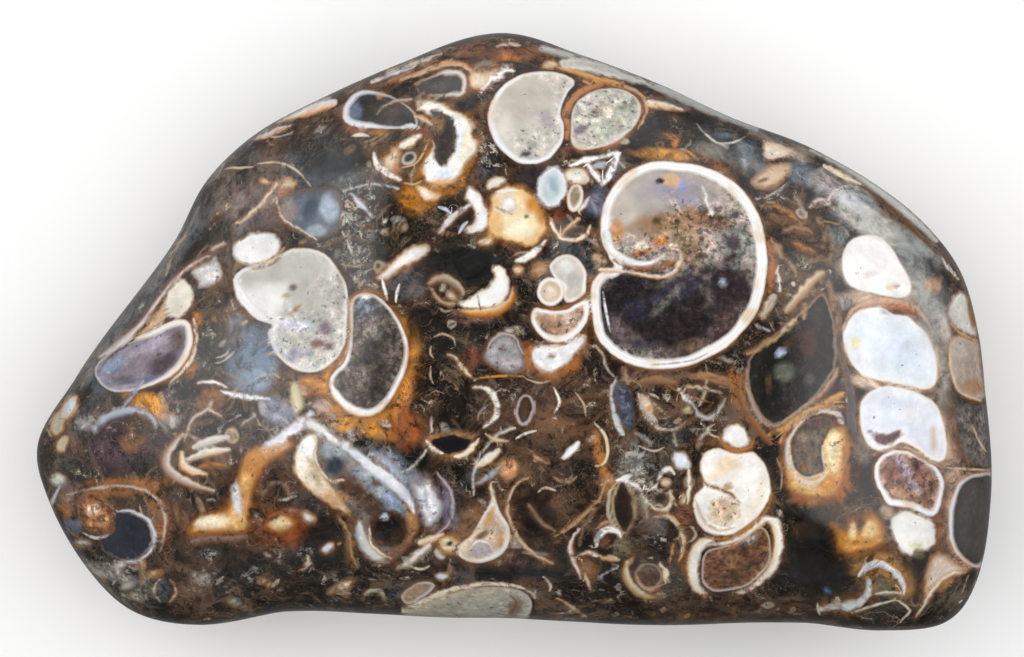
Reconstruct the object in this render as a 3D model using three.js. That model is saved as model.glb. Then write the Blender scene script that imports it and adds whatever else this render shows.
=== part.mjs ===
// A tumbled turritella agate: one polished pebble of silicified mud packed with fossil snails.
//
// The pebble is one solid. Seen from above its outline is a closed curve through named stations.
// Above and below the outline stand two faces, each made of a few facets left by the broken lump
// that went into the tumbler. The ridges between facets are soft, the faces turn over into the
// outline with a round rim, a few shallow hollows are worn in, and the underside is flat where the
// pebble rests.
//
// Frame: millimetres, +Z up, the broad polished face up, +X along the pebble's length. The origin
// is the middle of the bounding box, at the height of the surface that the pebble rests on.

import * as THREE from "three";
import { mergeVertices } from "three/addons/utils/BufferGeometryUtils.js";

// Driving dimensions. The outline's stations below are drawn for this length and width.
const LENGTH = 35;
const WIDTH = 21.7;
const TABLE_HEIGHT = 12.9; // of the level middle of the upper face, before ridges are softened
const UNDERSIDE_DEPTH = 0.3; // how far the lower face would pass below where it is worn flat

// The girdle is the widest line round the pebble. It rises and dips: these are its middle height,
// how far it leans up towards one bearing, and how far it waves twice in a turn.
const GIRDLE_HEIGHT = 5.8;
const GIRDLE_LEAN = { rise: 0.75, bearing: 35 };
const GIRDLE_WAVE = { rise: 0.45, bearing: 110 };

// How tightly the edges are rounded: 2 is an ellipse's section, and a larger power is boxier.
const RIM_POWER = 3.2; // of the rim, all round
const RIM_SHARPER = 0.5; // added to it where the rim is tightest, and taken away opposite
const RIM_SHARPEST_BEARING = 55;
const RIDGE_POWER = 16; // of the ridges between facets
const THINNEST_FACE = 1.5; // no facet cuts a face closer to the middle girdle height than this

// How finely the block is divided along its length, width and height before it is shaped.
const STEPS_LONG = 44;
const STEPS_WIDE = 28;
const STEPS_HIGH = 13;

// The outline from above: how far it reaches from the origin, at bearings turned from +X towards +Y.
const OUTLINE = [
  { bearing: 0, reach: 17.02 }, // right flank
  { bearing: 8, reach: 16.5 },
  { bearing: 15, reach: 15.55 },
  { bearing: 23, reach: 14.2 }, // start of the long upper right side
  { bearing: 30, reach: 13.08 },
  { bearing: 44, reach: 11.25 },
  { bearing: 60, reach: 10.52 },
  { bearing: 76, reach: 10.43 },
  { bearing: 92, reach: 10.93 }, // top corner
  { bearing: 112, reach: 10.64 },
  { bearing: 128, reach: 11.0 },
  { bearing: 145, reach: 12.07 }, // upper left shoulder
  { bearing: 154, reach: 12.55 },
  { bearing: 165, reach: 12.88 },
  { bearing: 175, reach: 14.05 },
  { bearing: 186, reach: 16.2 }, // long left side
  { bearing: 193, reach: 17.95 }, // left nose
  { bearing: 199, reach: 18.2 },
  { bearing: 211, reach: 17.84 },
  { bearing: 217, reach: 17.25 }, // lower left corner
  { bearing: 223, reach: 15.8 },
  { bearing: 231, reach: 13.22 },
  { bearing: 243, reach: 11.6 }, // start of the hollow lower side
  { bearing: 258, reach: 10.7 },
  { bearing: 272, reach: 10.5 },
  { bearing: 288, reach: 11.2 },
  { bearing: 305, reach: 13.0 },
  { bearing: 315, reach: 15.0 },
  { bearing: 321, reach: 17.3 },
  { bearing: 326, reach: 19.0 }, // lower right corner
  { bearing: 331, reach: 19.28 },
  { bearing: 341, reach: 18.5 },
  { bearing: 352, reach: 17.48 },
];

// The facets: each is a plane that leans from level by tilt degrees, down towards its bearing, and
// starts to cut into the face at that reach from the origin.
const UPPER_FACETS = [
  { name: "left_lower_face", bearing: 198, tilt: 14, starts: 3.4 },
  { name: "upper_right_bevel", bearing: 60, tilt: 20, starts: 5.6 },
  { name: "right_end", bearing: -8, tilt: 17, starts: 11.5 },
  { name: "upper_left_bevel", bearing: 142, tilt: 31, starts: 7.8 },
  { name: "lower_bevel", bearing: 268, tilt: 22, starts: 7.4 },
];
const LOWER_FACETS = [
  { name: "under_right", bearing: 10, tilt: 19, starts: 9.6 },
  { name: "under_left", bearing: 203, tilt: 16, starts: 8.4 },
  { name: "under_front", bearing: 285, tilt: 24, starts: 6.0 },
  { name: "under_back", bearing: 95, tilt: 17, starts: 5.8 },
];

// Shallow round hollows that the tumbler couldn't reach, by their middle in plan.
const UPPER_HOLLOWS = [
  { name: "left_waist", x: -9.6, y: 1.6, depth: 0.42, spread: 3.4 },
  { name: "face_dimple", x: -1.2, y: -6.4, depth: 0.2, spread: 3.0 },
  { name: "right_dimple", x: 11.0, y: -3.6, depth: 0.25, spread: 3.6 },
];
const LOWER_HOLLOWS = [
  { name: "back_dimple", x: 7.6, y: 7.6, depth: 0.5, spread: 3.6 },
  { name: "front_dimple", x: -4.0, y: -8.4, depth: 0.45, spread: 3.2 },
];

const { degToRad, radToDeg, euclideanModulo } = THREE.MathUtils;

// The outline's reach at a bearing: a cubic through the two stations beside it, whose slope at
// each station is that of the straight line between the station's neighbours.
function outlineReach(bearing) {
  const count = OUTLINE.length;
  const at = (i) => {
    const turns = Math.floor(i / count);
    const station = OUTLINE[i - turns * count];
    return { bearing: station.bearing + 360 * turns, reach: station.reach };
  };
  const slope = (i) =>
    (at(i + 1).reach - at(i - 1).reach) / (at(i + 1).bearing - at(i - 1).bearing);
  const wanted = euclideanModulo(bearing, 360);
  let i = count - 1;
  while (OUTLINE[i].bearing > wanted) i -= 1;
  const span = at(i + 1).bearing - at(i).bearing;
  const t = (wanted - at(i).bearing) / span;
  return (
    (2 * t ** 3 - 3 * t ** 2 + 1) * at(i).reach +
    (t ** 3 - 2 * t ** 2 + t) * span * slope(i) +
    (3 * t ** 2 - 2 * t ** 3) * at(i + 1).reach +
    (t ** 3 - t ** 2) * span * slope(i + 1)
  );
}

// The height of the girdle at a bearing.
function girdleHeight(bearing) {
  const lean = GIRDLE_LEAN.rise * Math.cos(degToRad(bearing - GIRDLE_LEAN.bearing));
  const wave = GIRDLE_WAVE.rise * Math.cos(2 * degToRad(bearing - GIRDLE_WAVE.bearing));
  return GIRDLE_HEIGHT + lean + wave;
}

// How far a face stands from the middle girdle height over a point in plan: the least of its
// level part and its facets there, blended so that ridges are soft, less the hollows.
function faceHeight(x, y, level, facets, hollows) {
  let sum = level ** -RIDGE_POWER;
  for (const { bearing, tilt, starts } of facets) {
    const along = x * Math.cos(degToRad(bearing)) + y * Math.sin(degToRad(bearing));
    const height = level - (along - starts) * Math.tan(degToRad(tilt));
    sum += Math.max(THINNEST_FACE, height) ** -RIDGE_POWER;
  }
  let height = sum ** (-1 / RIDGE_POWER);
  for (const hollow of hollows) {
    const away = Math.hypot(x - hollow.x, y - hollow.y) / hollow.spread;
    height -= hollow.depth * Math.exp(-(away ** 2));
  }
  return height;
}

// Moves a point of the block to the pebble's surface. The share of the way out to the outline and
// the share of the way up to the face lie on a rounded square, whose power is the rim's.
function toSurface(point) {
  const bearing = radToDeg(Math.atan2(point.y, point.x));
  const reach = outlineReach(bearing);
  const swing = Math.cos(degToRad(bearing - RIM_SHARPEST_BEARING));
  const power = RIM_POWER + RIM_SHARPER * swing;
  const out = Math.hypot(point.x, point.y) / reach;
  const up = Math.abs(point.z) / GIRDLE_HEIGHT;
  const size = (out ** power + up ** power) ** (1 / power);
  const x = (out / size) * reach * Math.cos(degToRad(bearing));
  const y = (out / size) * reach * Math.sin(degToRad(bearing));
  const face =
    point.z > 0
      ? faceHeight(x, y, TABLE_HEIGHT - GIRDLE_HEIGHT, UPPER_FACETS, UPPER_HOLLOWS)
      : -faceHeight(x, y, UNDERSIDE_DEPTH + GIRDLE_HEIGHT, LOWER_FACETS, LOWER_HOLLOWS);
  const z = THREE.MathUtils.lerp(girdleHeight(bearing), GIRDLE_HEIGHT + face, up / size);
  point.set(x, y, Math.max(0, z)); // flat where it would pass the resting surface
}

// The pebble: a block with every corner of its grid moved to the surface.
function pebbleGeometry() {
  const block = new THREE.BoxGeometry(
    LENGTH,
    WIDTH,
    2 * GIRDLE_HEIGHT,
    STEPS_LONG,
    STEPS_WIDE,
    STEPS_HIGH,
  );
  block.deleteAttribute("normal");
  block.deleteAttribute("uv");
  const geometry = mergeVertices(block);
  const points = geometry.attributes.position;
  const point = new THREE.Vector3();
  for (let i = 0; i < points.count; i += 1) {
    toSurface(point.fromBufferAttribute(points, i));
    points.setXYZ(i, point.x, point.y, point.z);
  }
  geometry.computeVertexNormals();
  return geometry;
}

const agate = new THREE.MeshStandardMaterial({
  color: 0x4a3b30,
  roughness: 0.12,
  metalness: 0,
});

const stone = new THREE.Mesh(pebbleGeometry(), agate);
stone.name = "stone";

const part = new THREE.Group();
part.name = "turritella_agate";
part.add(stone);

export default part;
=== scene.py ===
# %% [markdown]
# # A tumbled turritella agate
#
# The stone is silicified mud packed with freshwater snail shells. Tumbling wore it to an uneven
# pebble and polished it, so every shell shows as a cut section: a thin white wall round a chamber
# of agate, quartz or mud.
#
# The stone is one piece, so this lesson makes one mesh. Its form is worked out first. Then each
# point of the surface is asked which fossil it lies in and how deep, and the answers become
# colour attributes. The material turns those depths into sharp walls and adds the fine grain.

# %% Load the frame
import math

import bpy
import numpy as np
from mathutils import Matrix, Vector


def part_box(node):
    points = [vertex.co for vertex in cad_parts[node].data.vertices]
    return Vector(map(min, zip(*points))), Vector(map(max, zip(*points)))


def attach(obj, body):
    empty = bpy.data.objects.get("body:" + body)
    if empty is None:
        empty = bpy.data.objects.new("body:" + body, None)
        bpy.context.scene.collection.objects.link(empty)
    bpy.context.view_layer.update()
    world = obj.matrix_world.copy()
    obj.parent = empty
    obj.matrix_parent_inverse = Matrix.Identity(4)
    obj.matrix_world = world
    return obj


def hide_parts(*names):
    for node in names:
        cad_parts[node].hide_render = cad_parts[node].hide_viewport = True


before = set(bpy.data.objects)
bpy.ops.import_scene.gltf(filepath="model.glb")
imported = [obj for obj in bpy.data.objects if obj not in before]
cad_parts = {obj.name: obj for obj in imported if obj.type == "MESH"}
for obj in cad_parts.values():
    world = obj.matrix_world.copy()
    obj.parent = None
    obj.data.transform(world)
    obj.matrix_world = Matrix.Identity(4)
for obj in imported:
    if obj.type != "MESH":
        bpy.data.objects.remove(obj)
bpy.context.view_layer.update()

MM = 0.001
print("nodes in the frame:", sorted(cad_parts))

# %% [markdown]
# ## The form of the pebble
#
# A pebble is easy to sculpt by hand, but then nobody can say how it was made. Here it is a formula:
# an outline from above, and two faces that turn over into it with a round rim. The share of the
# way out to the outline and the share of the way up to the face lie on a rounded square. Its power
# says how tight the rim is: 2 is an ellipse and larger powers are boxier.

# %% The outline and the facets
LENGTH = 35.0
WIDTH = 21.7
TABLE_HEIGHT = 12.9
UNDERSIDE_DEPTH = 0.3
GIRDLE_HEIGHT = 5.8
GIRDLE_LEAN = (0.75, 35)  # rise, and the bearing that it leans up to
GIRDLE_WAVE = (0.45, 110)  # the same, for a wave with two crests in a turn
RIM_POWER = 3.2
RIM_SHARPER = 0.5
RIM_SHARPEST_BEARING = 55
RIDGE_POWER = 16
THINNEST_FACE = 1.5

OUTLINE = [  # bearing in degrees from +X, reach in mm
    (0, 17.02), (8, 16.5), (15, 15.55), (23, 14.2), (30, 13.08), (44, 11.25), (60, 10.52),
    (76, 10.43), (92, 10.93), (112, 10.64), (128, 11.0), (145, 12.07), (154, 12.55),
    (165, 12.88), (175, 14.05), (186, 16.2), (193, 17.95), (199, 18.2), (211, 17.84),
    (217, 17.25), (223, 15.8), (231, 13.22), (243, 11.6), (258, 10.7), (272, 10.5),
    (288, 11.2), (305, 13.0), (315, 15.0), (321, 17.3), (326, 19.0), (331, 19.28),
    (341, 18.5), (352, 17.48),
]
UPPER_FACETS = [  # bearing it leans down to, tilt in degrees, reach where it starts in mm
    (198, 14, 3.4), (60, 20, 5.6), (-8, 17, 11.5), (142, 31, 7.8), (268, 22, 7.4),
]
LOWER_FACETS = [(10, 19, 9.6), (203, 16, 8.4), (285, 24, 6.0), (95, 17, 5.8)]
UPPER_HOLLOWS = [  # x, y, depth and spread in mm
    (-9.6, 1.6, 0.42, 3.4), (-1.2, -6.4, 0.2, 3.0), (11.0, -3.6, 0.25, 3.6),
]
LOWER_HOLLOWS = [(7.6, 7.6, 0.5, 3.6), (-4.0, -8.4, 0.45, 3.2)]
print("outline:", len(OUTLINE), "stations, facets:", len(UPPER_FACETS), "over", len(LOWER_FACETS))


def outline_reach(bearing):
    """Reach at a bearing: a cubic through the two stations beside it, whose slope at each
    station is that of the straight line between the station's neighbours."""
    at, reach = np.array(OUTLINE).T
    at = np.concatenate([at[-2:] - 360, at, at[:3] + 360])
    reach = np.concatenate([reach[-2:], reach, reach[:3]])
    slope = np.zeros_like(at)
    slope[1:-1] = (reach[2:] - reach[:-2]) / (at[2:] - at[:-2])
    wanted = np.mod(bearing, 360)
    i = np.searchsorted(at, wanted, side="right") - 1
    span = at[i + 1] - at[i]
    t = (wanted - at[i]) / span
    return (
        (2 * t**3 - 3 * t**2 + 1) * reach[i] + (t**3 - 2 * t**2 + t) * span * slope[i]
        + (3 * t**2 - 2 * t**3) * reach[i + 1] + (t**3 - t**2) * span * slope[i + 1]
    )


def girdle_height(bearing):
    """Height of the widest line: a mean height, one lean and one wave."""
    lean = GIRDLE_LEAN[0] * np.cos(np.radians(bearing - GIRDLE_LEAN[1]))
    wave = GIRDLE_WAVE[0] * np.cos(2 * np.radians(bearing - GIRDLE_WAVE[1]))
    return GIRDLE_HEIGHT + lean + wave


def face_height(x, y, level, facets, hollows):
    """How far a face stands from the girdle: a soft minimum of the level table and the leaning
    facets, less a round dip for each hollow."""
    total = level ** -RIDGE_POWER + np.zeros_like(x)
    for bearing, tilt, starts in facets:
        turn = math.radians(bearing)
        along = x * math.cos(turn) + y * math.sin(turn)
        height = level - (along - starts) * math.tan(math.radians(tilt))
        total += np.maximum(THINNEST_FACE, height) ** -RIDGE_POWER
    height = total ** (-1 / RIDGE_POWER)
    for hollow_x, hollow_y, depth, spread in hollows:
        away = np.hypot(x - hollow_x, y - hollow_y) / spread
        height -= depth * np.exp(-(away**2))
    return height


def pebble_surface(bearing, out, up):
    """A point of the surface for a bearing and a direction (out, up) with up positive above the
    girdle: the direction is pushed to the rounded square and then scaled to the reach and face."""
    swing = np.cos(np.radians(bearing - RIM_SHARPEST_BEARING))
    power = RIM_POWER + RIM_SHARPER * swing
    size = (out**power + np.abs(up) ** power) ** (1 / power)
    reach = out / size * outline_reach(bearing)
    x = reach * np.cos(np.radians(bearing))
    y = reach * np.sin(np.radians(bearing))
    upper = face_height(x, y, TABLE_HEIGHT - GIRDLE_HEIGHT, UPPER_FACETS, UPPER_HOLLOWS)
    lower = face_height(x, y, UNDERSIDE_DEPTH + GIRDLE_HEIGHT, LOWER_FACETS, LOWER_HOLLOWS)
    face = GIRDLE_HEIGHT + np.where(up > 0, upper, -lower)
    share = np.abs(up) / size
    z = girdle_height(bearing) * (1 - share) + face * share
    return np.stack([x, y, np.maximum(z, 0)], axis=-1)


# %% [markdown]
# ## Two sheets that share the girdle
#
# The fossils are drawn by the mesh, so the face that people look at needs small cells and the
# underside doesn't. Each half is a square grid. The middle of the square is the middle of the
# face, each square ring is one turn round the stone, and the outermost ring is the girdle. The
# upper grid has twice the cells of the lower one each way, and a band of triangles joins them.

# %% Grids
LOWER_LONG, LOWER_WIDE = 172, 108  # cells; the upper face has twice as many each way
FACE_SHARE = 0.8  # of the rings lie on the face, and the rest on the flank


def sheet(cells_long, cells_wide, side, rings=1.0):
    """Points of one half. On the square, the larger of |a| and |b| is the ring t. Rings up to
    FACE_SHARE go outwards at full height, and the rest go down the flank."""
    a, b = np.meshgrid(
        np.linspace(-rings, rings, cells_long + 1),
        np.linspace(-rings, rings, cells_wide + 1),
        indexing="ij",
    )
    ring = np.maximum(np.abs(a), np.abs(b))
    bearing = np.degrees(np.arctan2(b * WIDTH, a * LENGTH))
    out = np.clip(ring / FACE_SHARE, 0, 1)
    up = side * np.clip((1 - ring) / (1 - FACE_SHARE), 0, 1)
    return pebble_surface(bearing, out, up)


def border(number):
    """Indices round the edge of a grid of vertex numbers, anticlockwise, each corner once."""
    return np.concatenate(
        [number[:-1, 0], number[-1, :-1], number[:0:-1, -1], number[0, :0:-1]]
    )


def pebble_mesh():
    """Vertices in mm, quads, and triangles of the whole closed stone."""
    upper = sheet(2 * LOWER_LONG, 2 * LOWER_WIDE, 1)
    inner = 1 - 2 / LOWER_WIDE  # the lower sheet stops one ring short of the girdle
    lower = sheet(LOWER_LONG - 2, LOWER_WIDE - 2, -1, rings=inner)
    top = np.arange(upper[..., 0].size).reshape(upper.shape[:2])
    bottom = top.size + np.arange(lower[..., 0].size).reshape(lower.shape[:2])
    up_quads = np.stack([top[:-1, :-1], top[1:, :-1], top[1:, 1:], top[:-1, 1:]], axis=-1)
    down_quads = np.stack(
        [bottom[:-1, :-1], bottom[:-1, 1:], bottom[1:, 1:], bottom[1:, :-1]], axis=-1
    )
    quads = np.concatenate([up_quads.reshape(-1, 4), down_quads.reshape(-1, 4)])
    points = np.concatenate([upper.reshape(-1, 3), lower.reshape(-1, 3)])
    return points, quads, band(border(top), border(bottom), points)


def band(fine, coarse, points):
    """Triangles between two closed rings of vertices with different counts: walk both by their
    bearing, and step whichever ring is behind."""
    fine_turn, coarse_turn = (
        np.unwrap(np.arctan2(points[ring, 1], points[ring, 0])) for ring in (fine, coarse)
    )
    shift = np.round((fine_turn[0] - coarse_turn[0]) / (2 * math.pi)) * 2 * math.pi
    steps = np.concatenate([
        np.stack([(fine_turn + np.roll(fine_turn, -1)) / 2, np.zeros(len(fine))], axis=-1),
        np.stack([(coarse_turn + np.roll(coarse_turn, -1)) / 2 + shift, np.ones(len(coarse))], axis=-1),
    ])
    steps[len(fine) - 1, 0] = fine_turn[-1] + (fine_turn[-1] - fine_turn[-2]) / 2
    steps[-1, 0] = coarse_turn[-1] + shift + (coarse_turn[-1] - coarse_turn[-2]) / 2
    is_coarse = steps[np.argsort(steps[:, 0], kind="stable"), 1].astype(int)
    at_fine = np.concatenate([[0], np.cumsum(1 - is_coarse)])[:-1]
    at_coarse = np.concatenate([[0], np.cumsum(is_coarse)])[:-1]
    third = np.where(
        is_coarse == 1, coarse[(at_coarse + 1) % len(coarse)], fine[(at_fine + 1) % len(fine)]
    )
    return np.stack([coarse[at_coarse % len(coarse)], third, fine[at_fine % len(fine)]], axis=-1)


points, quads, triangles = pebble_mesh()
print("vertices", len(points), "triangles", 2 * len(quads) + len(triangles))

# %% The stone's object
stone_mesh = bpy.data.meshes.new("polished_stone")
faces_of_stone = [tuple(face) for face in quads.tolist()] + [tuple(f) for f in triangles.tolist()]
stone_mesh.from_pydata((points * MM).tolist(), [], faces_of_stone)
stone_mesh.polygons.foreach_set("use_smooth", np.ones(len(faces_of_stone), dtype=bool))
stone = bpy.data.objects.new("tumbled_stone", stone_mesh)
bpy.context.collection.objects.link(stone)
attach(stone, "root")
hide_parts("stone")
normals = np.empty(len(points) * 3, dtype=np.float32)
stone_mesh.vertices.foreach_get("normal", normals)
normals = normals.reshape(-1, 3)
print("stone:", len(points), "points,", len(faces_of_stone), "faces")

# %% [markdown]
# ## Asking each point which fossil it lies in
#
# A picture could be wrapped round the stone, but it would smear on the flanks and stay blurred
# close up. Instead every fossil is a shape with a signed depth in millimetres, below zero inside
# it. The mesh stores the depth at its vertices. Depth changes evenly across a cell, so the
# material finds a sharp edge wherever it crosses zero.
#
# A shell seen edge on is thinner than a cell. It is stored as the distance to its middle line,
# above zero on one side and below zero on the other, together with its half thickness.
#
# Fossils lie over one another, so there are four layers, and the deepest shape wins in each.

# %% Depth to a drawn line
x, y, z = points.T


# A point nearer the eye looks further from the middle. Fossils are placed by how they look from
# straight above, so this puts the points where that eye sees them, at the girdle's scale.
EYE = (-0.02, 0.15, 214.8)  # mm
swell = (EYE[2] - GIRDLE_HEIGHT) / (EYE[2] - z)
seen_x = EYE[0] + (x - EYE[0]) * swell
seen_y = EYE[1] + (y - EYE[1]) * swell

# How far the skin lies under the part that is seen from above, which ends just over the girdle.
SEEN_DOWN_TO = 0.12  # of the way up from the girdle to the face
girdle = girdle_height(np.degrees(np.arctan2(y, x)))
faces = face_height(x, y, TABLE_HEIGHT - GIRDLE_HEIGHT, UPPER_FACETS, UPPER_HOLLOWS)
below = np.maximum(0, girdle + SEEN_DOWN_TO * (GIRDLE_HEIGHT + faces - girdle) - z)


def smooth_line(corners, closed):
    """A curve through listed points, given as x, y, x, y and so on in mm: between two of them
    a cubic whose slopes follow the neighbours on either side (Catmull and Rom's curve)."""
    corners = np.reshape(np.array(corners, dtype=float), (-1, 2))
    if closed:
        around = np.concatenate([corners[-1:], corners, corners[:2]])
    else:
        around = np.concatenate([corners[:1], corners, corners[-1:]])
    before, start, end, after = around[:-3], around[1:-2], around[2:-1], around[3:]
    t = np.linspace(0, 1, 7)[:-1, None, None]
    curve = 0.5 * (
        2 * start + (end - before) * t + (2 * before - 5 * start + 4 * end - after) * t**2
        + (3 * start - before - 3 * end + after) * t**3
    )
    curve = np.swapaxes(curve, 0, 1).reshape(-1, 2)
    return curve if closed else np.concatenate([curve, corners[-1:]])


def oval(middle_x, middle_y, half_long, half_wide, turn=0):
    """Points of an ellipse whose long half is turned from +X."""
    angle = np.arange(12) * math.pi / 6
    long, wide = half_long * np.cos(angle), half_wide * np.sin(angle)
    c, s = math.cos(math.radians(turn)), math.sin(math.radians(turn))
    return np.stack([middle_x + long * c - wide * s, middle_y + long * s + wide * c], axis=-1)


def near(line, margin):
    """Numbers of the mesh points within a margin of a line's box, seen from above."""
    low, high = line.min(axis=0) - margin, line.max(axis=0) + margin
    in_x = (seen_x > low[0]) & (seen_x < high[0])
    in_y = (seen_y > low[1]) & (seen_y < high[1])
    return np.flatnonzero(in_x & in_y)


def distance_along(line, at):
    """Distance from mesh points to a line of straight steps, how far along it they are, which
    side they lie on, and how far they lie past its ends."""
    start, step = line[:-1], np.diff(line, axis=0)
    length = np.hypot(step[:, 0], step[:, 1]) + 1e-9
    from_x = seen_x[at, None] - start[:, 0]
    from_y = seen_y[at, None] - start[:, 1]
    share = (from_x * step[:, 0] + from_y * step[:, 1]) / length**2
    clipped = np.clip(share, 0, 1)
    away = np.hypot(from_x - clipped * step[:, 0], from_y - clipped * step[:, 1])
    nearest = away.argmin(axis=1)
    picked = np.arange(len(at))
    turned = (from_y * step[:, 0] - from_x * step[:, 1])[picked, nearest]
    walked = np.concatenate([[0], np.cumsum(length)])
    share, length = share[picked, nearest], length[nearest]
    along = (walked[nearest] + np.clip(share, 0, 1) * length) / walked[-1]
    before = np.where(nearest == 0, np.maximum(0, -share), 0)
    after = np.where(nearest == len(step) - 1, np.maximum(0, share - 1), 0)
    return away[picked, nearest], along, np.where(turned < 0, -1.0, 1.0), (before + after) * length


def inside_of(line, at):
    """True where a ray to the right of a point crosses the closed line an odd number of times."""
    x0, y0 = line[:-1].T
    x1, y1 = line[1:].T
    crosses = (y0 > seen_y[at, None]) != (y1 > seen_y[at, None])
    rise = np.where(y1 == y0, 1e-9, y1 - y0)
    meets = x0 + (seen_y[at, None] - y0) * (x1 - x0) / rise
    return (crosses & (seen_x[at, None] < meets)).sum(axis=1) % 2 == 1


print("points seen from above:", np.count_nonzero(below == 0), "of", len(points))


# %% [markdown]
# ## Colours
#
# Shell in this rock is white silica. The agate in the chambers runs from milk to smoke, iron from
# the mud stains it honey and rust, and the mud is nearly black. Colours are written as sRGB hex
# values, and one function turns them to the linear values that Blender works in.

# %% Palette
PALETTE = {
    "snow": "#f2f0ee", "milk": "#dde4ef", "pearl": "#d2d2cc", "ivory": "#ebe3d3",
    "cream": "#e2cfae", "sand": "#c9a67c", "tan": "#a47e5c", "amber": "#b96f22",
    "rust": "#86421f", "cocoa": "#5a3e2f", "umber": "#3a2a21",
}
print("palette:", *PALETTE)


def linear(color):
    """sRGB hex value, or the name of one in the palette, to linear RGB."""
    code = PALETTE.get(color, color).lstrip("#")
    value = np.array([int(code[i:i + 2], 16) / 255 for i in (0, 2, 4)])
    return np.where(value <= 0.04045, value / 12.92, ((value + 0.055) / 1.055) ** 2.4)


def cloud(at, size, seed, octaves=3):
    """Smooth noise from 0 to 1 at 3-D points in mm: random values on a lattice whose cells are
    `size` across, blended between corners, with finer lattices added at half the strength."""
    values = np.random.default_rng(seed).random((32, 32, 32))
    total, weight, share = np.zeros(len(at)), 0.0, 1.0
    for octave in range(octaves):
        cell = at / size * 2**octave + 7.3 * octave
        corner = np.floor(cell).astype(int)
        part = cell - corner
        part = part * part * (3 - 2 * part)
        layer = np.zeros(len(at))
        for i, j, k in np.ndindex(2, 2, 2):
            blend = (
                np.abs(1 - i - part[:, 0]) * np.abs(1 - j - part[:, 1])
                * np.abs(1 - k - part[:, 2])
            )
            a, b, c = (corner + (i, j, k)).T % 32
            layer += blend * values[a, b, c]
        total += share * layer
        weight += share
        share *= 0.5
    return total / weight


def step_between(low, high, value):
    """0 below low, 1 above high, and a smooth rise between them."""
    t = np.clip((value - low) / (high - low), 0, 1)
    return t * t * (3 - 2 * t)


# %% [markdown]
# ## The layers
#
# Each layer keeps, for every vertex, the depth into the winning shape and what that shape is made
# of: the colours of its fill and shell, the thickness of the shell, and how coarse its grain is.
# The mud under them all is one colour per vertex, and stains, halos and a patch of painted reflection are
# washed into it.

# %% Layers
LAYERS = ("crumbs", "chambers", "linings", "slivers")
FAR = 5.0  # mm: the depth of a point that no fossil is near
LINE_LAYERS = ("crumbs", "slivers")  # thin shells, kept as lines
CLOSE = 0.3  # mm: lines nearer than this to one point have to agree on their sides


def new_layer():
    """A layer with no fossil in it."""
    count = len(points)
    return {
        "depth": np.full(count, FAR), "wall": np.zeros(count), "grain": np.zeros(count),
        "ragged": np.zeros(count), "fill": np.zeros((count, 3)), "shell": np.zeros((count, 3)),
        "solid": np.ones(count), "reach": np.full(count, FAR),
    }


layers = {name: new_layer() for name in LAYERS}
upper_count = (2 * LOWER_LONG + 1) * (2 * LOWER_WIDE + 1)
is_upper = np.arange(len(points)) < upper_count
two_cells = np.where(is_upper, 0.2, 0.45)  # mm: further from a line than this, it isn't drawn
broad = cloud(points, 3.2, seed=1)
fine = cloud(points, 0.7, seed=2)
speckle = cloud(points, 0.28, seed=3, octaves=2)
print("layers, lowest first:", *LAYERS)


def put(layer, at, depth, **made_of):
    """Gives the points that lie deepest in this shape its depth and what it is made of. A shape
    stops where one that is already there begins."""
    kept = layers[layer]
    depth = np.maximum(depth, -kept["depth"][at])
    wins = depth < kept["depth"][at]
    made_of.setdefault("solid", 1.0)
    kept["depth"][at[wins]] = depth[wins]
    for key, value in made_of.items():
        kept[key][at[wins]] = value[wins] if np.ndim(value) and len(value) == len(at) else value


def put_line(layer, at, side, half, left, right, solid=1.0, ragged=0.01):
    """Gives the points nearest to this thin shell the signed distance to its middle line, its half
    thickness and the colours of its sides. The sides are swapped if that suits the line which is
    already there."""
    kept = layers[layer]
    old = kept["depth"][at]
    both = (np.abs(side) < CLOSE) & (np.abs(old) < CLOSE)
    if np.sum(np.sign(side[both] * old[both])) < 0:
        side, left, right = -side, right, left
    reach = np.abs(side) - half
    wins = reach < kept["reach"][at]
    drawn = np.where(reach < two_cells[at], half, -1.0)
    for key, value in (("depth", side), ("reach", reach), ("wall", drawn), ("solid", solid)):
        kept[key][at[wins]] = value[wins] if np.ndim(value) else value
    kept["fill"][at[wins]] = left
    kept["shell"][at[wins]] = right
    kept["grain"][at[wins]] = 0.2
    kept["ragged"][at[wins]] = ragged


def mix(under, over, share):
    """One colour washed over another."""
    return under + (over - under) * np.asarray(share)[..., None]


UNEVEN, FINELY_UNEVEN = 0.7, 0.35  # how far noise moves a wash's edge, in shares of its size
WASH_EDGE = (0.55, 1.3)  # shares of its size between which a wash fades
WASH_RUNS = 1.5  # mm that a wash runs on under the upper face


def blotch(at, wash):
    """How strongly a wash (x, y, half length, half width, turn, colour, strength) covers points:
    an ellipse with a soft, uneven edge. Frost and quiet places are washes without a colour."""
    middle_x, middle_y, half_long, half_wide, turn = wash[:5]
    c, s = math.cos(math.radians(turn)), math.sin(math.radians(turn))
    dx, dy = seen_x[at] - middle_x, seen_y[at] - middle_y
    away = np.hypot((dx * c + dy * s) / half_long, (dy * c - dx * s) / half_wide)
    away += UNEVEN * (fine[at] - 0.5) + FINELY_UNEVEN * (speckle[at] - 0.5)
    seen = 1 - step_between(0, WASH_RUNS, below[at])
    return wash[-1] * (1 - step_between(*WASH_EDGE, away)) * seen
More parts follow.
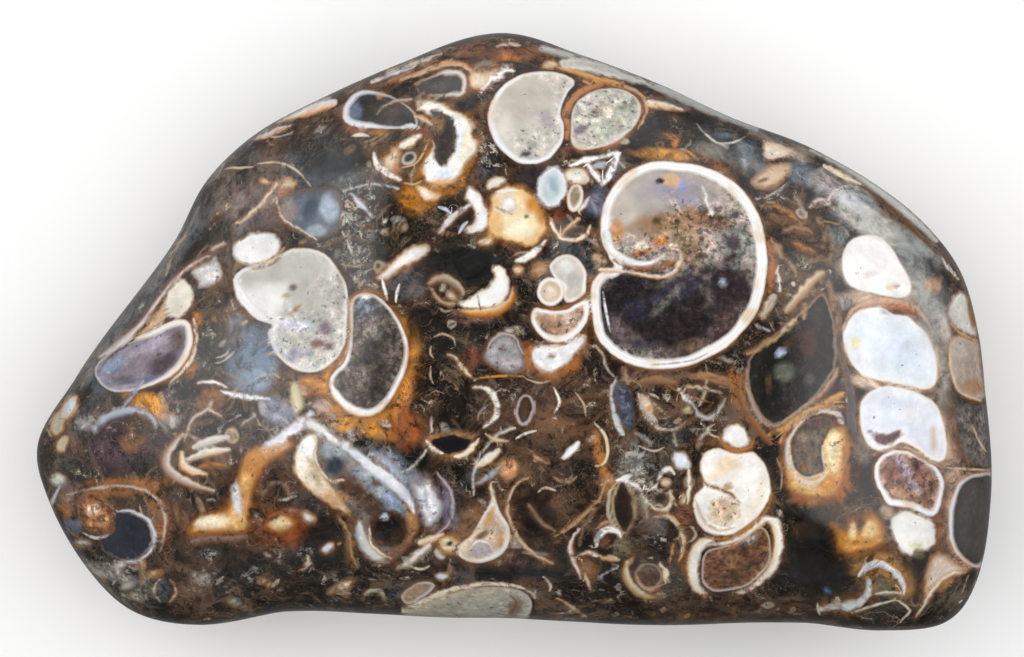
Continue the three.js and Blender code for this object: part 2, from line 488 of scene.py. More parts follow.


# %% The mud, its stains, and washes of painted reflection
shapes = []  # the layers of the shapes that a cell has drawn so far
mud = mix(linear("#1f1a16") + np.zeros((len(points), 3)), linear("#46352a"),
          step_between(0.44, 0.7, broad))
for color, size, seed, low, high, strength in (
    ("#1c1c18", 2.2, 4, 0.48, 0.68, 0.9), ("#6a4a30", 1.5, 5, 0.58, 0.75, 0.5),
    ("#566068", 1.9, 6, 0.6, 0.78, 0.5),
):
    patches = step_between(low, high, cloud(points, size, seed=seed)) * strength
    mud = mix(mud, linear(color), patches)
# Veils hold milky quartz and also painted reflection, the sheen of light on bevels and rim
veil_and_sheen_colors = np.zeros((len(points), 3))
veil_and_sheen_share = np.zeros(len(points))
frost = np.zeros(len(points))
quiet_share = np.zeros(len(points))


def stain_and_sheen(*washes):
    """Washes colour into the mud: stains, and in one place a painted reflection."""
    everywhere = np.arange(len(points))
    for wash in washes:
        mud[:] = mix(mud, linear(wash[5]), blotch(everywhere, wash))


def veil_and_sheen(*washes):
    """Thin clouds of milky quartz that lie over mud and fossils alike, and in places painted reflection:
    the pale sheen of light on bevels and rim.
    """
    for wash in washes:
        share = blotch(np.arange(len(points)), wash)
        veil_and_sheen_share[:] = 1 - (1 - veil_and_sheen_share) * (1 - share)
        veil_and_sheen_colors[:] = mix(veil_and_sheen_colors, linear(wash[5]), share / np.maximum(veil_and_sheen_share, 1e-6))


def frosted(*washes):
    """Mud that is full of tiny quartz crystals, as salt and pepper."""
    for wash in washes:
        frost[:] = np.maximum(frost, blotch(np.arange(len(points)), wash))


def quiet(*washes):
    """Places that no broken shell lies in: clear mud, or deep clear agate."""
    for wash in washes:
        quiet_share[:] = np.maximum(quiet_share, blotch(np.arange(len(points)), wash))


CHAMBER_MARGIN, SLIVER_MARGIN, BAND_MARGIN = 1.2, 0.8, 0.9  # mm round a shape for its stains
SLIVER_RUNS, BAND_RUNS = 0.6, 0.2  # mm that a line runs on under the upper face before it thins
THIN_BAND = 0.27  # mm: a band thinner than this is kept as a line


def halo(at, depth, color, width, strength):
    """The band of mud round a shell that iron has stained, fading outwards."""
    share = strength * np.exp(-(np.maximum(depth, 0) / width) ** 2)
    mud[at] = mix(mud[at], linear(color), share)


def chamber(corners, fill, rim=None, shell="snow", wall=0.1, fade=0.5, grain=0.3, ragged=0.01,
            stained=("#6e4a30", 0.1, 0.8), glow=None, lean=(-70, 0.35), washes=(), calm=(),
            layer="chambers"):
    """A closed shape: a shell wall round a fill that goes from the rim colour to its own colour
    over `fade` mm. The fill is less grainy in the places that `calm` covers. The wall and its
    stains are heavier towards the bearing of `lean`, by that share, and `glow` is a second, wider
    stain. Under the upper face the shape narrows like the end of an egg."""
    line = smooth_line(corners, closed=True)
    line = np.concatenate([line, line[:1]])
    at = near(line, CHAMBER_MARGIN)
    away = distance_along(line, at)[0]
    depth = np.where(inside_of(line, at), -away, away)
    area = 0.5 * abs(np.sum(line[:-1, 0] * line[1:, 1] - line[1:, 0] * line[:-1, 1]))
    round_size = math.sqrt(area / math.pi)
    depth = np.hypot(np.maximum(depth + round_size, 0), below[at]) - round_size
    core = step_between(0, fade, -depth - wall)
    colors = mix(linear(rim or fill) + np.zeros((len(at), 3)), linear(fill), core)
    shells = mix(linear(shell) + np.zeros((len(at), 3)), linear("#d8bd98"),
                 0.75 * step_between(0.5, 0.78, fine[at]))
    shells = mix(shells, linear("milk"), 0.6 * step_between(0.5, 0.7, broad[at]))
    middle_x, middle_y = line.mean(axis=0)
    bearing = np.arctan2(seen_y[at] - middle_y, seen_x[at] - middle_x) - math.radians(lean[0])
    heavier = 1 + lean[1] * np.cos(bearing)
    walls = wall * heavier * (0.8 + 0.4 * fine[at])
    for wash in washes:
        colors = mix(colors, linear(wash[5]), blotch(at, wash))
    grains = np.full(len(at), grain)
    for wash in calm:
        grains *= 1 - blotch(at, wash)
    put(layer, at, depth, fill=colors, shell=shells, wall=walls, grain=grains, ragged=ragged)
    shapes.append(layer)
    for color, width, strength in filter(None, (glow, stained)):
        halo(at, depth, color, width * heavier, strength * np.minimum(1, heavier))


def flake(corners, color, rim="sand", grain=0.2, ragged=0.05, fade=0.22, glow=None,
          stained=("#6e4a30", 0.09, 0.7), washes=(), layer="chambers"):
    """A closed piece of shell with no wall of its own, whiter in its middle than at its rim."""
    chamber(corners, color, rim=rim, wall=0.0, fade=fade, grain=grain, ragged=ragged,
            stained=stained, glow=glow, washes=washes, layer=layer)


def sliver(corners, width, color, layer="slivers", taper=0.7, ragged=0.01, stained=None, solid=1.0):
    """A shell wall cut across: a stroke along a curve, thinner towards both ends by `taper`."""
    line = smooth_line(corners, closed=False)
    at = near(line, SLIVER_MARGIN)
    away, along, side, past_end = distance_along(line, at)
    half = width / 2 * (1 - taper * np.abs(2 * along - 1) ** 2.5)
    half = half - past_end - np.maximum(0, below[at] - SLIVER_RUNS)
    put_line(layer, at, side * away, half, linear(color), linear(color), solid, ragged)
    shapes.append(layer)
    if stained:
        halo(at, away - half, *stained)


def ribbon(corners, widths, colors, layer="linings", grain=0.15, ragged=0.03, glow=None,
           stained=("#6e4a30", 0.08, 0.6), solid=1.0):
    """A band along a curve. The widths are given at even steps along it, and the colours at even
    steps across it, from its left side to its right. One as thin as a shell is kept as a line."""
    line = smooth_line(corners, closed=False)
    at = near(line, BAND_MARGIN)
    away, along, side, past_end = distance_along(line, at)
    half = np.interp(along, np.linspace(0, 1, len(widths)), widths) / 2
    half = half - past_end - np.maximum(0, below[at] - BAND_RUNS)
    across = np.clip(-side * away / np.maximum(half, 0.01), -1, 1)
    bands = np.array([linear(color) for color in colors])
    steps = np.linspace(-1, 1, len(colors))
    shades = np.stack([np.interp(across, steps, band) for band in bands.T], axis=1)
    if max(widths) < THIN_BAND and layer == "linings":
        put_line("slivers", at, side * away, half, bands[0], bands[-1], solid, ragged)
    else:
        put(layer, at, away - half, fill=shades, shell=linear("snow"), wall=0.0, grain=grain,
            ragged=ragged, solid=solid)
    shapes.append(layer)
    for color, width, strength in filter(None, (glow, stained)):
        halo(at, away - half, color, width, strength)


def slivers(width, color, *lines, **extra):
    """Several strokes of one width and colour."""
    for corners in lines:
        sliver(corners, width, color, **extra)


def grains(color, *ovals, **extra):
    """Small round grains of shell, each given as x, y, half length, half width and turn."""
    for place in ovals:
        flake(oval(*place), color, layer="linings", **extra)


def tell(place):
    """Says how many shapes a cell has drawn."""
    print(place + ":", len(shapes), "shapes")
    shapes.clear()


print("mud, mean linear colour:", mud.mean(axis=0).round(3))


# %% [markdown]
# ## The great whorl
#
# The largest fossil is a snail cut nearly across: one thick white wall round two chambers, with a
# thin wall hooked between them. It is drawn first and everything else is laid out round it.

# %% Great whorl
WHORL = [3.25, 4, 3.35, 4.7, 3.65, 5.3, 4.1, 5.8, 4.7, 6.15, 5.4, 6.3, 6.1, 6.25, 6.8, 6.15, 7.5, 5.9,
    8.1, 5.55, 8.6, 5.05, 9, 4.4, 9.25, 3.6, 9.35, 2.8, 9.33, 2.1, 9.2, 1.4, 8.95, 0.7, 8.5, 0.1,
    7.9, -0.5, 7.1, -0.95, 6.3, -1.25, 5.4, -1.35, 4.6, -1.25, 3.9, -0.95, 3.35, -0.5, 3.05, 0,
    2.93, 0.7, 2.88, 1.3, 2.95, 1.85, 3.3, 2.28, 3.75, 2.4, 3.55, 2.75, 3.35, 3.2, 3.25, 3.6]
stain_and_sheen((5.9, 6.55, 1.5, 0.22, -3, "#b9803c", 0.9), (7.4, 6.2, 0.6, 0.2, -35, "#a5662c", 0.8),
    (3.2, 2.7, 0.3, 0.3, 0, "#d9b98e", 0.9), (2.75, 1.2, 0.15, 0.9, 0, "#a5662c", 0.9),
    (3.1, 3.3, 0.2, 0.5, 10, "#7a5c44", 0.8), (9.45, 4.2, 0.2, 0.9, 15, "#33241a", 0.9))
chamber(WHORL, "#a79b92", wall=0.34, fade=0.05, grain=0.85, stained=("#7e5430", 0.1, 0.9),
    lean=(-20, 0.12), washes=[(4.1, 4.6, 0.9, 1.3, -10, "#c2b6ac", 0.9),
    (5.2, 5, 1, 0.8, 0, "#aba5a2", 0.8), (6.3, 5.2, 1.2, 0.5, -10, "#9a93a0", 0.85),
    (7.6, 4.9, 0.9, 0.6, -40, "#a39a90", 0.8), (5.9, 4, 1.7, 0.55, 5, "#957453", 0.9),
    (7.4, 4.1, 0.8, 0.4, -10, "#86644a", 0.8), (6.2, 3.4, 1.2, 0.45, 5, "#a08468", 0.8),
    (3.85, 3.8, 0.25, 0.5, 0, "#c48a4c", 0.8), (5.85, 5.55, 0.35, 0.25, -20, "#d8b083", 0.95),
    (6.2, 5.35, 0.14, 0.2, 0, "#8796c4", 0.8), (5.42, 5.57, 0.16, 0.1, 0, "#2a1d1c", 1),
    (4.75, 2.95, 0.4, 0.14, 15, "#a8683a", 0.9), (5.45, 3.35, 0.3, 0.16, 10, "#b9702e", 0.9),
    (4.75, 3.2, 0.25, 0.14, 0, "#efe2c8", 0.95), (5.9, 3.2, 0.2, 0.1, 0, "#efe2c8", 0.9),
    (6.6, 2.9, 0.5, 0.5, 0, "#8c7058", 0.8), (5.6, 0.6, 3.2, 1.6, -6, "#262020", 1),
    (7.9, 1.7, 1.3, 1.2, 0, "#2c2528", 1), (4.2, 1.4, 1.2, 0.9, 0, "#211d1f", 1),
    (8.3, 3.1, 0.6, 0.8, 0, "#7f807a", 0.9), (8.1, 3.35, 0.25, 0.3, 20, "#2e1f2a", 0.9),
    (8, 2.75, 0.3, 0.14, 30, "#3a222a", 0.9), (7.1, 2.3, 0.25, 0.2, 0, "#2a2322", 0.8),
    (7.7, 1.85, 0.14, 0.16, 0, "#a5aec0", 0.8), (6, 1.5, 1.1, 0.35, 20, "#3a3844", 0.8),
    (4.6, 0.8, 0.5, 0.4, -20, "#2c2c3c", 0.8), (7.9, 0.5, 0.8, 0.35, 42, "#5c4844", 0.85),
    (6.6, -0.45, 0.8, 0.25, 15, "#6a5348", 0.8), (3.9, 0.2, 0.3, 0.5, 20, "#77686a", 0.7),
    (5.6, 1.1, 0.9, 0.15, 45, "#7a736c", 0.7), (4.9, -0.5, 0.6, 0.25, -10, "#3c3740", 0.7),
    (7.3, 4.2, 0.12, 0.14, 0, "#3a2a24", 0.9), (7.6, 4.2, 0.2, 0.12, 20, "#4a3022", 0.9),
    (8.15, 4.3, 0.2, 0.14, 30, "#38323a", 0.9), (5.3, 4.1, 0.18, 0.14, 0, "#4a3a20", 0.9),
    (6.05, 4.1, 0.12, 0.1, 0, "#3a2a1a", 0.9)], calm=[(4.5, 4.9, 1.5, 1.4, 20, 0.95),
    (6.3, 5.4, 1.8, 0.6, -10, 0.75)])
ribbon([3.42, 3.7, 3.6, 3.1, 4, 2.75, 4.5, 2.55, 5, 2.55, 5.35, 2.7, 5.6, 2.85], [0.3, 0.3, 0.2, 0.1],
    ["#e9e6e2", "#f4f2ef", "#d9cfc4"])
ribbon([3.7, 2.68, 4.2, 2.4, 4.9, 2.32, 5.5, 2.4, 5.95, 2.6], [0.08, 0.14, 0.2, 0.26],
    ["#b9743a", "#8a4f20", "#3f2a1c"])
ribbon([3.2, 2.3, 3.8, 2.28, 4.5, 2.18, 5.2, 2.05, 5.7, 2.1, 6.05, 2.35, 6.2, 2.75, 6.1, 3, 5.8, 3.12],
    [0.2, 0.12, 0.14, 0.2, 0.1], ["#f1e4d4", "#e3c3a4", "#b98a62"])
sliver([3.32, 1.5, 3.45, 0.7, 3.6, 0], 0.1, "milk")
sliver([5, -1.2, 6.5, -1.05, 7.2, -0.75], 0.06, "#9d9692")
ribbon([6.97, 5.4, 7.12, 4.85, 7.3, 4.35], [0.08, 0.12, 0.2], ["#f0ebe4"], ragged=0.06)
tell("Great whorl")

# %% [markdown]
# ## The upper left face
#
# Clear grey mud, with a dark chamber near the edge and a window of blue-grey agate below it. One
# flat colour would look like enamel. Agate grew in from the walls in clouds, so each window gets
# its own soft washes.

# %% Upper left face
stain_and_sheen((-7, 6.2, 1.3, 0.7, 10, "#282c2c", 0.95), (-7, 7.7, 1.2, 0.25, 15, "#4a3426", 0.8),
    (-9.4, 5, 1.5, 1.1, 30, "#6b5c58", 0.9), (-5.4, 7.4, 0.8, 0.16, 0, "#a5662c", 0.8),
    (-8.3, 5.1, 0.3, 0.25, 0, "amber", 0.7), (-10.8, 5.6, 1.2, 0.6, 35, "#5a5048", 0.8),
    (-4.6, 4.6, 0.5, 0.4, 0, "#3a2c22", 0.8))
quiet((-6.6, 6.1, 1.4, 0.7, 10, 1))
frosted((-5.7, 4.4, 0.7, 1.2, 10, 0.8), (-4.9, 6, 0.5, 0.4, 0, 0.5))
# Painted reflection: these grey veils along the upper left bevel and its rim stand in for the sheen of
# light on the polish.
veil_and_sheen((-8.7, 5, 0.8, 0.2, 40, "#8d7a74", 0.4), (-9.9, 4.7, 0.9, 0.15, 40, "#a08c86", 0.4),
    (-10.9, 6, 1.2, 0.35, 40, "#8c8680", 0.4), (-8, 8.3, 1.3, 0.2, 25, "#cfcac8", 0.4))
ribbon([-6.5, 8.45, -7, 8.35, -7.7, 8.1, -8.3, 7.85, -8.7, 7.72], [0.3, 0.42, 0.4, 0.2, 0.05],
    ["#d08020", "#eecfb0", "#f6f2ee", "#dfe0e4"])
ribbon([-8.1, 7.62, -8.6, 7.45, -9.1, 7.22, -9.5, 7.08], [0.05, 0.25, 0.2, 0.04],
    ["#c07a30", "#efe4d4", "#e9eaee"])
chamber([-6.25, 8, -6.15, 8.4, -5.85, 8.75, -5.5, 8.9, -5, 8.85, -4.3, 8.6, -3.7, 8.2, -3.5, 7.75,
    -3.6, 7.55, -4.2, 7.5, -5, 7.5, -5.7, 7.55, -6.1, 7.7], "#2c2826", wall=0.12, fade=0.3,
    rim="#3f3b3c", shell="#dcd8d2", lean=(200, 0.8), grain=0.4,
    washes=[(-5.8, 8.15, 0.3, 0.4, 0, "#66738a", 0.85), (-4.7, 8.2, 0.6, 0.25, -10, "#4a3f38", 0.7)])
ribbon([-4.95, 8, -4.7, 8.3, -4.2, 8.5, -3.7, 8.55], [0.1, 0.14, 0.1],
    ["#c9b8a4", "#9a5f30", "#4a3020"])
grains("#f0ece6", (-4.85, 8.7, 0.16, 0.1, 20), (-9.1, 5.56, 0.22, 0.08, -5))
ribbon([-5.2, 9.2, -4.4, 9.5, -3.6, 9.78], [0.1, 0.14, 0.12], ["#e6dcda"])
ribbon([-4.9, 9.05, -4.2, 9.3, -3.6, 9.5], [0.08, 0.16, 0.12], ["#a8683a", "#7a4a2a"])
sliver([-5.95, 7.2, -5.6, 7.27, -5.25, 7.2], 0.14, "pearl", taper=0.9)
slivers(0.09, "#c9b8a4", [-9.4, 6.2, -8.6, 6.25, -8, 6, -7.6, 5.6, -7.4, 5.35], [-10.6, 6, -10.3, 6.06,
    -10, 6.05, -9.5, 6.1])
ribbon([-8.7, 5.5, -9.1, 4.9, -9.7, 4.3, -10.2, 4], [0.12, 0.16, 0.12, 0.05], ["#efe0c8", "#c9ae90"],
    ragged=0.05)
flake(oval(-8.3, 5.45, 0.3, 0.18, 10), "cream", grain=0.4, ragged=0.12, layer="linings")
# The window is blue-grey agate; its two pale blue washes, at its right side and its lower end, are
# painted reflection, a hazy sheen on the bevel.
flake([-8.6, 4.6, -8.4, 5, -7.9, 5.2, -7.2, 5.3, -6.6, 5.3, -6.3, 4.9, -6.3, 4.2, -6.5, 3.7, -7.1, 3.45,
    -7.8, 3.65, -8.3, 4], "#5b6673", rim="#56504e", fade=0.4, grain=0.3, ragged=0.06,
    stained=("#33261e", 0.15, 0.6), washes=[(-8.2, 4.5, 0.3, 0.5, 0, "#8d8078", 0.9),
    (-7.4, 4.55, 0.25, 0.6, -15, "#3c4854", 0.9), (-6.75, 4.6, 0.3, 0.55, 10, "#a4b1be", 0.9),
    (-7.2, 3.75, 0.4, 0.2, 0, "#9eaab8", 0.8)])
ribbon([-8.68, 4.95, -8.55, 4.3, -8.2, 4, -7.7, 3.7, -7.2, 3.4], [0.1, 0.12, 0.1, 0.06],
    ["#efeae4", "#d9cfc4", "#8a5f3c"])
ribbon([-5.95, 5.1, -5.6, 4.75, -5.2, 4.3], [0.08, 0.2, 0.08], ["#c2cad6"], ragged=0.05)
ribbon([-5.1, 6.6, -4.95, 6.15, -4.5, 5.78, -4.1, 5.62], [0.08, 0.24, 0.24, 0.08],
    ["#f3f1ef", "#dfd3c2"])
flake([-4.75, 6.4, -4.5, 6.6, -4.25, 6.85, -4.15, 6.6, -4.3, 6.2, -4.4, 5.95, -4.7, 6.1], "cream",
    grain=0.4, ragged=0.1, stained=("amber", 0.2, 0.6), layer="linings")
tell("Upper left face")

# %% [markdown]
# ## Chambers along the top edge
#
# Two pale whorls stand side by side with an iron-stained seam between them. The seam could be a
# darker rim on each, but it belongs to both and ends where they part, so it is a band of its own.

# %% Upper middle: chambers along the top edge
stain_and_sheen((-2.2, 10.25, 1.4, 0.22, 10, "#7a5442", 0.85), (0.3, 10.25, 1.4, 0.25, 0, "#8a5a42", 0.85),
    (-0.1, 10.12, 0.45, 0.12, 0, "amber", 0.85), (-3.6, 5, 0.7, 0.6, 0, "#b9741e", 0.9),
    (-2.4, 5.35, 0.8, 0.3, 20, "#b9741e", 0.7), (2.05, 6.65, 0.3, 0.2, 0, "#7a4c3c", 0.9),
    (1.7, 4.3, 0.35, 0.3, 0, "#6a3a26", 0.9), (-1.6, 8.6, 0.9, 0.4, 40, "#242422", 0.9),
    (0.9, 5.9, 0.7, 0.35, 20, "#2c2728", 0.9), (-0.9, 6.2, 0.5, 0.6, 0, "#3a3c46", 0.8))
quiet((-1.7, 4.3, 0.4, 0.4, 0, 1), (0.9, 5.9, 0.7, 0.3, 20, 1))
frosted((-0.9, 6.5, 0.5, 0.6, 0, 0.8), (-1.1, 7.6, 0.25, 0.6, 0, 0.6))
chamber([-3.6, 9.15, -3.1, 9.35, -2.6, 9.58, -2.05, 9.62, -1.75, 9.45, -1.68, 9.1, -1.9, 8.72,
    -2.6, 8.68, -3.3, 8.75], "#45403e", shell="#d6c8b4", wall=0.08, lean=(20, 0.8), ragged=0.03,
    washes=[(-2.6, 9.1, 0.5, 0.2, 10, "#5d5552", 0.7)])
ribbon([-4.2, 9.25, -3.4, 9.55, -2.6, 9.85, -1.95, 9.88, -1.5, 9.6, -1.35, 9.3],
    [0.08, 0.2, 0.22, 0.2, 0.1], ["#b9845c", "#a0602e", "#dcc09c"])
ribbon([-4.6, 9.62, -3.9, 9.82, -3.2, 10.02, -2.6, 10.3], [0.1, 0.2, 0.1], ["#b9b0a6", "#dccfc0"],
    ragged=0.04)
flake([-1.5, 9.6, -1, 9.55, -0.5, 9.72, -0.8, 9.3, -1, 9, -1.5, 9, -1.6, 9.3], "#e2d3bf", rim="#c9a67c",
    stained=("rust", 0.12, 0.6), layer="linings")
flake(oval(-0.95, 9.88, 0.42, 0.09, 5), "#5d564f", rim="#8f8272", layer="linings")
ribbon([-1.15, 8.95, -0.8, 9.25, -0.45, 9.52, -0.2, 9.68, 0.02, 9.66], [0.1, 0.2, 0.26, 0.2],
    ["#f0eeeb"], ragged=0.07)
ribbon([-0.6, 10.5, -0.2, 10.6, 0.3, 10.52], [0.06, 0.14, 0.06], ["#d8c2b4"])
chamber([-0.9, 7.75, -0.85, 8.3, -0.6, 8.8, -0.2, 9.2, 0.4, 9.5, 1.1, 9.6, 1.8, 9.5, 2.3, 9.2, 2, 8.8,
    1.75, 8.1, 1.88, 7.6, 1.85, 7.1, 1.6, 6.65, 1.2, 6.3, 0.7, 6.2, 0.2, 6.25, -0.3, 6.6, -0.7, 7.1],
    "#c6c2b8", rim="#cfc8be", wall=0.13, grain=0.4, lean=(215, 0.6), stained=("#5a3c2c", 0.12, 0.6),
    washes=[(0.4, 8.6, 1.2, 0.8, 20, "#bdb3a8", 0.9), (1.2, 9.1, 0.6, 0.3, 10, "#c9bcb0", 0.7),
    (-0.2, 7.5, 0.3, 0.6, 10, "#dcd6cc", 0.8), (1.25, 7.85, 0.3, 0.35, 0, "#a79ca2", 0.7),
    (0.45, 6.57, 0.26, 0.12, 15, "#463c44", 1), (0.68, 6.93, 0.2, 0.16, 0, "#a29d96", 0.9)],
    calm=[(0.3, 8.4, 1.3, 1.1, 20, 1), (-0.3, 7.3, 0.6, 0.8, 0, 0.8)])
chamber([2.15, 7.6, 2.2, 8.1, 2.4, 8.5, 2.8, 8.8, 3.3, 8.95, 3.9, 8.95, 4.4, 8.75, 4.7, 8.4, 4.7, 8,
    4.5, 7.6, 4.2, 7.3, 3.8, 7, 3.2, 6.8, 2.7, 6.7, 2.3, 6.8, 2.15, 7.1], "#c0bcb1", shell="#e2d6cc",
    wall=0.06, grain=0.6, stained=("#8a5a3c", 0.1, 0.8),
    washes=[(2.5, 7.45, 0.35, 0.16, 25, "#6a5a66", 0.85), (3.1, 8.15, 0.22, 0.14, 20, "#4c443f", 0.95),
    (3.3, 8.3, 0.4, 0.25, 0, "#cbb6a2", 0.6), (4.2, 8.35, 0.4, 0.12, 20, "#77786c", 0.8),
    (3.7, 7.6, 0.5, 0.25, 30, "#aaa89a", 0.7), (2.9, 8.6, 0.3, 0.2, 0, "#d8d0cc", 0.7)])
ribbon([3.7, 9.15, 3, 9.05, 2.45, 8.8, 2.1, 8.4, 1.97, 8, 2.02, 7.5, 1.98, 7.1],
    [0.14, 0.16, 0.22, 0.24, 0.2, 0.14], ["#a8704c", "#c8853a", "#b87848"])
ribbon([3.6, 9.1, 4.2, 8.98, 4.65, 8.75, 4.88, 8.4, 4.85, 8, 4.6, 7.5], [0.1, 0.14, 0.16, 0.1, 0.05],
    ["#dcb48c", "#a8683a", "#6a4632"])
flake([1.7, 9.9, 1.85, 10.05, 2.3, 10.12, 2.8, 10.08, 3.4, 9.9, 4.2, 9.55, 5.2, 9.1, 4.4, 9.2,
    3.4, 9.45, 2.6, 9.6, 1.9, 9.68], "#a8a69e", rim="#d6d2ca", fade=0.35, grain=0.2, stained=None)
ribbon([1.6, 9.72, 2.3, 9.58, 3.1, 9.32, 4.1, 9.12], [0.1, 0.16, 0.2, 0.08],
    ["#e0b06a", "#c98a3e", "#b0703c"])
flake([1.1, 9.8, 1.3, 10, 1.6, 10, 1.65, 9.75, 1.2, 9.7], "#d9c2b2", layer="linings")
ribbon([4.95, 8.42, 5.6, 8.32, 6.4, 8.16], [0.3, 0.26, 0.06], ["#efe6da", "#e6cfae", "#b98a5c"])
ribbon([5.1, 8.62, 5.7, 8.5, 6.5, 8.22], [0.06, 0.12, 0.06], ["#4a5058"])
tell("Upper middle")

# %% [markdown]
# ## The horseshoe
#
# A broken whorl whose wall bends round like a horseshoe, with honey-coloured agate and small
# sections under it. The wall is too uneven for one thickness, so it is a ragged flake with a
# darker flake laid into it.

# %% Horseshoe and what lies round it
flake([-3.5, 8.3, -3.2, 8.48, -2.8, 8.48, -2.4, 8.3, -2, 8.05, -1.7, 7.9, -1.5, 7.6, -1.45, 7.2,
    -1.3, 6.9, -1.35, 6.6, -1.6, 6.4, -1.75, 6.1, -2, 5.7, -2.4, 5.42, -2.8, 5.4, -3.2, 5.55,
    -3.35, 5.85, -3.3, 6.2, -3.1, 6.5, -2.95, 6.8, -2.95, 7.2, -3.1, 7.5, -2.95, 7.9, -3.2, 8.1],
    "#f3f0ec", rim="#e6d8c0", ragged=0.07, fade=0.2, glow=("#b9741e", 0.22, 0.6),
    washes=[(-1.65, 6.9, 0.25, 0.6, 0, "#efe4cc", 0.9), (-2.6, 5.5, 0.6, 0.14, 0, "#dba865", 0.9),
    (-3.3, 5.8, 0.12, 0.3, 0, "#d09a50", 0.9), (-2.6, 5.85, 0.4, 0.2, 0, "#dfe6ef", 0.9),
    (-1.95, 7.3, 0.12, 0.5, 0, "#dfe6ef", 0.9), (-1.75, 6, 0.15, 0.3, -30, "#d9a868", 0.9)])
flake([-3, 8.2, -2.7, 8.15, -2.4, 8.02, -2.15, 7.75, -2.05, 7.4, -2.05, 7, -2.2, 6.5, -2.4, 6.15,
    -2.6, 6.1, -2.8, 6.3, -2.9, 6.6, -2.9, 6.95, -3.1, 7.3, -3.2, 7.6, -3, 7.9], "#3b3632",
    rim="#5c564e", grain=0.5, stained=None, washes=[(-2.75, 7.65, 0.3, 0.3, 0, "#8f6e54", 0.9),
    (-2.85, 7.1, 0.2, 0.12, 0, "#5c3226", 0.8)], layer="linings")
ribbon([-3.6, 7.95, -3.3, 7.9, -2.95, 7.66], [0.1, 0.22, 0.1], ["#b9702a", "#f3eee8", "#d9c8b4"])
ribbon([-4.1, 7.55, -3.7, 7.62, -3.4, 7.52], [0.08, 0.18, 0.06], ["#dfe4e8"])
ribbon([-4.15, 6.85, -3.8, 6.95, -3.5, 7.15, -3.35, 7.3], [0.2, 0.3, 0.25, 0.05],
    ["#f0ebe2", "#e8d8b4"], ragged=0.06)
ribbon([-3.9, 7.3, -3.5, 7.42, -3.1, 7.3, -2.95, 7.1], [0.1, 0.16, 0.1], ["#7a4632"])
slivers(0.08, "sand", [-4.1, 6.05, -3.6, 6.2, -3.3, 6.55, -3.1, 7], [-4, 5.5, -3.6, 5.45, -3.3, 5.6])
chamber(oval(-3.8, 6.4, 0.3, 0.22, 30), "#2f2a20", shell="#8d8468", wall=0.07)
flake([-3.55, 5.4, -3.2, 5.35, -2.9, 5.15, -2.6, 5.1, -2.75, 4.92, -3.2, 4.85, -3.45, 5.1], "#f3f0ec",
    rim="#e0b478", ragged=0.05)
flake([-0.75, 5.05, -0.4, 5.3, 0.1, 5.35, 0.5, 5.2, 0.85, 4.9, 1.05, 4.6, 1.2, 4.2, 1.25, 3.9, 1.1, 3.6,
    0.9, 3.3, 0.5, 3.2, 0.1, 3.3, -0.3, 3.45, -0.7, 3.5, -0.9, 3.8, -0.9, 4.3, -0.8, 4.7], "#f0dcb4",
    rim="#e3b878", fade=0.5, grain=0.15, ragged=0.06, glow=("#8a4f1c", 0.2, 0.7),
    washes=[(0.75, 4.75, 0.4, 0.35, 40, "#d08a2c", 0.95), (1.05, 4.35, 0.25, 0.4, 0, "#b06a1a", 0.8),
    (-0.3, 5.1, 0.4, 0.15, 10, "#e9d6c0", 0.9), (0.2, 3.8, 0.5, 0.35, 0, "#f4e8cc", 0.9),
    (-0.55, 4.1, 0.25, 0.5, 0, "#dba45c", 0.6), (0.52, 4.3, 0.1, 0.08, 0, "umber", 1),
    (-0.6, 5.2, 0.25, 0.08, 30, "#7a5230", 0.9)])
flake(oval(-0.15, 4.72, 0.3, 0.3), "#f4f0ee", rim="#dcd0ca", stained=("#a8764c", 0.06, 0.9),
    layer="linings")
ribbon([-0.62, 4.6, -0.35, 4.42, 0, 4.32], [0.1, 0.18, 0.08], ["#7a5538", "#f3eee8"])
ribbon([-0.6, 5.15, -0.2, 5.22, 0.25, 5.22], [0.1, 0.16, 0.06], ["#f0e8da"])
flake([-0.95, 5.3, -0.85, 5.6, -0.5, 5.75, -0.25, 5.6, -0.5, 5.4, -0.8, 5.3], "#f3eee6", rim="#e3d3b8",
    layer="linings")
flake([-1.55, 5.4, -1.35, 5.2, -1.15, 5, -1, 4.6, -0.85, 4.35, -0.85, 3.95, -1.1, 3.75, -1.6, 3.65,
    -1.75, 3.8, -1.5, 3.95, -1.35, 4.1, -1.4, 4.5, -1.6, 4.8, -1.75, 5], "#f1eff0", rim="#dcd4ca")
ribbon([-2.7, 3.65, -2.4, 4.05, -2, 4.42, -1.5, 4.72], [0.1, 0.24, 0.2, 0.1],
    ["#d6d4d2", "#f3f1ef", "#c9c4bc"])
slivers(0.13, "#bcc8da", [-2.75, 4.62, -2.5, 4.55, -2.3, 4.42], [-2, 3.6, -1.8, 3.95, -1.6, 4.1])
flake(oval(1.45, 5.35, 0.75, 0.53, 80), "#c0cdd2", rim="#e2e6e6", fade=0.3, grain=0.1,
    stained=("#4a3a38", 0.1, 0.6), washes=[(1.5, 5.4, 0.15, 0.3, 20, "#93a9b4", 0.8)])
chamber(oval(2.3, 4.95, 0.3, 0.52, -10), "#98866f", wall=0.12, shell="#ece2d6", stained=("rust", 0.1,
    0.5))
flake([1.9, 5.8, 2.1, 6, 2.6, 6, 2.85, 5.6, 2.5, 5.45, 2.1, 5.5], "#e6ddd2", rim="#d2c0ac", grain=0.3,
    ragged=0.04, layer="linings")
ribbon([2.1, 6.1, 2.6, 6.32, 3.2, 6.45, 3.9, 6.6], [0.1, 0.2, 0.12, 0.16], ["#f2f0ee"])
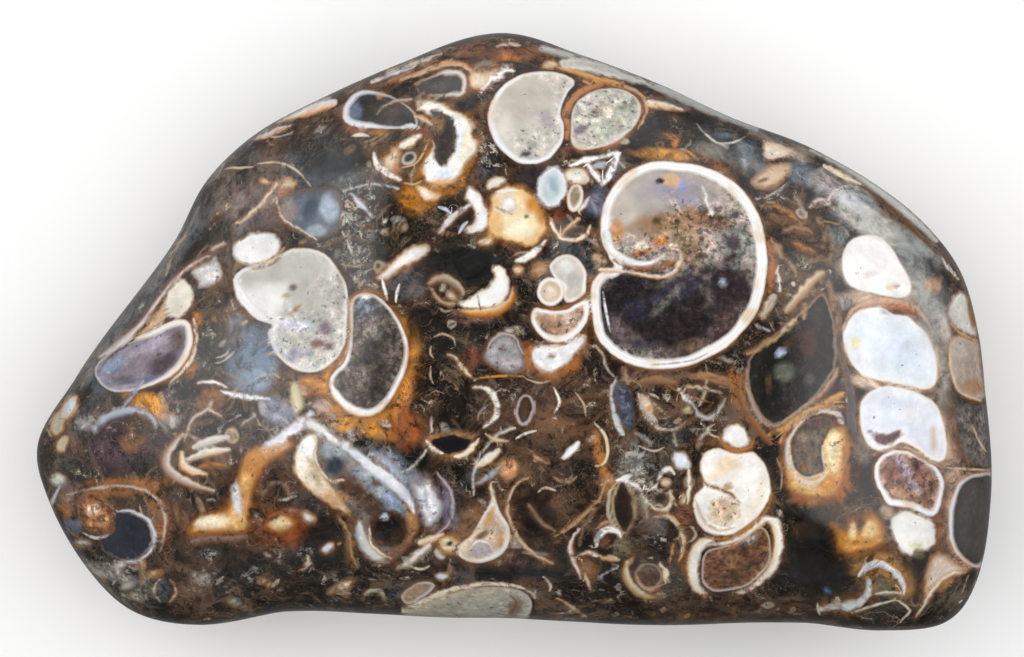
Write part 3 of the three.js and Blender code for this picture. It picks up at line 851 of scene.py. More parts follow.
ribbon([3.9, 6.6, 3.7, 6.1, 3.55, 5.75, 3.3, 5.4], [0.14, 0.26, 0.26, 0.08], ["#f2f0f2"])
ribbon([2.75, 6.2, 3, 5.85, 3.3, 5.45], [0.1, 0.2, 0.1], ["#ece8e6"])
flake(oval(3.2, 6.15, 0.3, 0.13, 10), "#8e929a", rim="#b8b8bc", stained=None, layer="linings")
veil_and_sheen((3, 4.7, 0.4, 0.5, 40, "#8086a8", 0.5), (3.2, 5.2, 0.3, 0.3, 0, "#8a90b4", 0.4),
    (3.9, 6, 0.15, 0.5, -20, "#77767e", 0.5))
ribbon([1.4, 4.2, 1.55, 3.75, 1.85, 3.45, 2.3, 3.4, 2.7, 3.6, 2.85, 3.95],
    [0.14, 0.12, 0.12, 0.16, 0.08], ["#f0e6d8", "#d9c0a0"])
flake(oval(2.4, 3.75, 0.28, 0.14, 20), "#3a3430", rim="#5c5044", stained=None, layer="linings")
ribbon([1.75, 3.6, 2.1, 3.9, 2.45, 4.2], [0.06, 0.1, 0.14], ["#cdb28c"])
ribbon([2.4, 4.4, 2.6, 4.65, 2.85, 4.95], [0.06, 0.16, 0.1], ["#e6dccb"])
tell("Horseshoe and what lies round it")

# %% [markdown]
# ## The upper right face
#
# Milky quartz lies over dark mud here, and thin pieces of shell stand close together. The milk is a
# veil. It could be a paler stain, but a veil goes over mud and fossils alike, so the pieces show
# through it. The palest clouds near the edge, and the two long grey bands along it, are painted
# reflection: the sheen of light on the bevel.

# %% Upper right face
stain_and_sheen((5.6, 7.4, 1.2, 0.6, -15, "#242322", 0.95), (5.8, 7.2, 0.4, 0.14, -15, "#9a6434", 0.9),
    (5.95, 7, 0.14, 0.2, 0, "#b9702e", 0.9), (6.8, 7.9, 1, 0.12, -20, "#1e2020", 0.9),
    (10.2, 4, 1, 0.8, -20, "#5c4430", 0.8), (11.1, 3.2, 0.7, 1, 20, "#3c342c", 0.8),
    (8.9, 5.5, 0.4, 0.3, -40, "#20201e", 0.9))
quiet((6.4, 7.9, 1.2, 0.2, -15, 1), (4.7, 7, 0.6, 0.5, 0, 0.8))
# The pale clouds from (10.3, 6.55) round to (14.6, 3.4) are painted reflection, the sheen of light on the
# bevel; the rest are milky quartz over the mud.
veil_and_sheen((7.4, 6.65, 0.8, 0.3, -15, "#93938c", 0.55), (7.85, 7.25, 0.5, 0.15, -10, "#77838f", 0.7),
    (8.7, 6.4, 0.7, 0.5, -30, "#74818a", 0.75), (8.5, 6.25, 0.12, 0.3, 10, "#c9d6da", 0.6),
    (10.6, 5.9, 0.45, 0.6, 0, "#7c8a94", 0.75), (11.6, 5.4, 0.7, 0.45, -30, "#cfc6c4", 0.75),
    (12.5, 4.8, 0.6, 0.3, -20, "#dbe0e6", 0.8), (13, 4.1, 1.2, 0.5, -20, "#cfccc6", 0.75),
    (13, 4.85, 0.5, 0.12, -30, "#6a747c", 0.7), (12, 3.6, 0.35, 0.4, 0, "#93a0a6", 0.6),
    (14.6, 3.4, 0.9, 0.3, -40, "#a3a6a0", 0.7), (10.3, 6.55, 0.8, 0.2, -20, "#dcc5ac", 0.7))
slivers(0.08, "pearl", [6.75, 7.68, 7.1, 7.28, 7.5, 6.98, 7.95, 6.75],
    [7.6, 6.98, 8.1, 6.98, 8.6, 7.22])
flake([9.2, 6.9, 9.5, 7.02, 10, 6.85, 10.3, 6.65, 9.9, 6.4, 9.3, 6.35], "#dfd0bc", rim="#cbb49a",
    ragged=0.06, grain=0.2, stained=None, layer="linings")
flake([8.8, 5.5, 9.1, 5.9, 9.6, 6.2, 10.2, 6.2, 10.2, 5.9, 9.8, 5.5, 9.3, 5.3], "#cdb094",
    rim="#a5886c", ragged=0.06, grain=0.2, washes=[(9.2, 5.6, 0.2, 0.08, 20, "#6a4a34", 0.9)])
ribbon([11.45, 6.15, 12.1, 5.78, 12.9, 5.4], [0.14, 0.24, 0.06], ["#e8d3b4", "#c98a3e", "#efe0cc"])
for line, width, colors in (
    ([9.3, 4.65, 9.8, 4.62, 10.3, 4.3, 10.65, 4], 0.24, ["#8a5c34", "#b5875a"]),
    ([9.5, 4.3, 9.9, 4.15, 10.4, 4.1], 0.2, ["#7a5638"]),
    ([9.9, 3.65, 10.4, 3.8, 11, 3.65], 0.22, ["#a58a6c", "#6a4c34"]),
    ([10.3, 3.3, 10.7, 3.1, 11.1, 2.95], 0.2, ["#c08a50", "#8a5c34"]),
    ([9.5, 3.45, 9.75, 3.1, 9.9, 2.75], 0.22, ["#a08468"]),
    ([10.4, 5, 10.6, 4.6, 10.75, 4.1], 0.14, ["#8f8a82"]),
    ([10.9, 4.6, 11.3, 4.9, 11.7, 4.7], 0.14, ["#c9c6c4"]),
    ([11.2, 4.2, 11.5, 3.7, 11.4, 3.1], 0.14, ["#7c7468"]),
    ([11.6, 3.9, 11.75, 3.3, 11.6, 2.6], 0.12, ["#8f8478"]),
    ([10.9, 2.6, 11.3, 2.75, 11.7, 2.6], 0.12, ["#6f6252"]),
    ([10, 2.75, 10.3, 2.4, 10.5, 1.9], 0.1, ["#98866f"]),
):
    ribbon(line, [0.4 * width, width, 0.3 * width], colors, ragged=0.05)
ribbon([12.8, 5.42, 13.6, 4.85, 14.3, 4.2, 15, 3.5, 15.7, 2.85], [0.08, 0.14, 0.16, 0.18],
    ["#6a4c34", "#3a2c22"])
# Painted reflection: two long grey bands along the upper right edge, pale at the rim and darker inwards,
# stand in for the sheen of light on the bevel.
ribbon([1, 10.45, 3, 9.92, 5, 9.2, 7, 8.3, 9, 7.45], [0.2, 0.34, 0.4, 0.36, 0.2],
    ["#cfd0cc", "#b3b4ae", "#8b9292"], "chambers", stained=None)
ribbon([10.9, 6.7, 12.2, 6.08, 13.5, 5.2, 14.6, 4.3, 15.6, 3.35], [0.1, 0.25, 0.34, 0.34, 0.2],
    ["#d6d6d0", "#c6c6be", "#8f9692"], "chambers", stained=None)
ribbon([8.7, 7.35, 9.9, 6.98, 11.1, 6.5], [0.06, 0.1, 0.08], ["#6d7876"])
tell("Upper right face")

# %% [markdown]
# ## The left end
#
# A violet-grey chamber lies where the face leans away, and everything looks narrower there. It is
# drawn as narrow as it looks from above, and the slope of the stone stretches it back.

# %% Left end
stain_and_sheen((-11.3, -0.6, 0.9, 1, 20, "#2f312a", 0.95), (-12, -1.2, 0.4, 0.5, 30, "#9a6024", 0.8),
    (-11.6, 0.5, 0.25, 0.3, 0, "#a8682c", 0.9), (-14.4, -4.2, 1.4, 1, 0, "#43323a", 0.95),
    (-13.9, -3.9, 0.5, 0.5, 0, "#7a4c20", 0.8), (-13.2, -2.7, 1, 0.35, -20, "#c8842c", 0.95),
    (-12.5, -2.4, 0.4, 0.35, 0, "#4f3c44", 0.9), (-15.6, -3.2, 0.5, 0.6, 0, "#6a5f5c", 0.7),
    (-16.6, -4.8, 0.6, 0.6, 30, "#3c3e38", 0.9), (-14.9, 1, 1.6, 0.35, 50, "#4d5154", 0.9),
    (-11.1, -2.4, 0.5, 0.4, 0, "#8a5a30", 0.8), (-13, 2.6, 1.2, 0.5, 45, "#4f4a42", 0.9))
# Painted reflection: the two bluish-grey bands along the rim are the sheen of light on the bevel; the two
# small pale clouds are milky quartz.
veil_and_sheen((-14.7, 1.5, 2.4, 0.22, 50, "#8c9298", 0.5), (-16.6, -1.9, 0.5, 0.2, 60, "#8c9298", 0.5),
    (-12.6, -3.2, 0.5, 0.35, 0, "#c2bcb6", 0.4), (-15.7, -3.4, 0.35, 0.25, 0, "#c9c6c2", 0.45))
frosted((-12.5, -2.9, 0.5, 0.7, 0, 0.7), (-15.7, -3.3, 0.5, 0.3, 0, 0.7),
    (-11.4, -3.4, 0.4, 0.4, 0, 0.6))
flake([-12.05, 1.95, -11.8, 1.6, -11.75, 1.2, -11.95, 0.8, -12.3, 0.55, -12.6, 0.65, -12.75, 1,
    -12.65, 1.5, -12.35, 1.85], "#d9d2c4", rim="#e9e0cf", grain=0.1,
    washes=[(-12.1, 1.6, 0.2, 0.2, 0, "#e9e2d6", 0.9)])
chamber([-15.35, -1.45, -15.2, -1.1, -14.7, -0.65, -14, -0.25, -13.3, 0.05, -12.7, 0.35, -12.2, 0.5,
    -11.85, 0.35, -11.75, -0.1, -11.8, -0.6, -12.1, -1.2, -12.6, -1.65, -13.3, -1.95, -14, -2.15,
    -14.7, -2.15, -15.15, -1.85], "#7c727c", rim="#8a8490", wall=0.13, lean=(20, 0.75), shell="#e9e2d8",
    grain=0.35, washes=[(-14.7, -1.2, 0.5, 0.25, 35, "#8494ac", 0.85),
    (-13.3, -0.5, 0.9, 0.22, 25, "#a39aa6", 0.8), (-12.8, -1.1, 0.7, 0.35, 30, "#43333a", 0.95),
    (-13.4, -1.7, 0.3, 0.12, 15, "#5c5a80", 0.8), (-12.3, -0.2, 0.3, 0.4, 0, "#5a4844", 0.85),
    (-14.2, -1.75, 0.5, 0.15, 0, "#4b4854", 0.8)])
ribbon([-11.72, 0.5, -11.65, -0.3, -11.9, -1.1, -12.6, -1.85], [0.1, 0.16, 0.18, 0.06],
    ["#f1e2cc", "#c98a44", "#8a5320"])
flake([-12.75, 1.15, -12.7, 0.55, -13.2, 0.12, -14, -0.3, -13.7, 0.15, -13.2, 0.7], "#cfae8a",
    rim="#b08a66", grain=0.4, stained=None, ragged=0.04)
ribbon([-11.2, 2.85, -12, 2.35, -12.6, 1.75, -13.1, 1.1, -13.6, 0.4, -14.3, -0.25, -15.2, -0.9],
    [0.08, 0.14, 0.14, 0.18, 0.2, 0.32, 0.12], ["#e6ddd8", "#cfc0ba", "#4a3a34"])
ribbon([-12.85, 1.15, -13.4, 0.35, -14.1, -0.38, -14.8, -0.9, -15.2, -1.5],
    [0.06, 0.12, 0.12, 0.1, 0.06], ["#3a2a21"])
ribbon([-12.75, 2.1, -12.45, 2.95, -12, 3.6], [0.06, 0.12, 0.05], ["#cdbb9c"])
flake([-11.8, 2.25, -11.4, 2.5, -11.1, 2.6, -11, 2.85, -10.8, 2.6, -10.65, 2.1, -10.9, 1.8, -11.5, 1.65,
    -11.55, 1.9], "#cfccca", rim="#a39c98", grain=0.4, ragged=0.04, layer="linings")
ribbon([-13.5, -1.7, -13.9, -2.2, -14.3, -2.7], [0.06, 0.18, 0.08], ["#aab2c6", "#8088a0"])
ribbon([-15.4, -3.7, -15, -3.2, -14.4, -2.95, -13.8, -2.9, -13.3, -3.1, -13.1, -3.5],
    [0.1, 0.3, 0.36, 0.32, 0.24, 0.08], ["#b4bcc8", "#a9b0bc", "#4a3f4a"], ragged=0.08, stained=None)
ribbon([-11.6, -1.85, -11, -1.8, -10.5, -2], [0.05, 0.14, 0.06], ["#e9e6e0"])
ribbon([-12.05, -4, -11.8, -3.3, -11.4, -2.95, -11.1, -2.85, -10.7, -3.1],
    [0.06, 0.12, 0.14, 0.12, 0.05], ["#d6cabd", "#8a7460"])
ribbon([-11.1, 3.05, -10.55, 3.3], [0.1, 0.12], ["#b9b0a8"])
grains("#c6d0dc", (-16.3, -2.75, 0.5, 0.26, 60))
grains("#a3a89c", (-16.72, -3.35, 0.45, 0.24, 75), (-16.55, -4.1, 0.3, 0.2, 60))
tell("Left end")

# %% [markdown]
# ## The left face
#
# A white oval, a pale chamber with two lobes, and a dark one bent round it. Each is one closed
# curve. Milk has gathered at one end of the pale chamber, and the calm places in it carry less
# grain than the rest.

# %% Left face: white oval, two-lobed chamber, dark chamber
# Painted reflection: the slate-blue stain at (-9.6, -1) is the bluish sheen of the left facet, washed
# into the mud; the others are stains in the mud.
stain_and_sheen((-7.2, -2, 0.6, 0.4, 0, "#b9702e", 0.9), (-4, -2.4, 0.3, 1.4, -12, "#8a5540", 0.9),
    (-3.9, -3.5, 0.6, 0.7, 0, "#8a4a24", 0.9), (-5.9, 0.3, 0.12, 1.2, 0, "#3a2620", 0.9),
    (-9.6, -1, 0.9, 1.2, 0, "#5b6874", 0.8), (-7, -3.4, 0.6, 0.5, 0, "#77706a", 0.7),
    (-5.6, 2.6, 0.4, 0.9, 15, "#5c5a56", 0.8))
frosted((-5.7, 2.6, 0.5, 0.9, 10, 0.9), (-6.9, -3.3, 0.6, 0.55, 0, 0.8),
    (-5.7, -3.9, 0.6, 0.4, -20, 0.8), (-9, -3.6, 0.6, 0.4, 30, 0.6))
flake(oval(-9.4, 3.1, 0.88, 0.57, 15), "#eceaea", rim="#dcd8d2", fade=0.15, grain=0.08,
    stained=("#5a4030", 0.08, 0.8))
ribbon([-10.15, 2.6, -9.5, 2.44, -8.75, 2.66, -8.35, 3.1], [0.08, 0.2, 0.24, 0.08],
    ["#e6cba8", "#b98a5c", "#6a4632"])
chamber([-10.25, 1.9, -10.1, 2.2, -9.7, 2.45, -9, 2.6, -8.5, 2.9, -8, 3.1, -7.3, 3.05, -6.8, 2.8,
    -6.4, 2.3, -6.1, 1.7, -6.05, 1, -6.1, 0.3, -6.2, -0.5, -6.6, -1.1, -7.2, -1.45, -7.9, -1.4,
    -8.4, -1.1, -8.8, -0.6, -9, 0, -8.85, 0.28, -9.4, 0.5, -9.8, 0.9, -10.1, 1.4], "#b7b3ab",
    rim="#d2cfc8", wall=0.1, grain=0.5, shell="#e6e2dc", stained=("#4a2e22", 0.14, 0.9),
    lean=(180, 0.3), washes=[(-9.1, 1.2, 0.95, 0.8, 20, "#e3e2de", 1),
    (-8.2, 2.4, 1.6, 0.45, 12, "#bdbab2", 0.9), (-8, 0.3, 0.8, 0.2, -5, "#c6c8d6", 0.9),
    (-8.05, 1.65, 0.17, 0.15, 0, "#5c4a3c", 1), (-8.3, 1.35, 0.2, 0.1, 0, "#a88c5c", 0.8),
    (-7.95, 0.88, 0.3, 0.09, 40, "#b06a30", 0.95), (-7.1, 1.3, 0.6, 0.9, 0, "#aaa59c", 0.7),
    (-6.85, 0.15, 0.28, 0.26, 0, "#5f4a56", 0.9), (-7.2, -0.4, 0.3, 0.16, 10, "#7a4434", 0.9),
    (-6.75, -0.5, 0.2, 0.14, 0, "#6a3a30", 0.9), (-8, -0.85, 0.5, 0.28, 0, "#9c96a6", 0.85),
    (-7.5, -1.1, 0.6, 0.2, 0, "#c9c4be", 0.8), (-6.35, 1.4, 0.2, 0.9, 0, "#8d857c", 0.7)],
    calm=[(-9.1, 1.4, 1.1, 1, 20, 1), (-8, 2.3, 1.7, 0.7, 10, 0.9), (-7.6, 1.2, 0.9, 0.5, 0, 0.7)])
ribbon([-10.2, 1.95, -10.02, 1.45, -9.7, 0.98, -9.3, 0.62, -8.85, 0.36], [0.14, 0.34, 0.32, 0.22, 0.08],
    ["#f4f3f1", "#e9e7e4"])
ribbon([-6.05, 1.2, -5.97, 0.3, -6.08, -0.6, -6.5, -1.35], [0.06, 0.14, 0.14, 0.08],
    ["#cbb296", "#6a4c38"])
# Painted reflection: these bluish-white veils across the left facet stand in for the soft sheen of light
# on the polish.
veil_and_sheen((-9.4, -1, 0.8, 1.3, -20, "#7f93a8", 0.6), (-9.3, -1.7, 0.5, 0.4, 0, "#a9b6cc", 0.6),
    (-8.6, -2.9, 0.7, 0.5, -20, "#b4b8d0", 0.55), (-10, 0.2, 0.4, 0.5, 40, "#7f93a8", 0.5),
    (-7, -2.7, 0.4, 0.3, 0, "#d2d0d4", 0.4))
stain_and_sheen((-5.9, -3.45, 1.5, 0.3, -14, "#c8842c", 0.9), (-4.15, -2.3, 0.25, 0.9, -20, "#a8642c", 0.9),
    (-7, -2.7, 0.3, 0.7, 35, "#b9702e", 0.9))
chamber([-5.9, 1.2, -5.5, 1.45, -5, 1.35, -4.5, 0.9, -4.1, 0.3, -3.85, -0.4, -3.85, -1.1, -4.1, -1.8,
    -4.5, -2.5, -5, -2.95, -5.5, -3.05, -6.1, -2.8, -6.5, -2.4, -6.75, -1.9, -6.6, -1.5, -6.2, -1.1,
    -6, -0.5, -5.95, 0.3], "#4b443e", rim="#6a6058", wall=0.13, grain=1, lean=(-70, 0.5),
    stained=("#7a4a22", 0.12, 1), glow=("#c8842c", 0.34, 0.8),
    washes=[(-5.4, 0.9, 0.45, 0.4, 0, "#6a7280", 0.9), (-5.2, 0.1, 0.5, 0.4, 20, "#7d746a", 0.8),
    (-5.2, -0.7, 0.5, 0.4, 0, "#332e2b", 0.8), (-5.7, -1.7, 0.5, 0.45, 10, "#776c60", 0.8),
    (-4.4, -0.9, 0.3, 0.8, 0, "#6a6058", 0.6), (-4.9, -2.3, 0.4, 0.3, 10, "#2f2a28", 0.8),
    (-5.4, 1.3, 0.2, 0.1, 0, "#d6d4d2", 0.9)])
ribbon([-6.72, -1.85, -6.48, -2.3, -6.05, -2.72, -5.5, -2.95, -5, -2.86, -4.5, -2.45],
    [0.14, 0.3, 0.32, 0.3, 0.2, 0.1], ["#dfe4ea", "#f4f1ec", "#e3c090"])
ribbon([-3.85, 0.9, -3.45, -0.5, -3.5, -1.6, -3.9, -2.6, -4.7, -3.4], [0.3, 0.65, 0.7, 0.7, 0.2],
    ["#a5763c", "#6a4032", "#a59aa0", "#7a4a30", "#c9a07c", "#8a4a24"], "crumbs", ragged=0.06,
    stained=None)
ribbon([-10.7, -2.15, -10.1, -2.32, -9.5, -2.38, -8.9, -2.45], [0.06, 0.2, 0.16, 0.05], ["#e9eaf0"],
    ragged=0.04)
ribbon([-7.4, -2.9, -7.7, -3.25, -8.3, -3.75, -9.2, -4.2], [0.1, 0.34, 0.36, 0.1],
    ["#efeef2", "#dcdce6"], ragged=0.08)
ribbon([-7.6, -3.2, -7, -3.6, -6.5, -3.95, -5.9, -4.15], [0.3, 0.26, 0.26, 0.1], ["#f1f0f0", "#e0dcd6"],
    ragged=0.06)
flake([-8.2, -1.85, -7.9, -1.85, -7.7, -2.4, -7.7, -2.8, -8, -3, -8.15, -2.6], "#d9cdaa", rim="#a59a78",
    stained=None, layer="linings")
flake([-7.9, -1.65, -7.2, -1.6, -6.7, -1.8, -6.75, -2.3, -7.3, -2.2, -7.6, -1.95], "#c9873c",
    rim="#8f5a2c", grain=0.5, stained=None, layer="linings")
flake([-4.95, 2, -4.7, 2.3, -4.2, 2.8, -3.7, 3.15, -3.2, 3.2, -3.05, 3, -3.5, 2.65, -4.1, 2.35,
    -4.6, 2], "#f3f0ec", rim="#cdb49a", glow=("#6a4426", 0.15, 0.6))
slivers(0.12, "#e9e6e0", [-4.8, 2, -4.7, 1.6, -4.6, 1.2], [-4.15, 1.8, -4.25, 1.45, -4.3, 1.1])
tell("Left face")

# %% [markdown]
# ## The middle
#
# Small fossils crowd round a hollow of clear dark mud: a crescent, a shell in four parts and a
# lilac whorl. The hollow is kept quiet, so that no crumb of shell is strewn over it later.

# %% Middle: crescent, four-part shell, lilac whorl
quiet((-1.8, 2.55, 1.5, 0.8, 0, 1), (-3.4, 0.4, 0.4, 0.5, 0, 0.8))
stain_and_sheen((-1.8, 2.55, 1.7, 0.9, 0, "#1d1e1d", 0.95), (-1.5, -0.9, 0.35, 0.45, 0, "#5c3424", 0.8),
    (0.6, -0.9, 0.25, 0.6, 0, "#a8642c", 0.85), (0.1, 0.05, 0.3, 0.2, 0, "#dcc6a0", 0.8),
    (-1.4, 0.55, 1.2, 0.22, 0, "#6a4a44", 0.7), (0.9, 2.3, 0.5, 0.3, 30, "#a8805c", 0.8),
    (0.35, -0.6, 0.2, 0.3, 0, "#9a5c28", 0.8), (2.2, -1.2, 0.4, 0.25, 30, "#9a5c28", 0.8),
    (1.9, -3.5, 1.1, 0.6, -20, "#5a4030", 0.8))
flake([-1.3, 3.35, -0.9, 3.48, -0.72, 3.3, -1, 3.2], "snow")
ribbon([0.1, 2.6, 0.5, 2.75, 0.9, 3.05, 1.25, 3.4], [0.14, 0.26, 0.26, 0.06], ["#f4f2ef", "#e9dfd2"])
flake([0, 2.4, 0.4, 2.42, 0.35, 2.2, 0.08, 2.18], "ivory", layer="linings")
ribbon([-2, 0.82, -1.5, 0.72, -0.9, 0.72, -0.4, 0.86, -0.05, 1.2, 0.05, 1.7],
    [0.1, 0.3, 0.36, 0.34, 0.26, 0.1], ["#efd9b4", "#c8842c", "#7a4a20"], ragged=0.03)
flake([-2, 1.02, -1.6, 1.25, -1.3, 1.45, -1, 1.6, -0.75, 1.85, -0.65, 2.15, -0.75, 2.42, -0.5, 2.48,
    -0.25, 2.2, -0.12, 1.8, -0.2, 1.35, -0.45, 1.05, -1, 0.9, -1.6, 0.88], "#f4f2f0", rim="#e6dccb",
    grain=0.1, stained=None)
slivers(0.07, "#54463c", [-1.3, 1.4, -1.22, 1.05, -1.15, 0.75], [-0.75, 0.95, -0.6, 1.1])
ribbon([-3.1, 1.75, -2.8, 1.95, -2.4, 1.95, -1.95, 1.65, -1.8, 1.35], [0.1, 0.26, 0.3, 0.26, 0.1],
    ["#c2b6a6", "#a08c78", "#6a4c34"])
ribbon([-3, 1.6, -2.75, 1.25, -2.45, 1.05, -2.1, 1.05], [0.08, 0.16, 0.16, 0.08],
    ["#b9a48e", "#8a6a4c"])
flake(oval(-2.25, 1.35, 0.25, 0.16, -40), "#ddd2c2", rim="#8f6e50", stained=None, layer="linings")
chamber([1.37, 2.35, 1.5, 2.65, 1.8, 2.85, 2.15, 2.85, 2.5, 2.6, 2.72, 2.2, 2.7, 1.8, 2.65, 1.45,
    2.35, 1.2, 2, 1.1, 1.85, 1.35, 1.85, 1.7, 1.6, 1.95], "#e2ddd4", rim="#cdc4b8", wall=0.1, grain=0.1,
    washes=[(2.25, 1.9, 0.25, 0.45, -10, "#bcb8b0", 0.8), (1.9, 2.4, 0.3, 0.25, 0, "#e6e6e2", 0.8)])
chamber(oval(1.4, 1.5, 0.5, 0.52), "#e4d8ca", rim="#cdb89e", wall=0.13, shell="#f4f0ea", grain=0.15,
    stained=None, lean=(0, 0), layer="linings")
ribbon([1, 1.05, 1.45, 0.86, 2, 0.92, 2.4, 1.15, 2.7, 1.35], [0.06, 0.1, 0.08, 0.1, 0.06], ["#8a5a38"])
chamber([0.68, 0.5, 0.8, 0.9, 1.2, 0.85, 1.7, 0.8, 2.1, 0.9, 2.5, 1.15, 2.78, 1.15, 2.8, 0.7, 2.6, 0.2,
    2.2, -0.2, 1.7, -0.38, 1.2, -0.25, 0.85, 0.1], "#a2816a", rim="#c2a488", wall=0.18, fade=0.2,
    grain=0.6, washes=[(1.3, 0, 0.16, 0.1, 0, "#5a4034", 0.9),
    (2.1, 0.5, 0.3, 0.2, 30, "#cdb8a6", 0.8)])
flake([0.7, -0.7, 1, -0.45, 1.6, -0.48, 2.1, -0.32, 2.62, -0.1, 2.62, -0.4, 2.3, -0.8, 1.9, -1.2,
    1.5, -1.45, 1.1, -1.4, 0.75, -1.1], "#eef0f2", rim="#dcd2c6", glow=("#a8642c", 0.18, 0.8),
    washes=[(1.42, -0.85, 0.2, 0.12, 0, "#8a6a50", 0.95)])
flake([-1.05, -0.75, -0.8, -0.3, -0.4, 0, 0, -0.1, 0.3, -0.4, 0.42, -0.9, 0.45, -1.3, 0.1, -1.5,
    -0.4, -1.45, -0.85, -1.2, -1.05, -0.95], "#9c989a", rim="#6a5c58", fade=0.25, grain=0.45,
    washes=[(-0.35, -0.6, 0.16, 0.12, 0, "#6a4a40", 0.8), (0.1, -1.1, 0.25, 0.2, 0, "#bab2b4", 0.7),
    (-0.7, -0.8, 0.2, 0.3, 0, "#b6b2b4", 0.7)])
ribbon([-1.05, -0.95, -0.85, -0.4, -0.4, -0.02, 0.05, -0.15, 0.4, -0.8], [0.05, 0.1, 0.12, 0.1, 0.05],
    ["#5c4c48", "#cdc6c0"])
slivers(0.09, "#c9873c", [-1.4, -1.68, -0.5, -1.6, 0.4, -1.6])
slivers(0.08, "#b9a48e", [-2.95, -0.2, -2.6, -0.05, -2.2, -0.2, -2.1, -0.5],
    [-3, -0.5, -3.02, -0.75, -2.9, -0.95], [-3, -1.2, -3.02, -1.6, -2.9, -1.9],
    [0.5, -1.7, 1, -1.85, 1.4, -1.75], [2.3, -2.2, 2.6, -2.6, 2.7, -3.1])
ribbon([-2.4, -0.8, -2.05, -0.98, -1.8, -1.35, -1.4, -1.75], [0.06, 0.14, 0.16, 0.06],
    ["#efe0c8", "#b9986e"])
ribbon([-1.45, -2, -1, -2.05, -0.68, -2.35, -0.56, -2.8, -0.7, -3.2, -1.1, -3.5],
    [0.08, 0.16, 0.22, 0.22, 0.18, 0.06], ["#f1efec", "#dccfbc"])
frosted((-0.2, -2.2, 0.5, 0.3, 0, 0.7), (0.1, 0.1, 0.3, 0.2, 0, 0.6))
chamber(oval(0.45, -2.85, 0.33, 0.58, -8), "#6a4a30", rim="#3a2c24", shell="#a59690", wall=0.06,
    ragged=0.02)
slivers(0.1, "#efe6d8", [0.1, -3.9, 0.5, -3.7, 0.9, -3.6], [1.5, -2, 1.72, -2.55, 1.5, -3])
ribbon([1.2, -3.2, 1.9, -3.35, 2.6, -3.7, 3.1, -4.2], [0.1, 0.3, 0.3, 0.1], ["#a0805c", "#5c4030"],
    "crumbs", ragged=0.06)
tell("Middle")

# %% [markdown]
# ## Under the great whorl
#
# Thin broken walls lie along the whorl's lower side, beside a nearly black chamber. Its rim has
# another colour on each side, which one wall can't give, so the rim is a ring of separate bands.

# %% Under the great whorl, and the black chamber to its right
stain_and_sheen((6.3, -1.6, 1.6, 0.2, -4, "#5c4038", 0.8), (5.8, -2.8, 0.8, 0.5, 0, "#503a30", 0.9),
    (7, -2.7, 0.25, 0.2, 0, "#4a2e24", 0.9), (4, -2.6, 0.3, 0.8, 15, "#4f5a68", 0.9),
    (8.3, -2.3, 0.25, 1, 10, "#a5662c", 0.9), (5, -4.2, 0.8, 0.4, 0, "#242220", 0.8))
ribbon([3, -0.45, 3.3, -0.8, 3.5, -1.35, 3.8, -1.7], [0.06, 0.08, 0.08, 0.06], ["#b8b4a8"])
ribbon([3.8, -1.7, 3.62, -2.1, 3.66, -2.6, 3.8, -3.2, 4.08, -3.75], [0.08, 0.12, 0.14, 0.24, 0.14],
    ["#b4bfc0", "#c6ccc8"], ragged=0.03)
flake([3.85, -1.95, 4.3, -2.1, 4.45, -3.1, 4.3, -3.6, 3.95, -3.2], "#566072", rim="#444a52", grain=0.9,
    ragged=0.08, stained=None)
ribbon([4.05, -1.3, 4.15, -1.6, 4.25, -1.9], [0.2, 0.26, 0.1], ["#a59078", "#7c6852"], ragged=0.05)
ribbon([4.65, -2.25, 4.72, -2.8, 5, -3.25, 5.4, -3.55, 5.85, -3.6, 6.2, -3.45, 6.4, -3.25],
    [0.1, 0.12, 0.14, 0.14, 0.14, 0.12, 0.05], ["#d9cfc4", "#f2ede6", "#6a5040"])
flake([4.7, -2.25, 4.95, -2.4, 5.15, -2.7, 5.2, -2.95, 4.95, -3, 4.75, -2.75], "#ece6da", rim="#cdb89e",
    washes=[(5.02, -2.78, 0.16, 0.12, 30, "#c8863c", 0.9)], layer="linings")
ribbon([4.95, -2.9, 5.15, -3.1, 5.35, -3.28], [0.05, 0.16, 0.06], ["#b9bab6"])
slivers(0.09, "#cdbfae", [5, -2.25, 5.2, -2.3, 5.4, -2.45], [5.5, -2.25, 5.7, -2.5, 5.8, -2.3])
for line, width, colors in (
    ([4.5, -1.85, 5.3, -1.75, 6.1, -1.9], 0.3, ["#a07c58", "#6a4a34"]),
    ([6.45, -1.6, 7.2, -1.62, 7.9, -1.85, 8.15, -2.15], 0.32, ["#b08a68", "#7a5438", "#a57a58"]),
    ([6.3, -1.95, 7, -2.05, 7.7, -2.25], 0.14, ["#c9b49c"]),
    ([6.15, -2.05, 6.35, -2.4, 6.65, -2.65], 0.2, ["#e9e4de"]),
    ([6.6, -2.6, 6.85, -3, 7.2, -3.15, 7.5, -2.95, 7.85, -2.4], 0.18, ["#a9a8a6"]),
    ([7.35, -3.35, 7.05, -3.7, 6.8, -3.95], 0.16, ["#b9b4ac"]),
    ([4.5, -3.7, 4.8, -3.85, 5.1, -4.1], 0.2, ["#8f9290"]),
    ([8.55, -0.75, 8.9, -0.65, 9.4, -0.35, 10, 0.05, 10.4, 0.42], 0.2, ["#8a6a4c", "#b5986e"]),
):
    ribbon(line, [0.4 * width, width, 0.3 * width], colors, ragged=0.04)
flake([6.2, -2.85, 6.45, -2.62, 6.6, -2.95, 6.35, -3], "#d8d2b8", rim="#8f8260", stained=None,
    layer="linings")
frosted((7.4, -3.2, 0.4, 0.35, 0, 0.9), (6.7, -2.6, 0.4, 0.2, -30, 0.8), (8.3, -1.1, 0.4, 0.4, 0, 0.5))
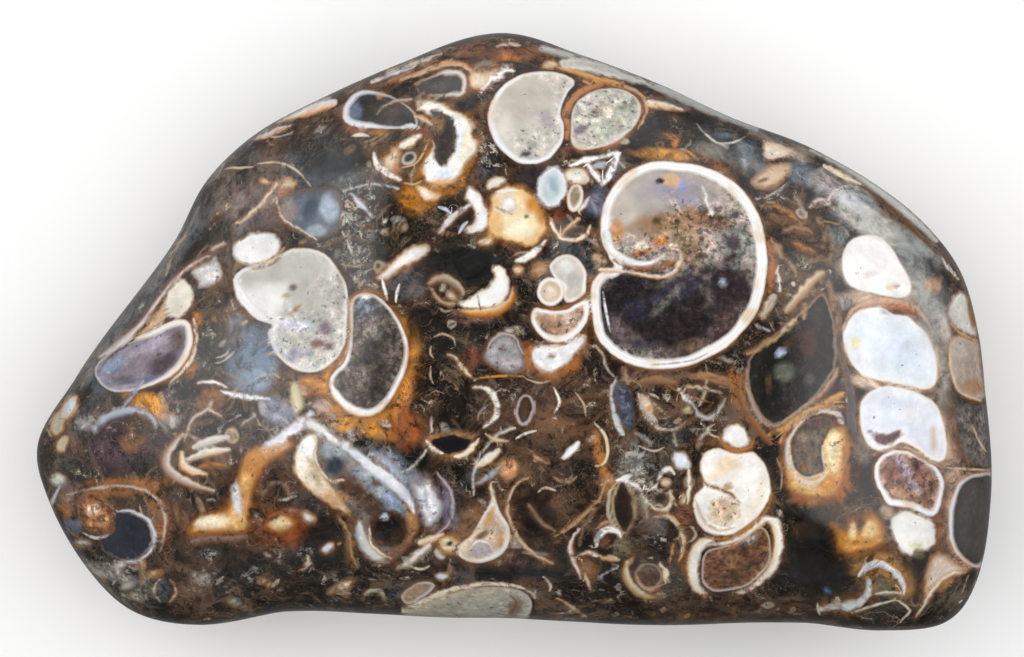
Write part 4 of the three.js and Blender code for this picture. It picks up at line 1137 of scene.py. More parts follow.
chamber([8.65, -1.4, 8.8, -0.8, 9.3, -0.3, 10, 0.2, 10.8, 0.9, 11.4, 1.4, 11.75, 0.6, 11.85, -0.3,
    11.85, -1.2, 11.5, -1.9, 11, -2.5, 10.4, -3, 9.9, -3.35, 9.5, -3.4, 9.1, -3.05, 8.8, -2.5,
    8.65, -2], "#1f1d1a", rim="#2a2723", shell="#8f867a", wall=0.05, grain=0.5, ragged=0.03,
    stained=("#5c4636", 0.1, 0.8), washes=[(9.85, -0.72, 0.24, 0.14, 30, "#b4c4da", 1),
    (9.95, -1.45, 0.4, 0.35, 0, "#66675a", 0.9), (10.9, -0.4, 0.3, 0.5, 0, "#54301c", 0.6),
    (11.2, 0.6, 0.3, 0.6, 0, "#302c26", 0.8), (9.4, -1.9, 0.12, 0.5, 0, "#4c3a2a", 0.8),
    (10.9, -1.7, 0.2, 0.2, 0, "#4f5450", 0.6), (10.2, -0.4, 0.5, 0.15, 40, "#4c3424", 0.6)])
ribbon([8.62, -1.3, 8.6, -1.9, 8.78, -2.5, 9.1, -3.1, 9.5, -3.42, 9.85, -3.38],
    [0.06, 0.12, 0.14, 0.16, 0.16, 0.08], ["#b58c62", "#d2d2cf", "#8c9298"])
ribbon([9.8, -3.4, 10.3, -3.05, 10.9, -2.62, 11.4, -2.2, 11.8, -1.7, 11.97, -1.25],
    [0.1, 0.12, 0.14, 0.16, 0.2, 0.08], ["#c9a67c", "#d6cfc2", "#6a5a50"])
ribbon([9.4, -3.75, 10.1, -3.45, 10.8, -3, 11.5, -2.6, 12.15, -2.25], [0.1, 0.2, 0.2, 0.22, 0.2],
    ["#c99b62", "#e2cfae", "#b9803c"])
ribbon([8.35, -1.5, 8.3, -2.2, 8.65, -3, 9.2, -3.75, 9.5, -4.1], [0.08, 0.22, 0.2, 0.22, 0.1],
    ["#8f6a4a", "#b9743a", "#7a4420"])
for line, width, colors in (
    ([10.05, 0.75, 10.6, 1.4, 11.1, 1.95, 11.45, 2.2], 0.36, ["#e0d4bc", "#b9966c", "#8a6240"]),
    ([9.9, 0, 10.15, 0.2, 10.4, 0.48], 0.24, ["#d9c4a0", "#a5805a"]),
    ([10.65, 0.5, 10.72, 0.8, 10.78, 1.05], 0.2, ["#b98a66"]),
    ([9.15, 0.55, 9.4, 0.95, 9.6, 1.4], 0.3, ["#d9ccb4", "#a59c8c", "#cdbfa8"]),
    ([9.52, 1.5, 9.55, 2.2, 9.5, 2.9, 9.4, 3.3], 0.26, ["#b5672c", "#cf9058", "#8a5a38"]),
    ([9.82, 1.5, 9.78, 1.9, 9.72, 2.4], 0.1, ["#efe9e0"]),
    ([11.6, 1.9, 11.75, 1.3, 11.8, 0.8], 0.12, ["#8f7058"]),
):
    ribbon(line, [0.7 * width, width, 0.6 * width], colors, ragged=0.05)
flake(oval(9.72, 3.1, 0.22, 0.16, 20), "#a5886c", rim="#6a5240", stained=None, layer="linings")
frosted((11.1, 0.6, 0.4, 0.5, 0, 0.5), (10.1, -1.4, 0.5, 0.4, 0, 0.5))
tell("Under the great whorl, and the black chamber to its right")

# %% [markdown]
# ## The right column
#
# Three pale chambers, a brown one and a cream one stand in a row, probably the turns of one tall
# snail. A tube on a cone would give a tidier row than this worn and crushed one, so each chamber
# is drawn for itself.

# %% Right column: three pale chambers, a brown one and a cream one
stain_and_sheen((14, 3.1, 2, 0.6, -50, "#92938c", 0.9), (15.1, 0.9, 0.5, 1.1, 8, "#8c8c86", 0.85),
    (12.6, 4.9, 0.9, 0.4, -35, "#a3a6a6", 0.85))
quiet((14, 3.1, 2, 0.7, -50, 0.8), (15.1, 0.9, 0.5, 1.2, 8, 0.8))
stain_and_sheen((15.3, 1.2, 0.45, 1.6, 20, "#85847f", 0.95), (15.85, -0.9, 0.25, 1.6, 0, "#a39c92", 0.9),
    (15.5, 1.75, 0.35, 0.3, -40, "#b08a70", 0.9), (15.3, 3, 0.9, 0.3, -45, "#7c7f7c", 0.9),
    (13.3, 1.2, 1.5, 0.3, -3, "#c0a48e", 0.95), (12.2, 1.1, 0.3, 0.3, 0, "#a39e96", 0.9),
    (13.9, -1.9, 1.7, 0.3, -6, "#c9b09a", 0.95), (12, 0, 0.16, 1.2, 0, "#7a6456", 0.9),
    (12, 3, 0.2, 0.9, 0, "#6f6a64", 0.8), (12.8, -4.3, 0.3, 0.6, 15, "#8f8274", 0.8),
    (14.5, -4.4, 1.5, 0.3, -22, "#b9987e", 0.9), (16, -4.6, 0.35, 1.4, 12, "#a58a74", 0.9),
    (13.75, -6.6, 0.3, 0.25, 0, "#9c8c76", 0.9), (15.7, -6.8, 0.14, 1, 0, "#94603c", 0.95),
    (15, -3, 1.4, 1.2, 0, "#7c6c60", 0.5))
# Painted reflection: grey veils over the right column stand in for the soft sheen of light on the right
# facet.
veil_and_sheen((14.7, 2.9, 1, 0.4, -55, "#93979a", 0.5), (15.2, 0.2, 0.3, 0.9, 20, "#9a9d9c", 0.4),
    (16, 1.2, 0.3, 1, 25, "#8f8e8a", 0.4))
quiet((13.4, 1.2, 1.6, 0.3, -3, 0.9), (13.9, -1.9, 1.8, 0.3, -6, 0.9), (14.4, -4.5, 1.7, 0.3, -20, 0.9),
    (15.4, 1, 0.6, 2, 20, 0.85), (15.9, -2.2, 0.3, 2.6, 4, 0.85), (12.3, -0.2, 0.5, 1.6, 0, 0.8),
    (12.8, -3.5, 0.4, 1.6, 8, 0.7), (15.8, -6.6, 0.3, 1.5, 0, 0.85), (14.2, -6.5, 1.2, 0.3, -8, 0.8),
    (15.4, 3.2, 1.4, 0.5, -48, 0.7))
flake([12.1, 2.5, 12.15, 2.9, 12.35, 3.3, 12.75, 3.55, 13.4, 3.55, 13.9, 3.15, 14.3, 2.5, 14.6, 1.95,
    14.65, 1.5, 14.4, 1.3, 13.9, 1.3, 13.2, 1.45, 12.5, 1.65, 12.2, 2], "#f2efed", rim="#ebe7e2",
    grain=0.06, ragged=0.015, stained=("#8f867e", 0.08, 0.8),
    washes=[(13.15, 2.15, 0.28, 0.14, 10, "#d6ceca", 0.8), (13.85, 1.68, 0.16, 0.12, 0, "#e3c8ae", 0.9),
    (14.2, 1.75, 0.1, 0.08, 0, "#8a6a50", 1), (13.3, 2.9, 0.5, 0.3, 0, "#e9e6e6", 0.6)])
ribbon([12.15, 0.1, 12.45, 0.75, 13, 1.08, 13.7, 1.18, 14.5, 1.02, 15.05, 0.65, 15.4, 0.1],
    [0.1, 0.16, 0.2, 0.22, 0.24, 0.16, 0.06], ["#c9a890", "#d6b8a0", "#b98a70"])
ribbon([13.6, 0.95, 14.2, 0.93, 14.85, 0.72], [0.08, 0.24, 0.14], ["#c07850", "#9a5c3c"], ragged=0.05)
flake(oval(14.8, 0.88, 0.16, 0.1, 20), "#e9dcbc", stained=None, layer="linings")
chamber([12.15, -0.1, 12.2, 0.2, 12.45, 0.6, 12.8, 0.85, 13.3, 0.95, 13.65, 0.88, 14, 0.66, 14.5, 0.6,
    14.9, 0.3, 15.2, 0, 15.45, -0.5, 15.6, -1.1, 15.6, -1.7, 15.45, -2, 15, -2.1, 14.4, -1.95,
    13.9, -1.85, 13.4, -1.75, 12.9, -1.6, 12.5, -1.2, 12.25, -0.7], "#e2e8f0", rim="#e9edf2",
    shell="#f3ede4", wall=0.07, grain=0.07, stained=("#b59a84", 0.09, 0.9),
    washes=[(12.62, -0.42, 0.18, 0.26, 20, "#e0d49c", 0.95),
    (13.8, 0.75, 0.3, 0.1, -10, "#a58f86", 0.8), (14.2, -0.8, 0.9, 0.5, -20, "#d3deea", 0.8),
    (13, -1, 0.2, 0.6, 25, "#f1f2f4", 0.8)])
ribbon([13.45, -1.8, 13.9, -1.86, 14.35, -1.98], [0.06, 0.13, 0.06], ["#c9a67c"])
chamber([12.75, -3, 12.8, -2.6, 13.1, -2.2, 13.6, -2, 14.2, -2, 14.8, -2.15, 15.4, -2.5, 15.75, -3,
    15.9, -3.6, 15.95, -4.2, 15.85, -4.65, 15.6, -4.75, 15.2, -4.55, 14.8, -4.25, 14.3, -4.05,
    13.9, -4.25, 13.5, -4.35, 13.1, -4.15, 12.85, -3.7], "#e1e5ef", rim="#e6e8ee", shell="#f3efe8",
    wall=0.09, grain=0.07, stained=("#a58c74", 0.09, 0.9),
    washes=[(13.9, -2.6, 0.4, 0.25, 0, "#cdd4e2", 0.8), (15.5, -3.9, 0.12, 0.5, 0, "#cfae90", 0.8),
    (14.7, -3.1, 0.5, 0.3, 0, "#e9ebf0", 0.8), (14.1, -3.75, 0.3, 0.12, 0, "#c98a5c", 0.9)])
flake([13.05, -3.6, 13.45, -3.68, 13.85, -3.72, 14.25, -3.58, 14.15, -3.85, 13.85, -4.12, 13.4, -4.1,
    13.25, -3.85], "#5c4044", rim="#8a6260", grain=0.6, fade=0.15, ragged=0.04, stained=None,
    layer="linings")
ribbon([13.2, -4.5, 13.8, -4.27, 14.5, -4.25, 15.1, -4.6, 15.7, -4.95], [0.08, 0.12, 0.12, 0.16, 0.08],
    ["#cdb094", "#8a5c3c"])
flake(oval(14.92, -4.45, 0.14, 0.1, -20), "#f3ead8", stained=None, layer="linings")
chamber([13.3, -5.1, 13.35, -4.8, 13.6, -4.5, 14, -4.35, 14.5, -4.35, 15, -4.55, 15.5, -4.9, 15.8, -5.3,
    15.85, -5.7, 15.75, -6.2, 15.6, -6.65, 15.4, -6.75, 15.1, -6.7, 14.7, -6.5, 14.2, -6.4, 13.8, -6.3,
    13.55, -5.9, 13.35, -5.5], "#8a6656", rim="#b08c78", wall=0.17, fade=0.2, grain=0.75,
    lean=(-100, 0.4), stained=("#6a4430", 0.1, 0.9),
    washes=[(14.35, -4.95, 0.45, 0.2, -60, "#b3a9b4", 0.9),
    (14.75, -5.65, 0.35, 0.18, -50, "#a3989f", 0.9), (14.87, -4.9, 0.09, 0.25, 10, "#43262a", 1),
    (15.4, -5.65, 0.16, 0.22, -20, "#542e26", 0.95), (13.75, -5.75, 0.15, 0.12, 0, "#5c3626", 0.9),
    (14, -5.1, 0.3, 0.3, 0, "#8a4e38", 0.8), (14.3, -5.95, 0.6, 0.2, -10, "#b58e74", 0.8)])
flake([13.9, -7, 14, -6.75, 14.3, -6.6, 14.6, -6.55, 15, -6.7, 15.4, -6.95, 15.5, -7.2, 15.5, -7.7,
    15.2, -8, 14.9, -7.95, 14.65, -8.15, 14.4, -8.1, 14.1, -7.75, 13.92, -7.35], "#f0eeea",
    rim="#dcdcd6", grain=0.1, washes=[(14.85, -7.85, 0.22, 0.14, 0, "#d2cfa0", 0.9)])
stain_and_sheen((14.95, -8.2, 0.25, 0.15, 0, "#7c7858", 0.6), (14.9, -9, 0.5, 0.8, 0, "#1f1b18", 0.9))
ribbon([13.95, -6.6, 14.4, -6.48, 14.9, -6.6, 15.4, -6.85], [0.06, 0.1, 0.1, 0.05], ["#8a6a4c"])
ribbon([12.06, 0.8, 12, 0, 12.08, -0.8, 12.32, -1.7, 12.45, -2.5, 12.45, -3.3, 12.65, -4.1],
    [0.06, 0.1, 0.12, 0.2, 0.3, 0.3, 0.12], ["#5c5254", "#46464c"], ragged=0.03)
tell("Right column")

# %% [markdown]
# ## The right edge
#
# Fossils at the blunt end run over the bevel. The dark chamber at the lower corner is carried 0.4 mm
# past the stone's outline, so that the stone ends it and no gap shows.

# %% Right edge
ribbon([15.75, 2.75, 16.05, 2.35, 16.4, 1.95], [0.05, 0.14, 0.06], ["#f1efec"])
ribbon([15.1, 3.45, 15.8, 2.85, 16.3, 2.2, 16.6, 1.7], [0.08, 0.14, 0.12, 0.06], ["#2c2826"])
flake([16, 0.7, 16.15, 1.25, 16.4, 1.5, 16.65, 1.4, 16.8, 0.9, 16.95, 0.3, 17.05, -0.15, 16.6, 0.02,
    16.25, 0.25], "#d2d0c8", rim="#c2b8a8", grain=0.2, fade=0.15,
    washes=[(16.85, 0.6, 0.12, 0.6, 10, "#a5662c", 0.9)])
ribbon([16.05, 0.35, 16.45, -0.02, 17.05, -0.32], [0.06, 0.1, 0.14], ["#d9b890", "#a5703c"])
flake([16.05, -0.6, 16.1, -0.3, 16.4, -0.1, 16.8, -0.25, 17.1, -0.45, 17.25, -1.5, 17.35, -2.35,
    16.8, -2.4, 16.4, -2.1, 16.12, -1.5], "#a6978a", rim="#b9a690", grain=0.25, fade=0.2,
    washes=[(16.9, -2, 0.4, 0.3, 0, "#9a6e44", 0.8), (16.5, -0.6, 0.3, 0.3, 0, "#b5aa9e", 0.8)])
ribbon([16.1, -0.25, 16.06, -1, 16.2, -1.7, 16.5, -2.25, 17.2, -2.5], [0.08, 0.12, 0.12, 0.1, 0.08],
    ["#e6dac6", "#b08a60"])
flake([16.25, -2.95, 16.5, -2.65, 17, -2.7, 17.45, -2.75, 17.55, -4.4, 17.5, -4.95, 16.9, -4.8,
    16.5, -4.3, 16.4, -3.6], "#675f5a", rim="#544b46", grain=0.9, stained=None)
ribbon([16.05, -2.6, 16.2, -3.4, 16.35, -4.2, 16.7, -4.85], [0.2, 0.34, 0.34, 0.1],
    ["#b59e88", "#a08a78"], "crumbs")
slivers(0.09, "#c2a68a", [15.85, -4.95, 16.5, -5, 17.5, -5.05], [16.9, -3.4, 17.1, -3.9, 17.4, -4.4])
chamber([16.02, -7, 16.05, -6.5, 16.15, -6.1, 16.35, -5.6, 16.7, -5.3, 17.1, -5.2, 17.7, -5.25,
    17.8, -6.5, 17.7, -7.5, 17.4, -8.3, 17.1, -8.62, 16.7, -8.5, 16.3, -8.1, 16.08, -7.6], "#45423d",
    rim="#383530", shell="#d9c8bc", wall=0.1, lean=(180, 0.6), grain=0.2, stained=("#a08068", 0.12,
    0.9))
ribbon([15.8, -5.9, 15.7, -6.9, 15.78, -7.7, 16.1, -8.25, 16.6, -8.62], [0.08, 0.2, 0.22, 0.2, 0.06],
    ["#8a5430", "#b98a66"], "crumbs", ragged=0.04)
flake([15.3, -8.4, 15.6, -8.1, 16, -8.2, 16.4, -8.5, 16.8, -8.7, 16.3, -8.9, 15.8, -9.2, 15.5, -9.5,
    15.2, -9.95, 15.12, -9.3], "#d9c8b6", rim="#a57a50", fade=0.3, grain=0.2, ragged=0.05)
ribbon([16.65, -8.78, 16.1, -8.85, 15.7, -9.1, 15.4, -9.5, 15.1, -10, 14.8, -10.45],
    [0.06, 0.12, 0.14, 0.12, 0.1, 0.05], ["#efe6d6", "#c2a888"])
stain_and_sheen((16.2, -9.7, 0.8, 0.5, 40, "#4f463a", 0.95), (15.9, -9.3, 0.35, 0.12, 40, "#9a6c44", 0.9))
tell("Right edge")

# %% [markdown]
# ## Left of the column
#
# A broken brown chamber, a honey-coloured piece and an arch of white shell. Honey agate has no
# crisp edge: its flakes are ragged, and a wide dark stain lets them sink into the mud.

# %% Right column's left side: broken brown chamber, honey piece, arch
stain_and_sheen((11.5, -4.7, 1.3, 1.7, 0, "#2a1d14", 0.9), (11.7, -5.4, 0.9, 0.8, 20, "#8e5420", 0.9),
    (10.4, -5.5, 0.5, 0.5, 0, "#8e5420", 0.8), (11, -6.1, 0.8, 0.3, 0, "#7a4418", 0.9),
    (12.3, -7.1, 1.1, 0.8, 10, "#4a2c14", 0.9), (13.1, -8.2, 0.8, 0.25, 0, "#6e5038", 0.9),
    (11.2, -8.1, 1.2, 1.6, 0, "#191714", 0.95), (11.9, -9.4, 0.9, 0.4, 0, "#1c1a18", 0.9),
    (11.55, -9.55, 0.14, 0.12, 0, "#4a6a8a", 0.9), (13.5, -9.4, 0.6, 0.4, 0, "#66644f", 0.9),
    (13.6, -10.2, 0.9, 0.2, 5, "#3a352e", 0.9), (12.6, -8.9, 0.4, 0.6, 0, "#2a201a", 0.8))
quiet((11.3, -8.3, 1.4, 1.8, 0, 1), (14.9, -9, 0.5, 0.8, 0, 0.9), (16.9, -7, 0.6, 1.5, 0, 1),
    (12.9, -5.4, 0.3, 0.9, 0, 0.7))
flake([11.35, -3.7, 11.8, -3.45, 12.25, -3.5, 12.45, -4.2, 12.3, -4.9, 12.15, -5.5, 11.9, -5.95,
    11.3, -6.1, 10.6, -5.95, 10.1, -5.6, 9.9, -5, 9.95, -4.2, 10.2, -3.7], "#dbb478", rim="#a5662c",
    fade=0.4, grain=0.45, ragged=0.12, stained=None,
    washes=[(11.75, -4.4, 0.25, 0.7, 0, "#efdcb0", 0.95), (11.6, -5.5, 0.4, 0.35, 20, "#c07c2c", 0.9),
    (10.6, -5.75, 0.5, 0.2, -20, "#d2a868", 0.8), (12.2, -4.3, 0.14, 0.5, 0, "#9a642c", 0.8)])
chamber([10.15, -4.5, 10.2, -4, 10.45, -3.55, 10.9, -3.2, 11.5, -3.1, 11.75, -3.3, 11.6, -3.7,
    11.4, -4.2, 11.45, -4.8, 11.5, -5.1, 11.2, -5.25, 10.8, -5.35, 10.45, -5.15, 10.25, -4.85],
    "#655648", rim="#4a3a30", wall=0.02, fade=0.2, grain=0.7, stained=None,
    washes=[(11.2, -3.35, 0.5, 0.2, 10, "#472c24", 0.9), (10.7, -4.9, 0.14, 0.16, 0, "#7a4c1c", 0.9)],
    layer="linings")
ribbon([12.1, -3.3, 11.9, -2.98, 11.4, -2.92, 10.8, -3.12, 10.35, -3.6, 10.12, -4.15, 10.16, -4.7,
    10.4, -5.25, 10.85, -5.5, 11.3, -5.42, 11.55, -5.15], [0.24, 0.16, 0.08, 0.08, 0.1, 0.14,
    0.24, 0.24, 0.22, 0.2, 0.06], ["#e0c294", "#f3f1ec", "#b9c6d6"])
ribbon([9.85, -4.1, 10.05, -3.6, 10.5, -3.1, 11.1, -2.8, 12.15, -2.72], [0.1, 0.18, 0.2, 0.16, 0.1],
    ["#c9a67c", "#a5662c"])
flake([11.75, -7, 11.9, -7.6, 12, -8, 12.4, -8.2, 12.8, -8.1, 13.3, -8, 13.7, -7.7, 13.7, -7.2,
    13.5, -6.8, 13.2, -6.6, 12.95, -6.75, 12.85, -7.15, 12.7, -7.2, 12.6, -6.85, 12.4, -6.85,
    12.3, -7.2, 12.1, -7.2], "#c08a48", rim="#8a5420", fade=0.3, grain=0.4, ragged=0.1,
    stained=("#4a2c14", 0.2, 0.8), washes=[(12.5, -7.3, 0.14, 0.35, 0, "#eacb94", 0.95),
    (13.1, -7.25, 0.25, 0.3, 0, "#e0bd84", 0.9), (12.1, -7.6, 0.2, 0.3, 0, "#b07830", 0.8),
    (12.6, -7.7, 0.12, 0.1, 0, "#94601c", 0.9)])
ribbon([12.75, -8.95, 12.95, -8.7, 13.3, -8.5, 13.7, -8.55, 14.1, -8.88, 14.35, -9.25, 14.38, -9.6],
    [0.2, 0.26, 0.26, 0.22, 0.22, 0.2, 0.1], ["#efe6d8", "#eceef0", "#a9bccc"], glow=("#a5763c", 0.25,
    0.85))
ribbon([13.05, -9, 13.1, -9.45, 12.9, -9.8, 12.5, -10, 11.9, -10.05, 11.3, -10.15],
    [0.12, 0.22, 0.26, 0.3, 0.14, 0.14], ["#dfe4e6", "#c6c9c2"], ragged=0.05, glow=("#8a6034", 0.2,
    0.7))
slivers(0.09, "#cfcab6", [11.2, -9.92, 11.22, -10.15, 11.3, -10.4],
    [12.4, -10.32, 13.3, -10.02, 14.1, -9.82], [14.1, -9.8, 14.6, -10.2, 14.35, -10.5, 14.2, -10.7],
    [13.3, -9.6, 13.9, -9.52, 14.3, -9.6])
tell("Right column's left side")

# %% [markdown]
# ## The lower left
#
# A blue-black chamber inside a thin arch, and a stack of shells that the cut meets almost along
# their walls. The bands of the stack change colour from side to side, as a wall does that dips
# under the polish.

# %% Lower left
stain_and_sheen((-14.7, -5.7, 1.9, 0.35, 4, "#9a5c28", 0.85), (-12.9, -7, 0.35, 1.3, 10, "#8f5a34", 0.85),
    (-15.2, -6.7, 0.8, 0.6, -20, "#7a4a28", 0.9), (-16.35, -6.4, 0.25, 0.5, 15, "#a5662c", 0.9),
    (-16.1, -7.1, 0.4, 0.35, 0, "#4a5666", 0.9), (-12.3, -6.8, 0.6, 0.9, 0, "#4e3628", 0.9),
    (-12.95, -9.45, 0.3, 0.55, 0, "#4a545c", 0.95), (-11.7, -9.8, 0.8, 0.8, 0, "#5e4638", 0.9),
    (-14.6, -9.4, 1.6, 0.9, -20, "#57564e", 0.85), (-10.3, -9.3, 1, 1.2, 0, "#23211f", 0.9),
    (-9, -8.6, 1.2, 0.6, 0, "#292623", 0.9), (-13.3, -4.9, 1, 0.4, 0, "#34302c", 0.8))
veil_and_sheen((-16.4, -5.9, 0.6, 0.5, 30, "#8d8a86", 0.35), (-14.9, -8.8, 1.2, 0.3, -20, "#b5b2a8", 0.3),
    (-11.4, -9, 0.6, 0.3, 0, "#a59c94", 0.3))
# Painted reflection: two long grey bands along the left and upper left rim stand in for the sheen of
# light on the bevel.
veil_and_sheen((-13.7, 1.25, 4.4, 0.5, 52.5, "#8a8d90", 0.5), (-9.6, 7.3, 2.4, 0.3, 28, "#84868a", 0.35))
frosted((-15.3, -6.7, 0.7, 0.6, -20, 0.9), (-14.6, -8.7, 1.3, 0.35, -15, 0.9),
    (-11.4, -9, 0.6, 0.4, 0, 0.8), (-13.9, -9.7, 0.6, 0.3, 0, 0.7))
ribbon([-16.4, -5.95, -15.3, -5.7, -14.1, -5.62, -13.15, -6, -12.75, -6.75, -12.8, -7.5, -12.95, -8.1],
    [0.06, 0.1, 0.12, 0.12, 0.14, 0.12, 0.05], ["#a87848", "#d9cfc6", "#c9c6c4"])
chamber([-14.55, -6.55, -14, -6.65, -13.5, -6.9, -13.25, -7.35, -13.3, -7.9, -13.8, -8.3, -14.4, -8.3,
    -15, -8, -15.1, -7.6, -14.7, -7.3], "#1f2430", rim="#2a2c34", shell="#5c6068", wall=0.02, grain=0.4,
    ragged=0.05, stained=None)
ribbon([-14.6, -6.55, -13.95, -6.6, -13.42, -6.9, -13.18, -7.4, -13.25, -7.95, -13.85, -8.4,
    -14.5, -8.4], [0.05, 0.12, 0.14, 0.14, 0.12, 0.1, 0.04], ["#e4e0dc", "#a5b4c4"])
flake([-15.9, -6.15, -15.2, -6.05, -14.75, -6.5, -14.7, -7.2, -15.3, -7.4, -15.8, -7.1], "#a8744a",
    rim="#6e4426", grain=1, fade=0.3, ragged=0.08, stained=None,
    washes=[(-15.4, -6.5, 0.2, 0.14, 20, "#e6d4b8", 0.9), (-15, -6.9, 0.16, 0.14, 0, "#d9b078", 0.9)])
slivers(0.12, "#b9bdc0", [-15.8, -7.35, -15.3, -7.55, -14.75, -7.4],
    [-16.6, -5.6, -16.9, -6.2, -17, -6.8])
grains("#cdb592", (-16.3, -6.1, 0.2, 0.1, 30), (-16.35, -6.6, 0.14, 0.08, 60),
    (-13.2, -8.85, 0.35, 0.14, 10), (-13.7, -8.6, 0.2, 0.12, -20), rim="#8f6a44", grain=0.6)
grains("#d6d2c4", (-15.8, -7.72, 0.3, 0.12, -10), (-14.4, -8.55, 0.26, 0.14, 10),
    (-15.2, -8.85, 0.3, 0.1, -25), (-13.8, -9.7, 0.34, 0.12, -15), (-14.15, -9.3, 0.3, 0.14, 20),
    (-11.4, -9.02, 0.34, 0.12, 15), (-16.7, -5.4, 0.3, 0.26, 0), rim="#8f8f84", grain=0.7)
for line, width, colors in (
    ([-12.1, -3.7, -12.6, -4.3, -12.75, -4.8, -12.45, -5.25, -11.7, -5.6, -10.95, -5.85], 0.32,
        ["#e6dace", "#b9a294", "#7c5f50"]),
    ([-12.15, -4.35, -12.1, -4.85, -11.7, -5.1, -11.2, -5.2], 0.3, ["#efe4cf", "#cda87c"]),
    ([-11.95, -4.7, -11.2, -4.42, -10.35, -4.3], 0.32, ["#f0efec", "#d9c8b4", "#8a6446"]),
    ([-11.75, -4.25, -11.1, -3.98, -10.4, -3.85], 0.3, ["#e9e6e2", "#b9aca0"]),
    ([-11.6, -5, -11, -4.85, -10.5, -4.95], 0.2, ["#b9803c", "#6e4426"]),
    ([-12.9, -9, -13.2, -9.4, -12.95, -9.9], 0.08, ["#b9bab0"]),
    ([-12.6, -9.05, -12.35, -9.5, -12.6, -9.95], 0.08, ["#cdb89e"]),
):
    ribbon(line, [0.4 * width, width, width, 0.3 * width], colors)
tell("Lower left")

# %% [markdown]
# ## The L-shaped piece and the long shell
#
# An L of honey agate stands beside a long shell, which is cut along its length: a white wall, a
# cream one, smoky agate between them and a dark hole. No rule gives such shapes, so they are built
# like a collage. What lies on top is drawn first, because the first shape in a layer keeps its
# place.

# %% Lower middle left: L-shaped piece, long shell and eye
stain_and_sheen((-9.4, -5.2, 1.2, 1.4, 0, "#4a3020", 0.8), (-8.5, -6.9, 1, 0.6, 0, "#5c3a20", 0.9),
    (-11.2, -7.6, 1.2, 0.8, 0, "#2c2824", 0.85), (-5.5, -5.1, 0.9, 0.9, -40, "#6f7884", 0.8),
    (-5.7, -5.9, 0.7, 0.5, -40, "#6a4a34", 0.9), (-6, -6.6, 0.5, 0.25, -30, "#9a5f2c", 0.9),
    (-4.5, -7.1, 1, 1, 0, "#3a2c2a", 0.95), (-6.5, -4.6, 0.4, 0.7, 20, "#3c4a62", 0.95),
    (-4.1, -5, 0.9, 0.3, -45, "#7c8696", 0.8), (-5.9, -7.9, 0.25, 0.9, 0, "#7a5838", 0.8),
    (-7.2, -7.6, 0.7, 1, 0, "#1f1f1e", 0.9), (-6.6, -9.5, 1.2, 0.6, 0, "#2b2723", 0.85))
stain_and_sheen((-6.8, -5.3, 0.9, 0.5, -50, "#98948e", 0.85), (-5.8, -6.2, 0.8, 0.4, -45, "#7c6450", 0.85),
    (-7.5, -4.6, 0.3, 0.7, 10, "#b9a68c", 0.7), (-4.9, -6.3, 0.4, 0.5, -40, "#6a6a74", 0.8))
quiet((-7.3, -7.7, 1, 1.1, 0, 1), (-10.7, -8.2, 1.2, 0.6, 0, 0.6), (-6.7, -5.4, 1.3, 0.6, -48, 0.75),
    (-4.6, -7.2, 1, 1, 0, 0.9))
# Painted reflection: the blue-white veils along the long shell stand in for a soft sheen of light across
# it.
veil_and_sheen((-4.5, -4.8, 1.1, 0.25, -42, "#9aa4b4", 0.5), (-5.9, -4.6, 0.4, 0.6, 30, "#b4b8c0", 0.45),
    (-3.7, -5.6, 0.4, 0.6, 10, "#8d95a4", 0.4))
frosted((-4.5, -4.8, 1.1, 0.4, -42, 0.9), (-5.7, -4.7, 0.6, 0.6, 0, 0.6),
    (-6.2, -9.3, 0.6, 0.5, 0, 0.7), (-5.6, -5.8, 0.5, 0.4, 0, 0.5))
flake([-9.98, -4.85, -9.73, -4.4, -9.1, -4.1, -8.4, -3.9, -8.1, -4.1, -8.51, -4.5, -9, -4.8, -9.3, -5.2,
    -9.5, -5.75, -9.66, -6.3, -9.75, -6.8, -9.78, -7.28, -10.6, -7.38, -11.78, -7.4, -11.8, -7.1,
    -11.57, -6.8, -10.9, -6.57, -10.51, -6.45, -10.39, -6.05, -10.2, -5.5], "#d3a263", rim="#9a6228",
    fade=0.28, grain=0.35, ragged=0.07, stained=("#6a3c1c", 0.2, 0.85),
    washes=[(-9.5, -4.75, 0.5, 0.5, 20, "#bb7a34", 0.8), (-8.7, -4.2, 0.6, 0.2, 12, "#c99c78", 0.8),
    (-10.2, -5.9, 0.2, 0.8, 12, "#dfe4ea", 0.95), (-9.8, -6.2, 0.18, 0.7, 10, "#cf9c62", 0.8),
    (-10.95, -6.95, 0.7, 0.24, 3, "#f3e4c6", 0.95), (-10.1, -6.95, 0.3, 0.3, 5, "#dfb274", 0.85)])
ribbon([-11.9, -7.72, -11.2, -7.6, -10.4, -7.58, -9.75, -7.5], [0.1, 0.22, 0.22, 0.1],
    ["#8f7a6e", "#5e463c"], grain=0.5)
flake([-9.05, -7.1, -8.9, -6.75, -8.55, -6.6, -8.15, -6.75, -7.98, -7.05, -8.3, -7.32, -8.75, -7.35],
    "#ecd6a8", rim="#a5682e", fade=0.35, grain=0.35, ragged=0.08, stained=("#7a3c1c", 0.4, 0.85),
    washes=[(-8.75, -6.8, 0.34, 0.07, 25, "#3f241a", 0.9)])
ribbon([-9.2, -5.95, -8.95, -5.6, -8.6, -5.5, -8.3, -5.7, -8.2, -6.05], [0.05, 0.1, 0.12, 0.1, 0.05],
    ["#857a72"], solid=0.7)
